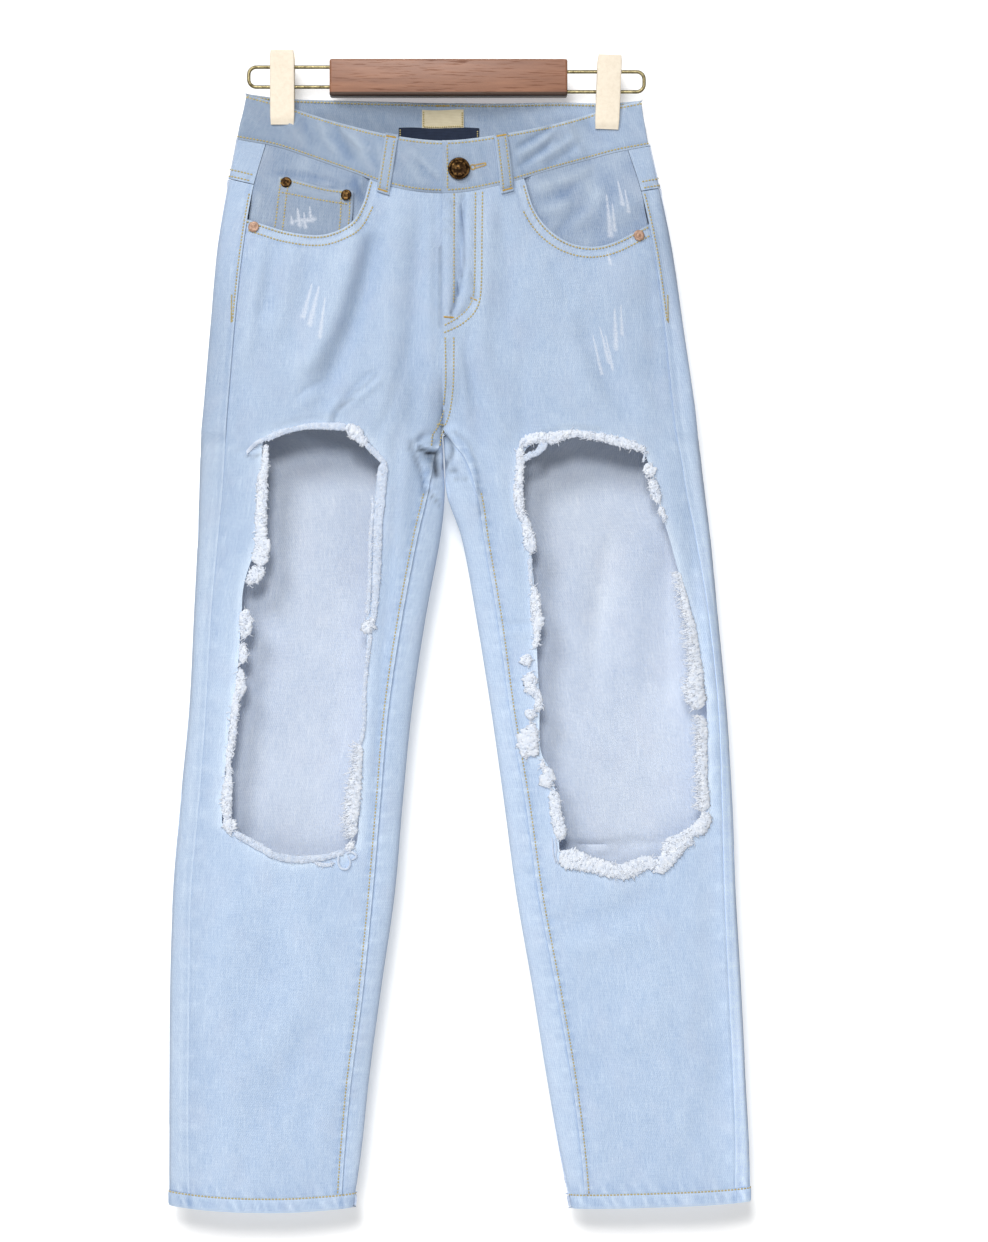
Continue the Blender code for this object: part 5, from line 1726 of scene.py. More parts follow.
def back_wear_and_shade(side: Side) -> Callable[[Laid], Array]:
    """Where a back panel is worn pale or kept darker, and where fold shade is painted on it."""

    def wear(laid: Laid) -> Array:
        """Pale along folds and seams, with roping beside them, and paler ridges and darker troughs behind,
        partly fade and partly painted shade.
        """
        x, z = laid.x, laid.z
        below = FORM.below_crotch(z)
        outer, inner = seam_away(side, "side", x, z), seam_away(side, "inseam", x, z)
        in_front = laid.front.astype(float)
        behind = 1.0 - in_front
        # Ridges paler and troughs darker behind: partly fade, partly painted shade.
        total = 0.05 * np.clip(np.where(laid.front, 0.0, FORM.relief(BACK, x, z)), -2.5, 2.5)
        strip = 0.20 * bump(outer, 1.3) - 0.08 * bump(outer - 3.2, 1.6) + 0.10 * bump(outer - 7, 2.0)
        total += in_front * strip
        total += in_front * 0.07 * bump(outer - 5, 4.0) * (2.0 * pulses(z, 21.0) - 0.8)
        total += in_front * below * (0.12 - 0.30 * bump(inner, 1.3))
        total += in_front * below * 0.12 * bump(inner - 4, 5.0) * (2.0 * pulses(z, 11.0, 2.0, 1.0) - 0.9)
        seat = np.abs(x - CENTRE_X)
        total += behind * (1.0 - below) * 0.25 * bump(seat - 3, 5.0) * (2.0 * pulses(z, 13.0, 2.0) - 0.7)
        total += behind * 0.2 * bump(FORM.yoke_line(x) - z, 5.0) * (2.0 * pulses(x, 13.0, 2.0) - 0.7)
        total += 0.22 * bump(hem_away(side, x, z) - 3, 6.0) * (2.0 * pulses(slanting(x, z), 12.0, 2.0) - 0.9)
        return total
    return wear


# ======================================================================= where each sheet lies

def front_spread(side: Side) -> Spread:
    """A front panel: rows level, but along the waist seam and the hem near them."""
    def spread(u: Array, v: Array) -> Laid:
        """Places across the panel and up it."""
        level = mix(FORM.hem_level, FORM.waist_level, v)

        def height_at(x: Array) -> Array:
            """Height of the row."""
            return FORM.row_height(side, x, level, FORM.front_seam, FORM.waist_level)

        seam, _ = FORM.settled(side, "side", height_at)
        middle, height = FORM.settled(side, "inseam", height_at)
        seam = seam + side.sign * LAP
        if side is Side.RIGHT:
            x = mix(seam, middle - GAP / 2 + LAP * ease((height - FORM.crotch_z - 4.0) / 10.0), u)
        else:
            x = mix(middle + GAP / 2, seam, u)
        return Laid(x, height_at(x), np.ones_like(x, bool))
    return spread


def wrapped_turns(side: Side, z: Array, seam: Array, inseam: Array | float) -> tuple[Array, Array]:
    """The turns at which a panel that goes round behind starts and ends."""
    low, high = FORM.span(side, z)
    below = z < FORM.crotch_z
    lap = LAP * ease((FORM.crotch_z - z) / 14.0)
    if side is Side.RIGHT:
        end = FULL_TURN + turn_of(seam - GAP / 2, low, high)
        start = np.where(below, turn_of(inseam + GAP / 2 - lap, low, high),
                         FULL_TURN - turn_of(CENTRE_X - GAP / 2, low, high))
        return start, end
    start = turn_of(seam + GAP / 2, low, high)
    end = np.where(below, FULL_TURN + turn_of(inseam - GAP / 2 + lap, low, high),
                   FULL_TURN - turn_of(CENTRE_X + GAP / 2, low, high))
    return start, end


def back_spread(side: Side) -> Spread:
    """A back panel, from seam to seam round behind."""
    def spread(u: Array, v: Array) -> Laid:
        """Places round the panel and up it."""
        level = mix(FORM.hem_level, FORM.yoke_level, v)

        def height_at(x: Array) -> Array:
            """Height of the row."""
            return FORM.row_height(side, x, level, FORM.yoke_line, FORM.yoke_level)

        seam, height = FORM.settled(side, "side", height_at)
        inseam, _ = FORM.settled(side, "inseam", height_at)
        low, high = FORM.span(side, height)
        turn = mix(*wrapped_turns(side, height, seam, inseam), u)
        x, front = loop_place(turn, low, high)
        return Laid(x, height_at(x), front)
    return spread


def yoke_spread(side: Side) -> Spread:
    """A yoke, from the side seam round behind to the centre back."""
    def spread(u: Array, v: Array) -> Laid:
        """Places round the yoke and up it."""
        def height_at(x: Array) -> Array:
            """Height of the row, on the front."""
            return mix(FORM.yoke_line(x) + GAP, FORM.front_seam(x) - GAP, v)

        seam, height = FORM.settled(side, "side", height_at)
        low, high = FORM.span(side, height)
        turn = mix(*wrapped_turns(side, height, seam, CENTRE_X), u)
        x, front = loop_place(turn, low, high)
        top = FORM.band_edge("seam", x, front) + np.where(front, -GAP, 1.5)
        return Laid(x, mix(FORM.yoke_line(x) + GAP, top, v), front)
    return spread


def waist_spread(u: Array, v: Array) -> Laid:
    """The waistband, from the outer lap round behind to the end that lies under it."""
    low, high = FORM.hip_span(mix(*BAND_SIDE_Z, v))
    start, end = (turn_of(x, low, high) for x in BAND_ENDS_X)
    turn = mix(start, FULL_TURN + end, u)
    x, front = loop_place(turn, low, high)
    height = mix(FORM.band_edge("seam", x, front), FORM.band_edge("top", x, front), v)
    return Laid(x, height, front, u)


def waist_share(laid: Laid) -> Array:
    """How far up the waistband each place is."""
    seam, top = (FORM.band_edge(edge, laid.x, laid.front) for edge in ("seam", "top"))
    return (laid.z - seam) / (top - seam)


def waist_lift(laid: Laid) -> Array:
    """The band's rounded edges, small wrinkles, and its end that lies under the lap."""
    up = waist_share(laid) * BAND_TALL
    total = PROUD - 0.9 * bump(up, 1.3) - 0.9 * bump(BAND_TALL - up, 1.3)
    total += -0.35 * bump(up - 2.6, 1.2) - 0.35 * bump(BAND_TALL - 2.6 - up, 1.2)
    total += np.where(laid.front, crease_heights(BAND_CREASES, FRONT, laid.x, laid.z), 0.0) * 1.7
    return total + 0.25 * np.sin(laid.x / 9.0 + laid.z / 6.0) * bump(up - BAND_TALL / 2.0, 14.0)


def waist_band_lift(laid: Laid) -> Array:
    """The lift of the whole band, whose last end lies under its first."""
    under = ease((laid.x + 46.0) / 30.0) * (laid.front & (laid.share > 0.5))
    return waist_lift(laid) - under * (BAND_THICK + GAP)


def waist_wear_and_shade(laid: Laid) -> Array:
    """Worn pale along the top edge, with a painted shadow line beside the seam, and paler ridges and darker
    troughs on its creases, partly painted shade.
    """
    up = waist_share(laid) * BAND_TALL
    # A painted shadow line a little above the seam, beside the lower stitches.
    total = 0.45 * bump(BAND_TALL - up, 1.6) + 0.18 * bump(up, 1.5) - 0.12 * bump(up - 4.5, 2.0)
    # Paler ridges and darker troughs: partly fade, partly painted shade.
    total += np.where(laid.front, 0.22 * crease_heights(BAND_CREASES, FRONT, laid.x, laid.z), 0.0)
    total += 0.14 * (pulses(laid.x + 0.7 * laid.z, 17.0, 1.2) - 0.5) * bump(up - BAND_TALL / 2.0, 18.0)
    return total + 0.14 * bump(BAND_TALL - 2.0 - up, 3.0) * (2.0 * pulses(laid.x, 9.0, 2.0) - 0.8)


def hem_spread(side: Side) -> Spread:
    """A hem, once round the ankle."""
    def spread(u: Array, v: Array) -> Laid:
        """Places round the hem and up it."""
        low, high = FORM.span(side, HEMS[side].outer + FORM.hem_deep * v)
        x, front = loop_place(FULL_TURN * u, low, high)
        return Laid(x, FORM.hem_line(side, x) + HEM_TALL * v, front)
    return spread


def hem_lift(side: Side) -> Lift:
    """A hem's rounded lower edge and its slanting ropes."""
    def lift(laid: Laid) -> Array:
        """Rises over the turned-in layers and dips at the stitches."""
        up = laid.z - FORM.hem_line(side, laid.x)
        total = PROUD * ease((13.2 - up) / 2.6) - 0.9 * bump(up, 1.1) - 0.35 * bump(up - 11.6, 1.0)
        ropes = 0.6 * bump(up - 5.5, 5.0) * (pulses(slanting(laid.x, laid.z, 5.0, 13.0), 11.0, 1.6) - 0.4)
        return total + ropes * (0.7 + 0.4 * np.sin(laid.x / 19.0))
    return lift


def hem_wear(side: Side) -> Callable[[Laid], Array]:
    """A hem's pale lower edge and roping."""
    def wear(laid: Laid) -> Array:
        """Pale on the ropes and the fold."""
        up = laid.z - FORM.hem_line(side, laid.x)
        hills = pulses(slanting(laid.x, laid.z, 5.0, 13.0), 11.0, 1.6)
        ropes = 0.22 * bump(up - 5.5, 5.0) * (2.0 * hills - 0.9)
        seams = sum(bump(seam_away(side, name, laid.x, laid.z) - 1.0, 1.0) for name in ("side", "inseam"))
        return ropes + 0.30 * bump(up, 1.4) + 0.05 - 0.25 * seams * laid.front
    return wear


def facing_lift(side: Side) -> Lift:
    """A pocket facing, behind the mouth and level with the panel above it."""
    def lift(laid: Laid) -> Array:
        """Sinks toward the mouth, with the facing's own creases."""
        above = laid.z - MOUTHS[side].height(laid.x)
        sunk = -3.6 * (1.0 - ease((above - 8.0) / 22.0))
        return sunk + 0.9 * crease_heights(FACING_CREASES, FRONT, laid.x, laid.z)
    return lift


def facing_wear_and_shade(laid: Laid) -> Array:
    """Blotchy fade, with paler ridges and darker troughs along the facing's creases, partly painted shade."""
    blotches = np.sin(laid.x / 7.0 + np.sin(laid.z / 9.0))
    blotches = blotches * np.sin(laid.z / 8.0 + 0.6 * np.sin(laid.x / 12.0))
    # Creases: paler ridges and darker troughs, partly fade and partly painted shade.
    return 0.20 * crease_heights(FACING_CREASES, FRONT, laid.x, laid.z) + 0.12 * blotches - 0.03


FACING_ENDS = {Side.RIGHT: (-50.0, -170.0), Side.LEFT: (48.0, -179.0)}


def facing_spread(side: Side) -> Spread:
    """A pocket facing, from the side seam to inside the front."""
    inner, low = FACING_ENDS[side]

    def spread(u: Array, v: Array) -> Laid:
        """Places across the facing and up it."""
        seam, _ = FORM.settled(side, "side", lambda x: mix(low, FORM.front_seam(x) - GAP, v))
        x = mix(seam + GAP, inner, u) if side is Side.RIGHT else mix(inner, seam - GAP, u)
        return Laid(x, mix(low, FORM.front_seam(x) - GAP, v), np.ones_like(x, bool))
    return spread


COIN_CORNERS = np.array([(-152.0, -149.5), (-84.6, -157.5), (-80.9, -117.0), (-145.9, -103.2)])
PATCH_TOP = -172.0            # height of the back pockets' tops
PATCH_X = {Side.RIGHT: -98.0, Side.LEFT: 90.0}


def coin_spread(u: Array, v: Array) -> Laid:
    """The coin pocket, between its four corners."""
    low_left, low_right, high_right, high_left = COIN_CORNERS
    flat = mix(mix(low_left, low_right, u[..., None]), mix(high_left, high_right, u[..., None]), v[..., None])
    sag = 1.2 * np.sin(FULL_TURN * u[..., None] + 0.6) * v[..., None] ** 3
    return Laid(flat[..., 0], flat[..., 1] + sag[..., 0], np.ones_like(u, bool))


def patch_spread(side: Side) -> Spread:
    """A back pocket: a patch with a point at its foot."""
    lean, tall, point = -0.06 * side.sign, 138.0, 20.0

    def spread(u: Array, v: Array) -> Laid:
        """Places across the patch and up it."""
        across = (0.5 - u) * mix(108.0, 126.0, v)
        drop = point * (1.0 - np.abs(2.0 * u - 1.0)) * (1.0 - v)
        x = PATCH_X[side] + across + lean * (v - 0.5) * tall
        return Laid(x, PATCH_TOP - tall * (1.0 - v) + point * (1.0 - v) - drop, np.zeros_like(u, bool))
    return spread


def strip_spread(x0: float, x1: float, low: float) -> Spread:
    """A strip behind the fly, up to the waist seam."""
    def spread(u: Array, v: Array) -> Laid:
        """Places across the strip and up it."""
        x = mix(x0, x1, u)
        return Laid(x, mix(low, FORM.front_seam(x) - GAP, v), np.ones_like(x, bool))
    return spread


class LoopRow(NamedTuple):
    """A belt loop: its layer, and the middle of its top and foot."""

    layer: Layer
    x_top: float
    x_low: float


LOOPS = rows_of(LoopRow, (FRONT, -47.5, -55.5), (FRONT, 44.5, 50.5), (BACK, -90.0, -91.0),
                (BACK, CENTRE_X, CENTRE_X), (BACK, 84.0, 85.0))
LOOP_WIDE, LOOP_THICK, LOOP_TAIL = 11.0, 1.4, 8.0
LOOP_HEAD = {FRONT: 1.0, BACK: -1.6}


def loop_ends(loop: LoopRow, x: Array) -> tuple[Array, Array]:
    """Heights of a belt loop's foot and top."""
    front = loop.layer is FRONT
    foot = FORM.band_edge("seam", x, front) - LOOP_TAIL
    return foot, FORM.band_edge("top", x, front) + LOOP_HEAD[loop.layer]


def loop_shares(loop: LoopRow, laid: Laid) -> tuple[Array, Array]:
    """How far up a belt loop each place is, and how far across from its middle to its edge."""
    foot, top = loop_ends(loop, laid.x)
    up = (laid.z - foot) / (top - foot)
    return up, (laid.x - mix(loop.x_low, loop.x_top, up)) / (LOOP_WIDE / 2.0)


def belt_loop_spread(loop: LoopRow) -> Spread:
    """A belt loop over the waistband, from above its top edge to below its seam."""
    def spread(u: Array, v: Array) -> Laid:
        """Places across the loop and up it."""
        across = (u - 0.5) * LOOP_WIDE * (1.0 if loop.layer is FRONT else -1.0)
        x = mix(loop.x_low, loop.x_top, v) + across
        return Laid(x, mix(*loop_ends(loop, x), v), np.full(x.shape, loop.layer is FRONT))
    return spread


def belt_loop_lift(loop: LoopRow) -> Lift:
    """A belt loop bows off the band, and is sewn down flat at both ends."""
    def lift(laid: Laid) -> Array:
        """Highest a little above the middle, with a raised middle third."""
        share, across = loop_shares(loop, laid)
        bow = 1.1 * np.sin(math.pi * np.clip((share - 0.08) / 0.86, 0.0, 1.0)) ** 0.6
        edge = -0.7 * ease((np.abs(across) - 0.82) / 0.18) - 0.3 * bump(np.abs(across) - 0.55, 0.16)
        ends = -0.9 * (bump(share - 0.05, 0.035) + bump(share - 0.95, 0.035))
        return PROUD + GAP + LOOP_THICK + bow * 0.8 + edge + ends
    return lift


def belt_loop_wear(loop: LoopRow) -> Callable[[Laid], Array]:
    """A belt loop is worn pale along both of its edges."""
    def wear(laid: Laid) -> Array:
        """Pale edges and foot."""
        share, across = loop_shares(loop, laid)
        return 0.12 * ease((np.abs(across) - 0.7) / 0.3) + 0.10 * bump(share - 0.5, 0.4) - 0.02
    return wear


class Label(NamedTuple):
    """A woven label inside the back of the waistband."""

    name: str
    x0: float
    x1: float
    z0: float
    z1: float


LABELS = rows_of(Label, ("label_cream", -23.3, 13.0, -57.3, -41.5), ("label_navy", -43.6, 26.4, -75.0, -57.0))


def label_spread(label: Label) -> Spread:
    """A label on the inside of the back, facing the front."""
    def spread(u: Array, v: Array) -> Laid:
        """Places across the label and up it."""
        x = mix(label.x0, label.x1, u)
        return Laid(x, mix(label.z0, label.z1, v) + 0.4 * np.sin(x / 7.0), np.zeros_like(x, bool))
    return spread


# ======================================================================= the sewn garment

def on_cloth(x: Array, z: Array, layer: Layer, side: Side | None, lift: Lift | float) -> tuple[Array, Array]:
    """Points on the cloth's face at some flat places, and the directions in which it faces there."""
    out = form_outward(x, z, layer, side)
    laid = Laid(x, z, np.full(x.shape, layer is FRONT))
    height = lift(laid) if callable(lift) else np.full(x.shape, lift)
    return FORM.place(layer, x, z, side) + out * height[..., None], out


@dataclass
class Seamstress:
    """Gathers the stitches line by line, and joins them in a few meshes."""

    pitch: float = 2.9
    width: float = 1.5
    batches: dict[str, list[tuple[Array, Array, Array]]] = field(default_factory=dict)

    def sew(self, group: str, points: Array, out: Array, pitch: float | None = None,
            fill: float = 0.8) -> None:
        """Sews a running line.

        Args:
            group: Which mesh the stitches join.
            points: The line, in millimetres on the cloth's face.
            out: The directions in which the cloth faces along it.
            pitch: Distance between the stitches.
            fill: Length of a stitch as a share of the pitch.
        """
        pitch = pitch or self.pitch
        route = even_path(np.concatenate([points, out], axis=1), pitch / 2.0)
        middle, start, end = route[1::2], route[0:-1:2], route[2::2]
        count = min(len(middle), len(start), len(end))
        if count < 1:
            return
        along = end[:count, :3] - start[:count, :3]
        along /= np.linalg.norm(along, axis=1, keepdims=True)
        facing = middle[:count, 3:] - along * (middle[:count, 3:] * along).sum(axis=1, keepdims=True)
        facing /= np.linalg.norm(facing, axis=1, keepdims=True)
        size = np.tile([pitch * fill, self.width, self.width * 0.75], (count, 1))
        self.batches.setdefault(group, []).append(
            (middle[:count, :3] + facing * 0.12, along, facing, size))

    def sew_flat(self, group: str, route: Array, layer: Layer, side: Side | None = None,
                 lift: Lift | float = 0.0, **choices: float) -> None:
        """Sews along a flat route laid on the form."""
        route = even_path(np.asarray(route, float), 1.0)
        self.sew(group, *on_cloth(route[:, 0], route[:, 1], layer, side, lift), **choices)

    def bartack(self, x0: float, z0: float, x1: float, z1: float, layer: Layer = FRONT, wide: float = 2.0,
                side: Side | None = None, lift: Lift | float = 0.0, group: str = "bartacks") -> None:
        """Packs satin stitches across a short line.

        Args:
            x0: Where the line starts across.
            z0: Where the line starts in height.
            x1: Where the line ends across.
            z1: Where the line ends in height.
            layer: The layer of the cloth.
            wide: Length of each stitch across the line.
            side: The leg, where it matters.
            lift: Height of the cloth's face over the form.
            group: Which mesh the stitches join.
        """
        length = math.hypot(x1 - x0, z1 - z0)
        count = max(3, int(length / 0.55))
        share = (np.arange(count) + 0.5) / count
        x, z = mix(x0, x1, share), mix(z0, z1, share)
        points, out = on_cloth(x, z, layer, side, lift)
        points = points + 0.2 * out
        line = np.array([(x1 - x0) / length, 0.0, (z1 - z0) / length])
        across = np.cross(out, line)
        across /= np.linalg.norm(across, axis=1, keepdims=True)
        across += line * 0.12 * np.where(np.arange(count) % 2, 1.0, -1.0)[:, None]
        across /= np.linalg.norm(across, axis=1, keepdims=True)
        out = np.cross(across, np.cross(out, across))
        size = np.column_stack([np.full(count, wide) * (0.9 + 0.15 * np.sin(7.0 * np.arange(count))),
                                np.full(count, 0.7), np.full(count, 0.8)])
        self.batches.setdefault(group, []).append((points, across, out, size))

    def finish(self, group: str, finish: bpy.types.Material) -> bpy.types.Object:
        """Joins a group's stitches as one object."""
        parts = [np.concatenate(column) for column in zip(*self.batches[group])]
        places, along, out, size = parts
        mesh = Scatter(thread_template()).lay(group, places * MM, along, out, size * MM)
        mesh.materials.append(finish)
        thing = link(group, mesh)
        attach(thing, ROOT)
        LOG.info("%s: %d stitches", group, len(places))
        return thing


def make_up(sheet: Sheet, faces: tuple[str, str], node: str,
            slot: str = "denim") -> bpy.types.Object:
    """Builds a sheet on the body, hides the solid that it stands for, and logs how it was cut.

    Args:
        sheet: The sheet.
        faces: The finishes of its face and of its reverse.
        node: The plain solid that it replaces.
        slot: Not used.

    Returns:
        The piece.
    """
    thing = sheet.build()
    for finish in faces:
        thing.data.materials.append(FINISHES[finish])
    cut = sheet.measure
    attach(thing, ROOT)
    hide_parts(node)
    LOG.info("%s: cut %.3f x %.3f m, %.4f m2", thing.name, *cut)
    return thing


def fit_piece(name: str, mesh: bpy.types.Mesh, finishes: Sequence[str], node: str) -> bpy.types.Object:
    """Places a piece that isn't a sheet on the body, with its finishes.

    Args:
        name: The piece's name.
        mesh: Its mesh.
        finishes: Its finishes, in the order of the mesh's material numbers.
        node: The plain solid that it replaces.

    Returns:
        The piece.
    """
    for finish in finishes:
        mesh.materials.append(FINISHES[finish])
    thing = link(name, mesh)
    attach(thing, ROOT)
    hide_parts(node)
    LOG.info("%s: %d faces", name, len(mesh.polygons))
    return thing


OUTSIDE = ("denim", "denim reverse")


@dataclass
class Legs:
    """The four leg panels, and the seams between them."""

    front_columns: int = 70
    front_rows: int = 350
    back_columns: int = 96
    back_rows: int = 230
    inseam_z: tuple[float, float] = (-374.0, -979.0)
    strip_z: tuple[float, float] = (-116.0, -228.0)
    strip_tack_z: tuple[float, float] = (-204.0, -228.0)
    seat_z: tuple[float, float] = (-153.0, -318.0)
    inseam_away: float = 3.6
    strip_away: float = 2.2
    seat_away: tuple[float, float] = (2.6, 8.6)

    def front(self, side: Side) -> bpy.types.Object:
        """A front panel, with its pocket mouth and its ripped hole cut out."""
        sheet = Sheet("front_panel_" + side.value, self.front_columns, self.front_rows, front_spread(side),
                      front_lift(side), side, holes=(HOLES[side].ring, MOUTHS[side].ring()),
                      wear=front_wear_and_shade(side), tone=panel_tone_and_shade)
        return make_up(sheet, ("denim front", "denim reverse"), "front_" + side.value)

    def back(self, side: Side) -> bpy.types.Object:
        """A back panel, which wraps both folds of the leg."""
        sheet = Sheet("back_panel_" + side.value, self.back_columns, self.back_rows, back_spread(side),
                      back_lift(side), side, wear=back_wear_and_shade(side), tone=panel_tone_and_shade)
        return make_up(sheet, OUTSIDE, "back_" + side.value)

    def sew(self, seamstress: Seamstress) -> None:
        """Sews inseams, side seams, the rise and the seat seam."""
        for side in Side:
            sign = side.sign
            z = np.linspace(*self.inseam_z, 300)
            x = FORM.leg(side, "inseam", z) + sign * self.inseam_away
            seamstress.sew_flat("stitches_front", np.stack([x, z], axis=1), FRONT, side, front_lift(side))
            z = np.linspace(*self.strip_z, 60)
            x = FORM.leg(side, "side", z) + sign * self.strip_away
            strip = back_lift(side)
            seamstress.sew_flat("stitches_front", np.stack([x, z], axis=1), FRONT, side, strip)
            high, low = self.strip_tack_z
            seamstress.bartack(x[-1] + sign * 0.5, high, x[-1] + sign * 0.8, low, FRONT, 1.5, side, strip,
                               "stitches_front")
        for away in self.seat_away:
            route = [(CENTRE_X + away, z) for z in np.linspace(*self.seat_z, 80)]
            seamstress.sew_flat("stitches_back", route, BACK, Side.LEFT, back_lift(Side.LEFT))
        seamstress.bartack(-10.5, -315.0, -2.7, -315.4, FRONT, 1.5, None, 1.0, "stitches_front")


@dataclass
class Fly:
    """The fly: its sewn curve on the left front, the strip behind it and the closed zip."""

    turn: tuple[Spot, ...] = (
        (29.4, -117.5), (28.9, -158), (28.1, -201), (23.8, -218), (11.8, -230), (-4.0, -237.7))
    inner: tuple[Spot, ...] = (
        (23.4, -118), (23.0, -158), (22.3, -199), (18.6, -213.5), (9.6, -223.5), (-3.4, -231.5))
    rise: tuple[tuple[Spot, ...], ...] = (
        ((-2.6, -241), (-2.2, -278), (-4.2, -300)), ((4.8, -241), (4.4, -278), (1.6, -303), (-2.6, -316)))
    foot: tuple[tuple[Spot, ...], ...] = (
        ((-4.4, -300), (-9.0, -315), (-13.6, -324), (-15.2, -334)),
        ((-2.8, -316.5), (-7.0, -324), (-8.2, -334)))

    def strip(self, name: str, spread: Spread, sunk: float, thick: float, finish: str, slot: str) -> None:
        """A strip behind the fly, evenly sunk below the front."""
        sheet = Sheet(name + "_strip", 24, 60, spread, lambda laid: np.full(laid.x.shape, sunk), None, thick)
        make_up(sheet, (finish, finish), name, slot)

    def build(self) -> None:
        """Makes the shield and the zip tape."""
        self.strip("zip", strip_spread(-9.0, 21.0, -226.0), -2.8, 0.8, "zip tape", "zip_tape")
        self.strip("fly_shield", strip_spread(-15.0, 29.0, -236.0), -4.6, DENIM, "denim reverse", "denim")

    def sew(self, seamstress: Seamstress) -> None:
        """Sews the fly's curve, the rise, and the tacks."""
        lift = front_lift(Side.LEFT)
        for line in (self.turn, self.inner):
            seamstress.sew_flat("stitches_front", smooth_path(line, 60), FRONT, Side.LEFT, lift)
        seamstress.sew_flat("stitches_front", [(5.2, -119), (5.0, -170), (4.8, -222)], FRONT, Side.LEFT, lift)
        for line in self.rise:
            seamstress.sew_flat("stitches_front", smooth_path(line, 30), FRONT, Side.LEFT, lift)
        for line in self.foot:
            seamstress.sew_flat("stitches_front", smooth_path(line, 30), FRONT, Side.RIGHT, 1.3)
        seamstress.bartack(-3.6, -224.0, 5.2, -224.6, FRONT, 1.8, Side.LEFT, lift)
        seamstress.bartack(19.2, -207.6, 24.6, -210.0, FRONT, 1.7, Side.LEFT, lift)


@dataclass
class Waist:
    """The waistband, its five belt loops and the yokes below it behind."""

    columns: int = 470
    rows: int = 20

    def band(self, seamstress: Seamstress) -> bpy.types.Object:
        """The waistband, lapped left over right."""
        # The band's tone is its own deeper colour, with painted shade toward -X, the lamps' side, and painted
        # light toward +X.
        sheet = Sheet("waist_band", self.columns, self.rows, waist_spread, waist_band_lift, None, BAND_THICK,
                      wear=waist_wear_and_shade, tone=lambda laid: -0.31 + 0.0008 * np.clip(laid.x, -120, 120))
        thing = make_up(sheet, ("denim", "denim"), "waistband")
        for share in (0.06, 0.94):
            u = np.linspace(0.004, 0.975, 700)
            points, out = sheet.at(u, np.full_like(u, share))
            seamstress.sew("stitches_waist", points, out)
            seamstress.sew("stitches_waist", points - (BAND_THICK + 0.15) * out, -out)
        points, out = sheet.at(np.full(16, 0.004), np.linspace(0.08, 0.92, 16))
        seamstress.sew("stitches_waist", points, out)
        seamstress.bartack(-11.0, -38.0, 0.5, -38.0, BACK, 2.0, None, -BAND_THICK)
        return thing

    def loops(self, seamstress: Seamstress) -> None:
        """The five belt loops, each tacked at both ends."""
        for number, loop in enumerate(LOOPS, start=1):
            lift = belt_loop_lift(loop)
            sheet = Sheet("belt_loop_strip_%d" % number, 14, 56, belt_loop_spread(loop), lift, None,
                          LOOP_THICK, wear=belt_loop_wear(loop), tone=even_tone(-0.31))
            make_up(sheet, ("denim", "denim"), "belt_loop_%d" % number)
            for u in (0.22, 0.78):
                points, out = sheet.at(np.full(50, u), np.linspace(0.07, 0.93, 50))
                seamstress.sew("stitches_waist", points, out)
            for v in (0.045, 0.955):
                points, _ = sheet.at(np.array([0.12, 0.88]), np.array([v, v]))
                seamstress.bartack(points[0, 0], points[0, 2], points[1, 0], points[1, 2], loop.layer, 1.9,
                                   None, lift)

    def yoke(self, side: Side, seamstress: Seamstress) -> bpy.types.Object:
        """A yoke, double sewn to the back panel."""
        def lift(laid: Laid) -> Array:
            """Laps over the back panel, and is felled at the centre."""
            lap = 0.7 * bump(laid.z - FORM.yoke_line(laid.x), 4.0)
            return lap + 0.5 * bump(np.abs(laid.x - CENTRE_X), 5.0)

        def wear(laid: Laid) -> Array:
            """Roped along its lower edge."""
            low = laid.z - FORM.yoke_line(laid.x)
            return 0.22 * bump(low - 2, 4.0) * (2.0 * pulses(laid.x, 12.0, 2.0) - 0.6)

        sheet = Sheet("yoke_panel_" + side.value, 90, 28, yoke_spread(side), lift, side, wear=wear,
                      tone=lambda laid: panel_tone_and_shade(laid) - 0.04)
        thing = make_up(sheet, OUTSIDE, "yoke_" + side.value)
        for away in (2.2, 8.2):
            u = np.linspace(0.012, 0.988, 400)
            laid = sheet.spread(u, np.full(400, away / 40.0))
            seam = FORM.band_edge("seam", laid.x, laid.front)
            tall = np.maximum(6.0, seam - FORM.yoke_line(laid.x))
            keep = away / tall < 0.9
            points, out = sheet.at(u[keep], (away / tall)[keep])
            seamstress.sew("stitches_back", points, out)
        return thing


@dataclass
class Hems:
    """The turned and sewn lower edges."""

    columns: int = 250
    rows: int = 10

    def build(self, side: Side, seamstress: Seamstress) -> bpy.types.Object:
        """A hem, with its line of stitches."""
        sheet = Sheet("hem_band_" + side.value, self.columns, self.rows, hem_spread(side), hem_lift(side),
                      side, 2.4, closed=True, wear=hem_wear(side), tone=panel_tone_and_shade)
        thing = make_up(sheet, OUTSIDE, "hem_" + side.value)
        u = np.linspace(0.0, 1.0, 600)
        points, out = sheet.at(u, np.full_like(u, 0.93))
        seamstress.sew("stitches_front", points, out)
        return thing


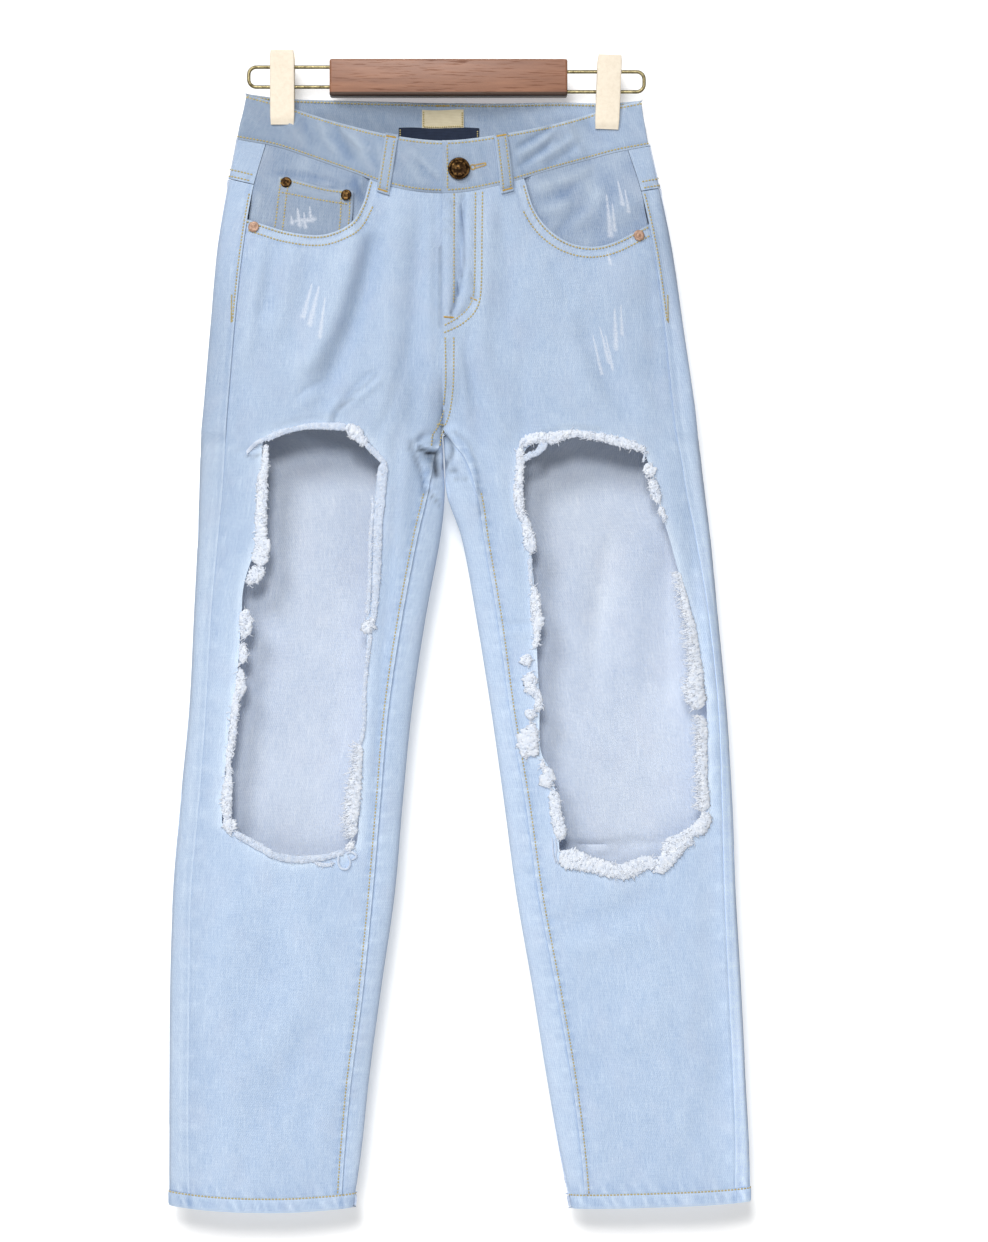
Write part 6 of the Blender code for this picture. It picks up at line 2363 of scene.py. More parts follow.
@dataclass
class Pockets:
    """The pockets: facings, coin pocket and back patches."""

    facing_cells: tuple[int, int] = (72, 48)
    coin_cells: tuple[int, int] = (40, 26)
    patch_cells: tuple[int, int] = (56, 64)
    mouth_away: tuple[float, float] = (2.0, 8.8)

    def facing(self, side: Side) -> bpy.types.Object:
        """The denim that shows inside a front pocket's mouth."""
        sheet = Sheet("pocket_facing_" + side.value, *self.facing_cells, facing_spread(side),
                      facing_lift(side), side, wear=facing_wear_and_shade, tone=even_tone(-0.31 + 0.05 * side.sign))
        return make_up(sheet, ("denim facing", "denim reverse"), "facing_" + side.value)

    def coin_below(self, laid: Laid) -> Array:
        """Distance below the top of the coin pocket."""
        _, _, high_right, high_left = COIN_CORNERS
        return np.interp(laid.x, [high_left[0], high_right[0]], [high_left[1], high_right[1]]) - laid.z

    def coin_lift(self, laid: Laid) -> Array:
        """The coin pocket stands on the facing and gapes a little at its top."""
        below = self.coin_below(laid)
        gape = 0.8 * bump(below, 5.0) * (0.6 + 0.6 * np.sin(laid.x / 9.0))
        return facing_lift(Side.RIGHT)(laid) + 2.2 + gape - 0.4 * bump(below - 6.0, 3.0)

    def coin_wear(self, laid: Laid) -> Array:
        """Pale along its top hem, with paler ridges and darker troughs on the facing's creases, partly
        painted shade.
        """
        below = self.coin_below(laid)
        # Paler ridges and darker troughs: partly fade, partly painted shade.
        folds = 0.1 * crease_heights(FACING_CREASES, FRONT, laid.x, laid.z)
        return 0.3 * bump(below, 1.6) + 0.12 * bump(below - 6, 3.5) + folds

    def coin(self, seamstress: Seamstress) -> bpy.types.Object:
        """The coin pocket, with its double-sewn hem and sides."""
        # Its deeper even tone is partly the pocket's own colour and partly painted shade.
        sheet = Sheet("coin_pocket_patch", *self.coin_cells, coin_spread, self.coin_lift, Side.RIGHT,
                      wear=self.coin_wear, tone=even_tone(-0.40))
        thing = make_up(sheet, ("denim facing", "denim reverse"), "coin_pocket")
        for v in (0.95, 0.72):
            points, out = sheet.at(np.linspace(0.06, 0.94, 40), np.full(40, v))
            seamstress.sew("stitches_front", points, out)
        for u in (0.035, 0.135, 0.965, 0.855):
            points, out = sheet.at(np.full(40, u), np.linspace(0.02, 0.98, 40))
            seamstress.sew("stitches_front", points, out)
        return thing

    def patch(self, side: Side, seamstress: Seamstress) -> bpy.types.Object:
        """A back pocket, double sewn on three sides and hemmed at its top."""
        def lift(laid: Laid) -> Array:
            """Stands on the panel, with a thick hem and pressed edges."""
            hem = 0.5 * bump(PATCH_TOP - laid.z - 6, 8.0)
            return 2.2 + hem + 0.3 * np.sin(laid.z / 17.0 + laid.x / 23.0)

        def wear(laid: Laid) -> Array:
            """Pale along the hem, with the mark of what it held."""
            away = laid.x - PATCH_X[side]
            hem = 0.32 * bump(PATCH_TOP - laid.z, 2.0) - 0.1 * bump(PATCH_TOP - laid.z - 16, 2.0)
            rim = 0.16 * bump(np.abs(np.abs(away) - 56.0), 4.0)
            return hem + rim + 0.08 * bump(laid.z + 240.0, 40.0) * bump(away, 38.0)

        sheet = Sheet("back_pocket_patch_" + side.value, *self.patch_cells, patch_spread(side), lift, side,
                      wear=wear, tone=even_tone(-0.08))
        thing = make_up(sheet, OUTSIDE, "back_pocket_" + side.value)
        for away in (0.018, 0.07):
            turns = [(away, 0.985), (away, away), (0.5, away), (1.0 - away, away), (1.0 - away, 0.985)]
            route = even_path(np.array(turns), 0.008)
            points, out = sheet.at(route[:, 0], route[:, 1])
            seamstress.sew("stitches_back", points, out)
        for v in (0.985, 0.89):
            points, out = sheet.at(np.linspace(0.02, 0.98, 80), np.full(80, v))
            seamstress.sew("stitches_back", points, out)
        return thing

    def sew_mouths(self, seamstress: Seamstress) -> None:
        """Sews each mouth twice, and tacks its ends."""
        for side, mouth in MOUTHS.items():
            for away in self.mouth_away:
                route = mouth.below(away)
                low_x, high_x = np.sort([FORM.leg(side, "side", -145.0), side.sign * 64.0])
                keep = (route[:, 0] > low_x) & (route[:, 0] < high_x)
                keep &= route[:, 1] < FORM.front_seam(route[:, 0]) - 1.0
                seamstress.sew_flat("stitches_front", route[keep], FRONT, side, front_lift(side))


@dataclass
class Labels:
    """Two woven labels inside the back of the waistband, left bare."""

    thick: float = 0.6

    def build(self, seamstress: Seamstress) -> None:
        """Makes both, each with its plain sewn border."""
        for label in LABELS:
            def lift(laid: Laid) -> Array:
                """Just inside the band's inner face, slightly wavy."""
                return BAND_THICK - PROUD + GAP + self.thick + 0.25 + 0.25 * np.sin(laid.x / 8.0)

            sheet = Sheet(label.name + "_tape", 40, 14, label_spread(label), lift, None, self.thick)
            finish = label.name.replace("label_", "") + " tape"
            make_up(sheet, (finish, finish), label.name, label.name)
            inset = np.array([1.3 / (label.x1 - label.x0), 1.3 / (label.z1 - label.z0)])
            corners = np.abs(np.array([(0, 1), (0, 0), (1, 0), (1, 1)]) - inset)
            route = even_path(corners, 0.02)
            points, out = sheet.at(route[:, 0], route[:, 1])
            seamstress.sew("stitches_waist", points, out, pitch=1.9)


# ======================================================================= torn edges

class Loose(Enum):
    """How a stretch of torn edge looks."""

    CRUMBS = "crumbs"         # dense, crumbled cotton
    ROLLED = "rolled"         # the cloth's own edge, rolled in
    COMB = "comb"             # crumbs with level threads that reach into the hole
    STRAND = "strand"         # one bare thread


class Habit(NamedTuple):
    """How one kind of torn edge grows: its lumps, its height, and the short threads on it."""

    lumps: float
    rise: float
    high: float
    per_mm: float = 0.0
    reach: float = 0.0
    curl: float = 0.0
    thick: float = 0.3


class Torn(NamedTuple):
    """A stretch of torn edge: how it looks, and x, z and half width of its body at a few places."""

    kind: Loose
    spots: tuple[tuple[float, float, float], ...]


CRUMBS, ROLLED, COMB, STRAND = Loose.CRUMBS, Loose.ROLLED, Loose.COMB, Loose.STRAND
HABITS = {
    CRUMBS: Habit(1.05, 0.44, 1.7, 2.6, 3.8, 4.2, 0.37),
    ROLLED: Habit(0.60, 0.42, 1.3, 2.2, 1.9, 1.6, 0.26),
    COMB: Habit(1.0, 0.40, 1.5, 2.8, 6.0, 0.9, 0.39),
    STRAND: Habit(0.1, 1.0, 9.0),
}
TORN = {
    Side.RIGHT: (
        Torn(ROLLED, (
            (-156.8, -329.3, 1.7), (-150.9, -325.9, 2.6), (-144, -322.9, 2.7), (-135.4, -320.8, 2.2),
            (-126.9, -318.6, 2.4), (-118.3, -317.4, 2.7), (-109.8, -317.1, 2.9), (-101.2, -317.4, 3.1),
            (-92.6, -317.7, 3.4), (-86.6, -318.5, 3.6))),
        Torn(ROLLED, (
            (-173.1, -340.5, 1.2), (-170.5, -337.1, 1.7), (-164.6, -331.9, 1.7), (-156, -327.6, 2.1))),
        Torn(CRUMBS, (
            (-88.4, -318.5, 3.1), (-84.9, -319.5, 4.3), (-78.9, -323.4, 5.6), (-74.7, -328.5, 4.3),
            (-69.5, -333.6, 3))),
        Torn(ROLLED, (
            (-71.2, -331.9, 2.7), (-63.5, -339.6, 2.7), (-57.5, -345.6, 2.6), (-53.3, -349.5, 2.2))),
        Torn(ROLLED, (
            (-53.3, -349, 2.6), (-55.8, -353.3, 4.3), (-56.7, -363.6, 4.3), (-58.4, -380.7, 4.1),
            (-59.7, -397.8, 3.9), (-60.5, -415, 3.7), (-61.1, -432.1, 3.6), (-61.8, -449.2, 3.4),
            (-62.7, -466.3, 2.8), (-64.4, -483.4, 2.6))),
        Torn(ROLLED, (
            (-65.2, -378.1, 1), (-64.8, -389.3, 1.3), (-66.5, -406.4, 1.5), (-67, -423.5, 1.7),
            (-67.2, -440.6, 1.6), (-67.8, -457.8, 1.7), (-68.7, -468.9, 1.7), (-69.1, -479.2, 2))),
        Torn(CRUMBS, (
            (-66.1, -480.9, 2.6), (-66.1, -484.3, 3.4), (-68.7, -490.3, 6), (-66.1, -494.6, 2.6))),
        Torn(ROLLED, (
            (-67, -495.4, 2.1), (-67.8, -504.8, 1.9), (-69.5, -517.7, 1.7), (-71.2, -534.8, 1.7),
            (-72.1, -551.9, 1.7), (-72.1, -569.1, 1.7), (-73.8, -583.6, 1.7), (-76.4, -591.3, 1.7))),
        Torn(COMB, (
            (-77.2, -589.6, 2.6), (-77.2, -594.7, 3.9), (-78.1, -607.6, 4.3), (-79.8, -620.4, 5.1),
            (-81.5, -633.3, 6), (-82.4, -646.1, 6), (-83.2, -658.9, 5.1), (-82.4, -670.1, 4.3))),
        Torn(CRUMBS, ((-82.4, -673.5, 2.6), (-84.1, -677.8, 3.1), (-88.4, -681.2, 2.6))),
        Torn(ROLLED, (
            (-89.2, -681.6, 2.2), (-95.2, -684.2, 2.6), (-104.6, -686.8, 2.6), (-114.9, -688.1, 3),
            (-125.2, -688.9, 3.4), (-133.7, -688.5, 3.4), (-142.3, -687.2, 3.3), (-150.9, -684.6, 3),
            (-159.4, -679.5, 3.4), (-168, -674.8, 3.4), (-176.5, -670.1, 3), (-184.2, -665.8, 2.6))),
        Torn(ROLLED, (
            (-118.3, -689.3, 1.2), (-109.8, -693.2, 1.7), (-102.9, -693.6, 1.7), (-97.8, -691.5, 1.5))),
        Torn(STRAND, (
            (-95.2, -683.8, 1), (-94.4, -687.2, 1.1), (-94.4, -692.3, 1.1), (-91.8, -696.6, 1.1),
            (-86.6, -697, 1.1), (-84.1, -691.5, 1), (-86.6, -685.5, 0.9))),
        Torn(STRAND, (
            (-87.5, -684.6, 1), (-85.8, -683.3, 1), (-82.4, -682.9, 1.1), (-78.9, -686.3, 1.1),
            (-83.2, -689.8, 0.9))),
        Torn(CRUMBS, (
            (-190.2, -653, 3.4), (-190.2, -654.7, 4.3), (-187.7, -659.8, 6), (-187.7, -664.1, 4.3),
            (-186, -666.6, 3.4))),
        Torn(CRUMBS, (
            (-190.2, -654.7, 4.3), (-190.2, -652.1, 3.9), (-190.2, -644.4, 4.3), (-189.8, -635, 4.3),
            (-189, -624.7, 3.9), (-188.5, -615.3, 2.1), (-188.5, -605, 2.1), (-187.7, -595.6, 2.6),
            (-185.5, -587, 3), (-184.7, -579.3, 3), (-184.2, -570.8, 3), (-183.4, -563.1, 3),
            (-182.5, -555.4, 3), (-180.8, -548.5, 3.4), (-177.8, -541.7, 4.3), (-178.2, -533.1, 3.9),
            (-178.2, -525.4, 2.6))),
        Torn(CRUMBS, (
            (-178.2, -521.1, 1.7), (-175.7, -515.1, 3.4), (-176.1, -509.1, 3.4), (-176.5, -503.1, 2.1))),
        Torn(CRUMBS, (
            (-177, -499.7, 1.7), (-174.8, -495.4, 3.4), (-173.1, -488.6, 5.1), (-174, -480.9, 4.7),
            (-173.1, -474, 3))),
        Torn(CRUMBS, (
            (-173.1, -451.8, 1.7), (-169.7, -449.2, 4.3), (-164.6, -444.1, 6), (-159.4, -437.2, 3.4))),
        Torn(CRUMBS, (
            (-162.8, -437.2, 4.3), (-162, -434.6, 6.4), (-161.1, -427.8, 6.8), (-158.6, -419.2, 6),
            (-160.3, -413.2, 5.1), (-160.7, -402.1, 4.7), (-160.3, -389.3, 4.7), (-159.8, -376.4, 4.7),
            (-159.4, -363.6, 4.3), (-157.3, -353.3, 3), (-156.8, -342.2, 2.6), (-156, -332.8, 2.1))),
    ),
    Side.LEFT: (
        Torn(CRUMBS, (
            (62.3, -335.3, 3.4), (66.6, -330.2, 3.9), (74.3, -327.6, 4.3), (82.9, -327.2, 5.1),
            (86.3, -328.1, 6))),
        Torn(ROLLED, (
            (63.2, -346.5, 3.4), (70, -342.2, 2.6), (76, -340, 2.6), (80.3, -335.3, 3.4),
            (84.6, -331.1, 3.4))),
        Torn(CRUMBS, (
            (82.9, -327.6, 5.1), (85.4, -328.1, 6), (92.3, -326.8, 4.7), (100, -324.6, 3.6),
            (108.5, -323.8, 3), (117.1, -324.6, 3.1), (125.7, -325.9, 3.1), (134.2, -327.6, 3.4),
            (142.8, -329.8, 3.9), (151.3, -331.9, 3.9), (159.1, -334.1, 3.3), (165.9, -336.6, 2.6),
            (169.3, -338.8, 2.1))),
        Torn(ROLLED, ((168.5, -338.8, 1.2), (168.5, -340.5, 0.9), (167.2, -348.2, 1))),
        Torn(CRUMBS, ((170.2, -349, 2.6), (171, -351.6, 3.9), (172.8, -355.9, 5.6), (173.6, -361, 4.7))),
        Torn(CRUMBS, (
            (174.5, -362.7, 2.6), (175.3, -365.3, 3.9), (177, -372.2, 4.3), (178.7, -378.1, 3.9),
            (181.3, -383.3, 2.1))),
        Torn(CRUMBS, ((182.2, -385.8, 2.1), (183, -390.1, 2.6), (186.4, -397.8, 1.3))),
        Torn(COMB, (
            (197.6, -442.4, 1.3), (200.1, -453.5, 2.1), (201.9, -462, 3), (203.6, -470.6, 3.4),
            (205.3, -479.2, 3.9), (207.9, -487.7, 4.3), (209.6, -500.6, 4.7), (210.8, -513.4, 5.6),
            (212.1, -524.5, 6), (212.1, -534.8, 6.8), (211.3, -543.4, 8.6), (213, -551.9, 8.1),
            (214.3, -560.5, 7.3))),
        Torn(COMB, (
            (215.6, -565.6, 4.3), (216.4, -568.2, 4.3), (217.3, -577.6, 4.7), (217.7, -590.5, 4.7),
            (217.7, -616.1, 4.7), (218.6, -629, 4.7), (219.4, -637.5, 4.7), (219, -647.8, 6))),
        Torn(CRUMBS, (
            (219.8, -647.8, 4.3), (220.7, -654.7, 5.1), (215.6, -662.4, 6), (207, -666.6, 4.3),
            (198.4, -671.8, 4.3), (190.7, -676.9, 6), (185.6, -683.8, 5.1))),
        Torn(CRUMBS, (
            (210.4, -675.2, 3.4), (201.9, -674.4, 5.1), (195, -682.1, 6), (188.2, -688.9, 6.8),
            (182.2, -695.8, 6), (177, -699.2, 2.6))),
        Torn(CRUMBS, (
            (179.6, -694, 5.1), (168.5, -692.3, 5.6), (157.3, -697.5, 6.8), (147.1, -699.2, 5.6),
            (135.9, -697, 6.4), (124.8, -694, 6.4), (112.8, -690.6, 7.7), (102.6, -687.2, 8.6),
            (96.6, -682.1, 4.3))),
        Torn(STRAND, ((88.9, -670.1, 0.5), (89.7, -676.9, 0.7), (90.1, -684.6, 0.7), (92.3, -692.3, 0.6))),
        Torn(STRAND, ((91.4, -670.1, 0.5), (92.7, -678.6, 0.7), (92.3, -687.2, 0.7), (94.8, -694, 0.6))),
        Torn(CRUMBS, (
            (98.3, -671.8, 3.4), (95.7, -664.9, 5.1), (94, -656.4, 5.1), (92.3, -647.8, 4.3),
            (91.4, -637.5, 4.7), (88.9, -629.8, 4.3))),
        Torn(CRUMBS, (
            (88, -626.4, 3.4), (84.6, -621.3, 6.8), (85.4, -615.3, 5.1), (82, -610.1, 2.6),
            (80.3, -604.2, 2.1))),
        Torn(CRUMBS, (
            (66.6, -602.4, 4.3), (66.6, -599, 6), (68.3, -594.7, 9), (68.3, -587, 9), (70.9, -579.3, 6.4),
            (73.4, -572.5, 3.4))),
        Torn(CRUMBS, ((70.9, -569.1, 3.4), (70.9, -564.8, 6), (73.4, -560.5, 3.4))),
        Torn(CRUMBS, (
            (76.9, -562.2, 3), (77.7, -551.9, 3.4), (75.2, -545.9, 3.4), (70.9, -541.7, 5.1),
            (70, -534.8, 5.6), (70.9, -528, 4.3))),
        Torn(CRUMBS, ((69.2, -522.8, 2.6), (67.5, -517.7, 5.6), (69.2, -512.6, 2.6))),
        Torn(CRUMBS, (
            (73.4, -507.4, 2.6), (76, -498.9, 2.6), (76, -492, 3), (76.9, -485.2, 5.1), (75.2, -475.7, 4.3),
            (74.3, -466.3, 3.9), (73.9, -459.5, 2.6), (71.7, -454.3, 1.7))),
        Torn(ROLLED, ((70.9, -453.5, 1.7), (70.4, -444.9, 1.7), (70, -438.9, 1.7), (70, -430.4, 2.6))),
        Torn(CRUMBS, (
            (70.9, -426.1, 2.1), (70.9, -423.5, 3.9), (70.4, -416.7, 5.1), (68.3, -408.1, 4.3),
            (66.6, -399.5, 3.4), (62.3, -391.8, 3.4), (60.6, -383.3, 4.3), (60.2, -373.9, 4.3),
            (60.6, -364.4, 3.4), (61.5, -355, 3.4), (61.9, -347.3, 3.4), (61.5, -339.6, 3.4),
            (62.7, -335.3, 3))),
    ),
}


TEAR_SEEDS = {Side.RIGHT: 11, Side.LEFT: 23}


def billows(points: Array, size: float, start: float) -> Array:
    """Soft lumps from 0 to about 1, with narrow crevices between them.

    Args:
        points: Places, in millimetres.
        size: How far apart the lumps are.
        start: Moves the pattern, so that two sizes differ.

    Returns:
        The height at each place.
    """
    flat = (points.reshape(-1, 3) / size + start).tolist()
    return np.abs([noise.noise(spot) for spot in flat]).reshape(points.shape[:-1]) * 1.8


def skin_of(name: str, points: Array, loft: Array) -> bpy.types.Mesh:
    """A skin over rows of points, which stores how high each stands in its pile.

    Args:
        name: Name of the mesh.
        points: Rows and columns of points, in metres.
        loft: One number for each point.

    Returns:
        The mesh.
    """
    rows, columns = points.shape[0] - 1, points.shape[1] - 1
    bm = bmesh.new()
    bmesh.ops.create_grid(bm, x_segments=columns, y_segments=rows, size=0.5)
    spots = np.array([vert.co[:2] for vert in bm.verts]) + 0.5
    mesh = mesh_from(name, bm)
    column, row = np.rint(spots * (columns, rows)).astype(int).T
    write_points(mesh, points[row, column])
    write_numbers(mesh, "loft", loft[row, column])
    return mesh


@dataclass
class TornEdge:
    """The crumbled and rolled edge of one ripped hole, and its loose threads."""

    side: Side
    seed: int
    around: int = 20
    pitch: float = 0.8
    steps: int = 6

    def __post_init__(self) -> None:
        """Starts the edge's own fixed row of chances."""
        self.chance = np.random.default_rng(self.seed)
        self.middle = HOLES[self.side].ring.mean(axis=0)

    def route(self, torn: Torn) -> Array:
        """Close places along a stretch, with the half width at each, narrow at both ends."""
        path = even_path(smooth_path(torn.spots, 12 * len(torn.spots)), self.pitch)
        path[:, 2] = np.maximum(path[:, 2], 0.3)
        end = np.minimum(np.arange(len(path)), np.arange(len(path))[::-1]) * self.pitch / path[:, 2]
        path[:, 2] *= np.sqrt(np.clip(end + 0.05, 0.0, 1.0))
        return path

    def body(self, torn: Torn) -> tuple[Array, Array]:
        """The soft body of a stretch.

        Args:
            torn: The stretch.

        Returns:
            Rings of points along it, in metres, and how far each lies out of the crevices.
        """
        habit, path = HABITS[torn.kind], self.route(torn)
        along = np.gradient(path[:, :2], axis=0)
        along /= np.linalg.norm(along, axis=1, keepdims=True)
        turn = np.linspace(0.0, FULL_TURN, self.around)[None]
        wide = path[:, 2:]
        tall = np.minimum(habit.rise * wide, habit.high)
        across = wide * np.cos(turn)
        x, z = path[:, :1] - along[:, 1:] * across, path[:, 1:2] + along[:, :1] * across
        spots = np.stack([x, tall * np.sin(turn), z], axis=2)
        pile = 0.5 * billows(spots, 3.1, 7.0 + self.seed) + 0.5 * billows(spots, 1.35, 31.0)
        swell = mix(1.0, 0.68 + 1.05 * pile, habit.lumps)
        ragged = mix(1.0, swell, 0.6)
        x, z = (mix(path[:, index:index + 1], flat, ragged) for index, flat in ((0, x), (1, z)))
        points = FORM.place(FRONT, x, z, self.side)
        points[..., 1] -= 0.5 + tall * (0.25 + np.sin(turn) * swell)
        loft = np.clip(mix(0.62, 0.15 + 1.6 * pile, habit.lumps), 0.0, 1.0)
        return points * MM, loft

    def threads(self, torn: Torn) -> tuple[Array, Array]:
        """The short threads of a stretch.

        Args:
            torn: The stretch.

        Returns:
            The route of each thread, and its radius at each point.
        """
        habit, path = HABITS[torn.kind], self.route(torn)
        count = int(len(path) * self.pitch * habit.per_mm)
        pick = self.chance.integers(0, len(path), count)
        away = self.chance.uniform(-0.9, 0.9, count)
        along = np.gradient(path[:, :2], axis=0)[pick]
        along /= np.linalg.norm(along, axis=1, keepdims=True)
        aside = np.stack([-along[:, 1], along[:, 0]], axis=1)
        root = path[pick, :2] + aside * (away * path[pick, 2])[:, None]
        facing = self.chance.uniform(0.0, FULL_TURN, count)
        if torn.kind is COMB:
            level = np.where(self.middle[0] > root[:, 0], 0.0, math.pi)
            facing = level + self.chance.normal(0.0, 0.22, count)
        bend = habit.curl * self.chance.uniform(-1.0, 1.0, count)
        share = np.linspace(0.0, 1.0, self.steps)[None]
        reach = habit.reach * self.chance.uniform(0.35, 1.2, (count, 1))
        heading = facing[:, None] + bend[:, None] * share
        pace = reach / (self.steps - 1)
        x = root[:, :1] + np.cumsum(np.cos(heading) * pace, axis=1)
        z = root[:, 1:] + np.cumsum(np.sin(heading) * pace, axis=1) - 0.05 * reach * share ** 2
        tall = np.minimum(habit.rise * path[pick, 2], habit.high)[:, None]
        dome = np.sqrt(1.0 - away * away)[:, None] * self.chance.uniform(0.8, 1.5, (count, 1))
        high = 0.6 + tall * (0.3 + dome) * (1.0 - 0.45 * share ** 2)
        points = FORM.place(FRONT, x, z, self.side)
        points[..., 1] -= high
        radius = habit.thick * self.chance.uniform(0.7, 1.2, (count, 1)) * (1.0 - 0.5 * share ** 2)
        return points * MM, radius

    def build(self) -> bpy.types.Object:
        """Makes the bodies and threads of the whole edge, as one piece."""
        name = "torn_edge_" + self.side.value
        skins, threads = {CRUMBS: [], ROLLED: []}, []
        for torn in TORN[self.side]:
            skins[CRUMBS if torn.kind in (CRUMBS, COMB) else ROLLED].append(skin_of(name, *self.body(torn)))
            if HABITS[torn.kind].per_mm:
                threads.extend(zip(*self.threads(torn)))
        crumbs, rolled = (join_meshes(name, skins[kind]) for kind in (CRUMBS, ROLLED))
        fine = tubes(name + "_threads", *zip(*threads), MM, 0)
        write_numbers(fine, "loft", np.full(len(fine.vertices), 0.8))
        mesh = join_meshes(name, [crumbs, rolled, fine], weld=True)
        mesh.shade_smooth()
        finishes = ("torn cotton", "rolled edge", "fray")
        return fit_piece(name, mesh, finishes, "fray_" + self.side.value)


# ======================================================================= metal on the cloth

Profile = Sequence[tuple[float, float]]


def turned(name: str, profile: Profile, steps: int, place: Array, out: Array) -> bpy.types.Mesh:
    """A round piece, spun from a half profile.

    Args:
        name: Name of the mesh.
        profile: Radius and height of each corner, in millimetres, from the axis to the axis.
        steps: Sides of the piece.
        place: Where its foot's middle goes, in millimetres.
        out: The direction of its axis.

    Returns:
        The mesh.
    """
    bm = bmesh.new()
    corners = [bm.verts.new((radius * MM, 0.0, height * MM)) for radius, height in profile]
    edges = [bm.edges.new(pair) for pair in zip(corners, corners[1:])]
    bmesh.ops.spin(bm, geom=corners + edges, cent=(0, 0, 0), axis=(0, 0, 1), dvec=(0, 0, 0),
                   angle=FULL_TURN, steps=steps, use_merge=True)
    bmesh.ops.remove_doubles(bm, verts=bm.verts, dist=1e-7)
    face_out(bm)
    turn = Vector(out).to_track_quat("Z", "Y").to_matrix().to_4x4()
    bmesh.ops.transform(bm, matrix=Matrix.Translation(Vector(place) * MM) @ turn, verts=bm.verts)
    mesh = mesh_from(name, bm)
    smooth_faces(mesh, 40.0)
    return mesh


class RivetRow(NamedTuple):
    """A rivet: the solid it replaces, its place, how high the cloth under it stands, and its metal."""

    node: str
    x: float
    z: float
    lift: float
    metal: str


@dataclass
class Studs:
    """The button and the four rivets."""

    button_at: Spot = (9.2, -98.5)
    eye_at: Spot = (21.0, -97.2)
    eye_radius: float = 2.1
    button_profile: tuple[Spot, ...] = (
        (0.0, 1.9), (1.6, 1.95), (2.3, 1.6), (4.6, 1.6), (5.2, 2.0), (6.3, 2.0), (6.8, 1.7), (7.4, 2.5),
        (8.3, 3.1), (9.0, 2.9), (9.5, 2.0), (9.4, 1.0), (8.8, 0.3), (6.0, 0.0), (0.0, 0.0))
    rivet_profile: tuple[Spot, ...] = (
        (0.0, 1.5), (1.0, 1.45), (1.5, 1.0), (2.2, 0.85), (2.9, 1.2), (3.9, 1.25), (4.6, 0.8), (4.8, 0.3),
        (4.6, 0.0), (0.0, 0.0))
    rivets: tuple[RivetRow, ...] = rows_of(
        RivetRow,
        ("rivet_1", -167.0, -146.0, 0.6, "light copper"), ("rivet_2", -139.5, -107.5, 2.2, "dark brass"),
        ("rivet_3", -86.5, -120.0, 2.2, "dark brass"), ("rivet_4", 163.5, -153.5, 0.6, "light copper"))

    def button(self) -> bpy.types.Object:
        """The button: a dished head with a plain ring of low beads."""
        x, z = np.array(self.button_at)
        place, out = on_cloth(x, z, FRONT, None, PROUD + GAP)
        mesh = turned("waist_button", self.button_profile, 48, place, out)
        points = read_points(mesh)
        local = points - place * MM
        high = local @ out
        flat = local - high[:, None] * out
        radius = np.linalg.norm(flat, axis=1) / MM
        angle = np.arctan2(flat[:, 2], flat[:, 0])
        beads = 0.22 * np.sin(angle * 12.0) * bump(radius - 5.8, 0.9) * (high > 0.001)
        write_points(mesh, points + out * (beads * MM)[:, None])
        return fit_piece("waist_button", mesh, ("dark brass",), "button")

    def build(self) -> None:
        """Makes the button and the rivets."""
        self.button()
        for rivet in self.rivets:
            place, out = on_cloth(np.array(rivet.x), np.array(rivet.z), FRONT, None, rivet.lift + GAP)
            name = rivet.node + "_head"
            mesh = turned(name, self.rivet_profile, 24, place, out)
            fit_piece(name, mesh, (rivet.metal,), rivet.node)

    def buttonhole(self, seamstress: Seamstress) -> None:
        """Sews the buttonhole's eye and its two sides."""
        turn = np.linspace(0.0, FULL_TURN, 30)
        eye = self.eye_at + self.eye_radius * np.stack([np.cos(turn), np.sin(turn)], axis=1)
        sides = np.array([(22.6, -95.4), (32.0, -93.4), (32.4, -95.2), (22.8, -98.2)])
        for route in (eye, sides):
            seamstress.sew_flat("bartacks", route, FRONT, None, waist_lift, pitch=0.9, fill=0.9)


# ======================================================================= the hanger

class ArmRow(NamedTuple):
    """One end of the hanger: its wire loop and its clip."""

    side: Side
    wire_end: float
    wire_high: float
    wire_low: float
    clip_x: float
    roll: float


ARMS = rows_of(ArmRow, (Side.RIGHT, 172.5, -6.2, -23.4, 143.3, 0.0),
               (Side.LEFT, 168.8, -10.2, -27.5, 138.2, 2.3))


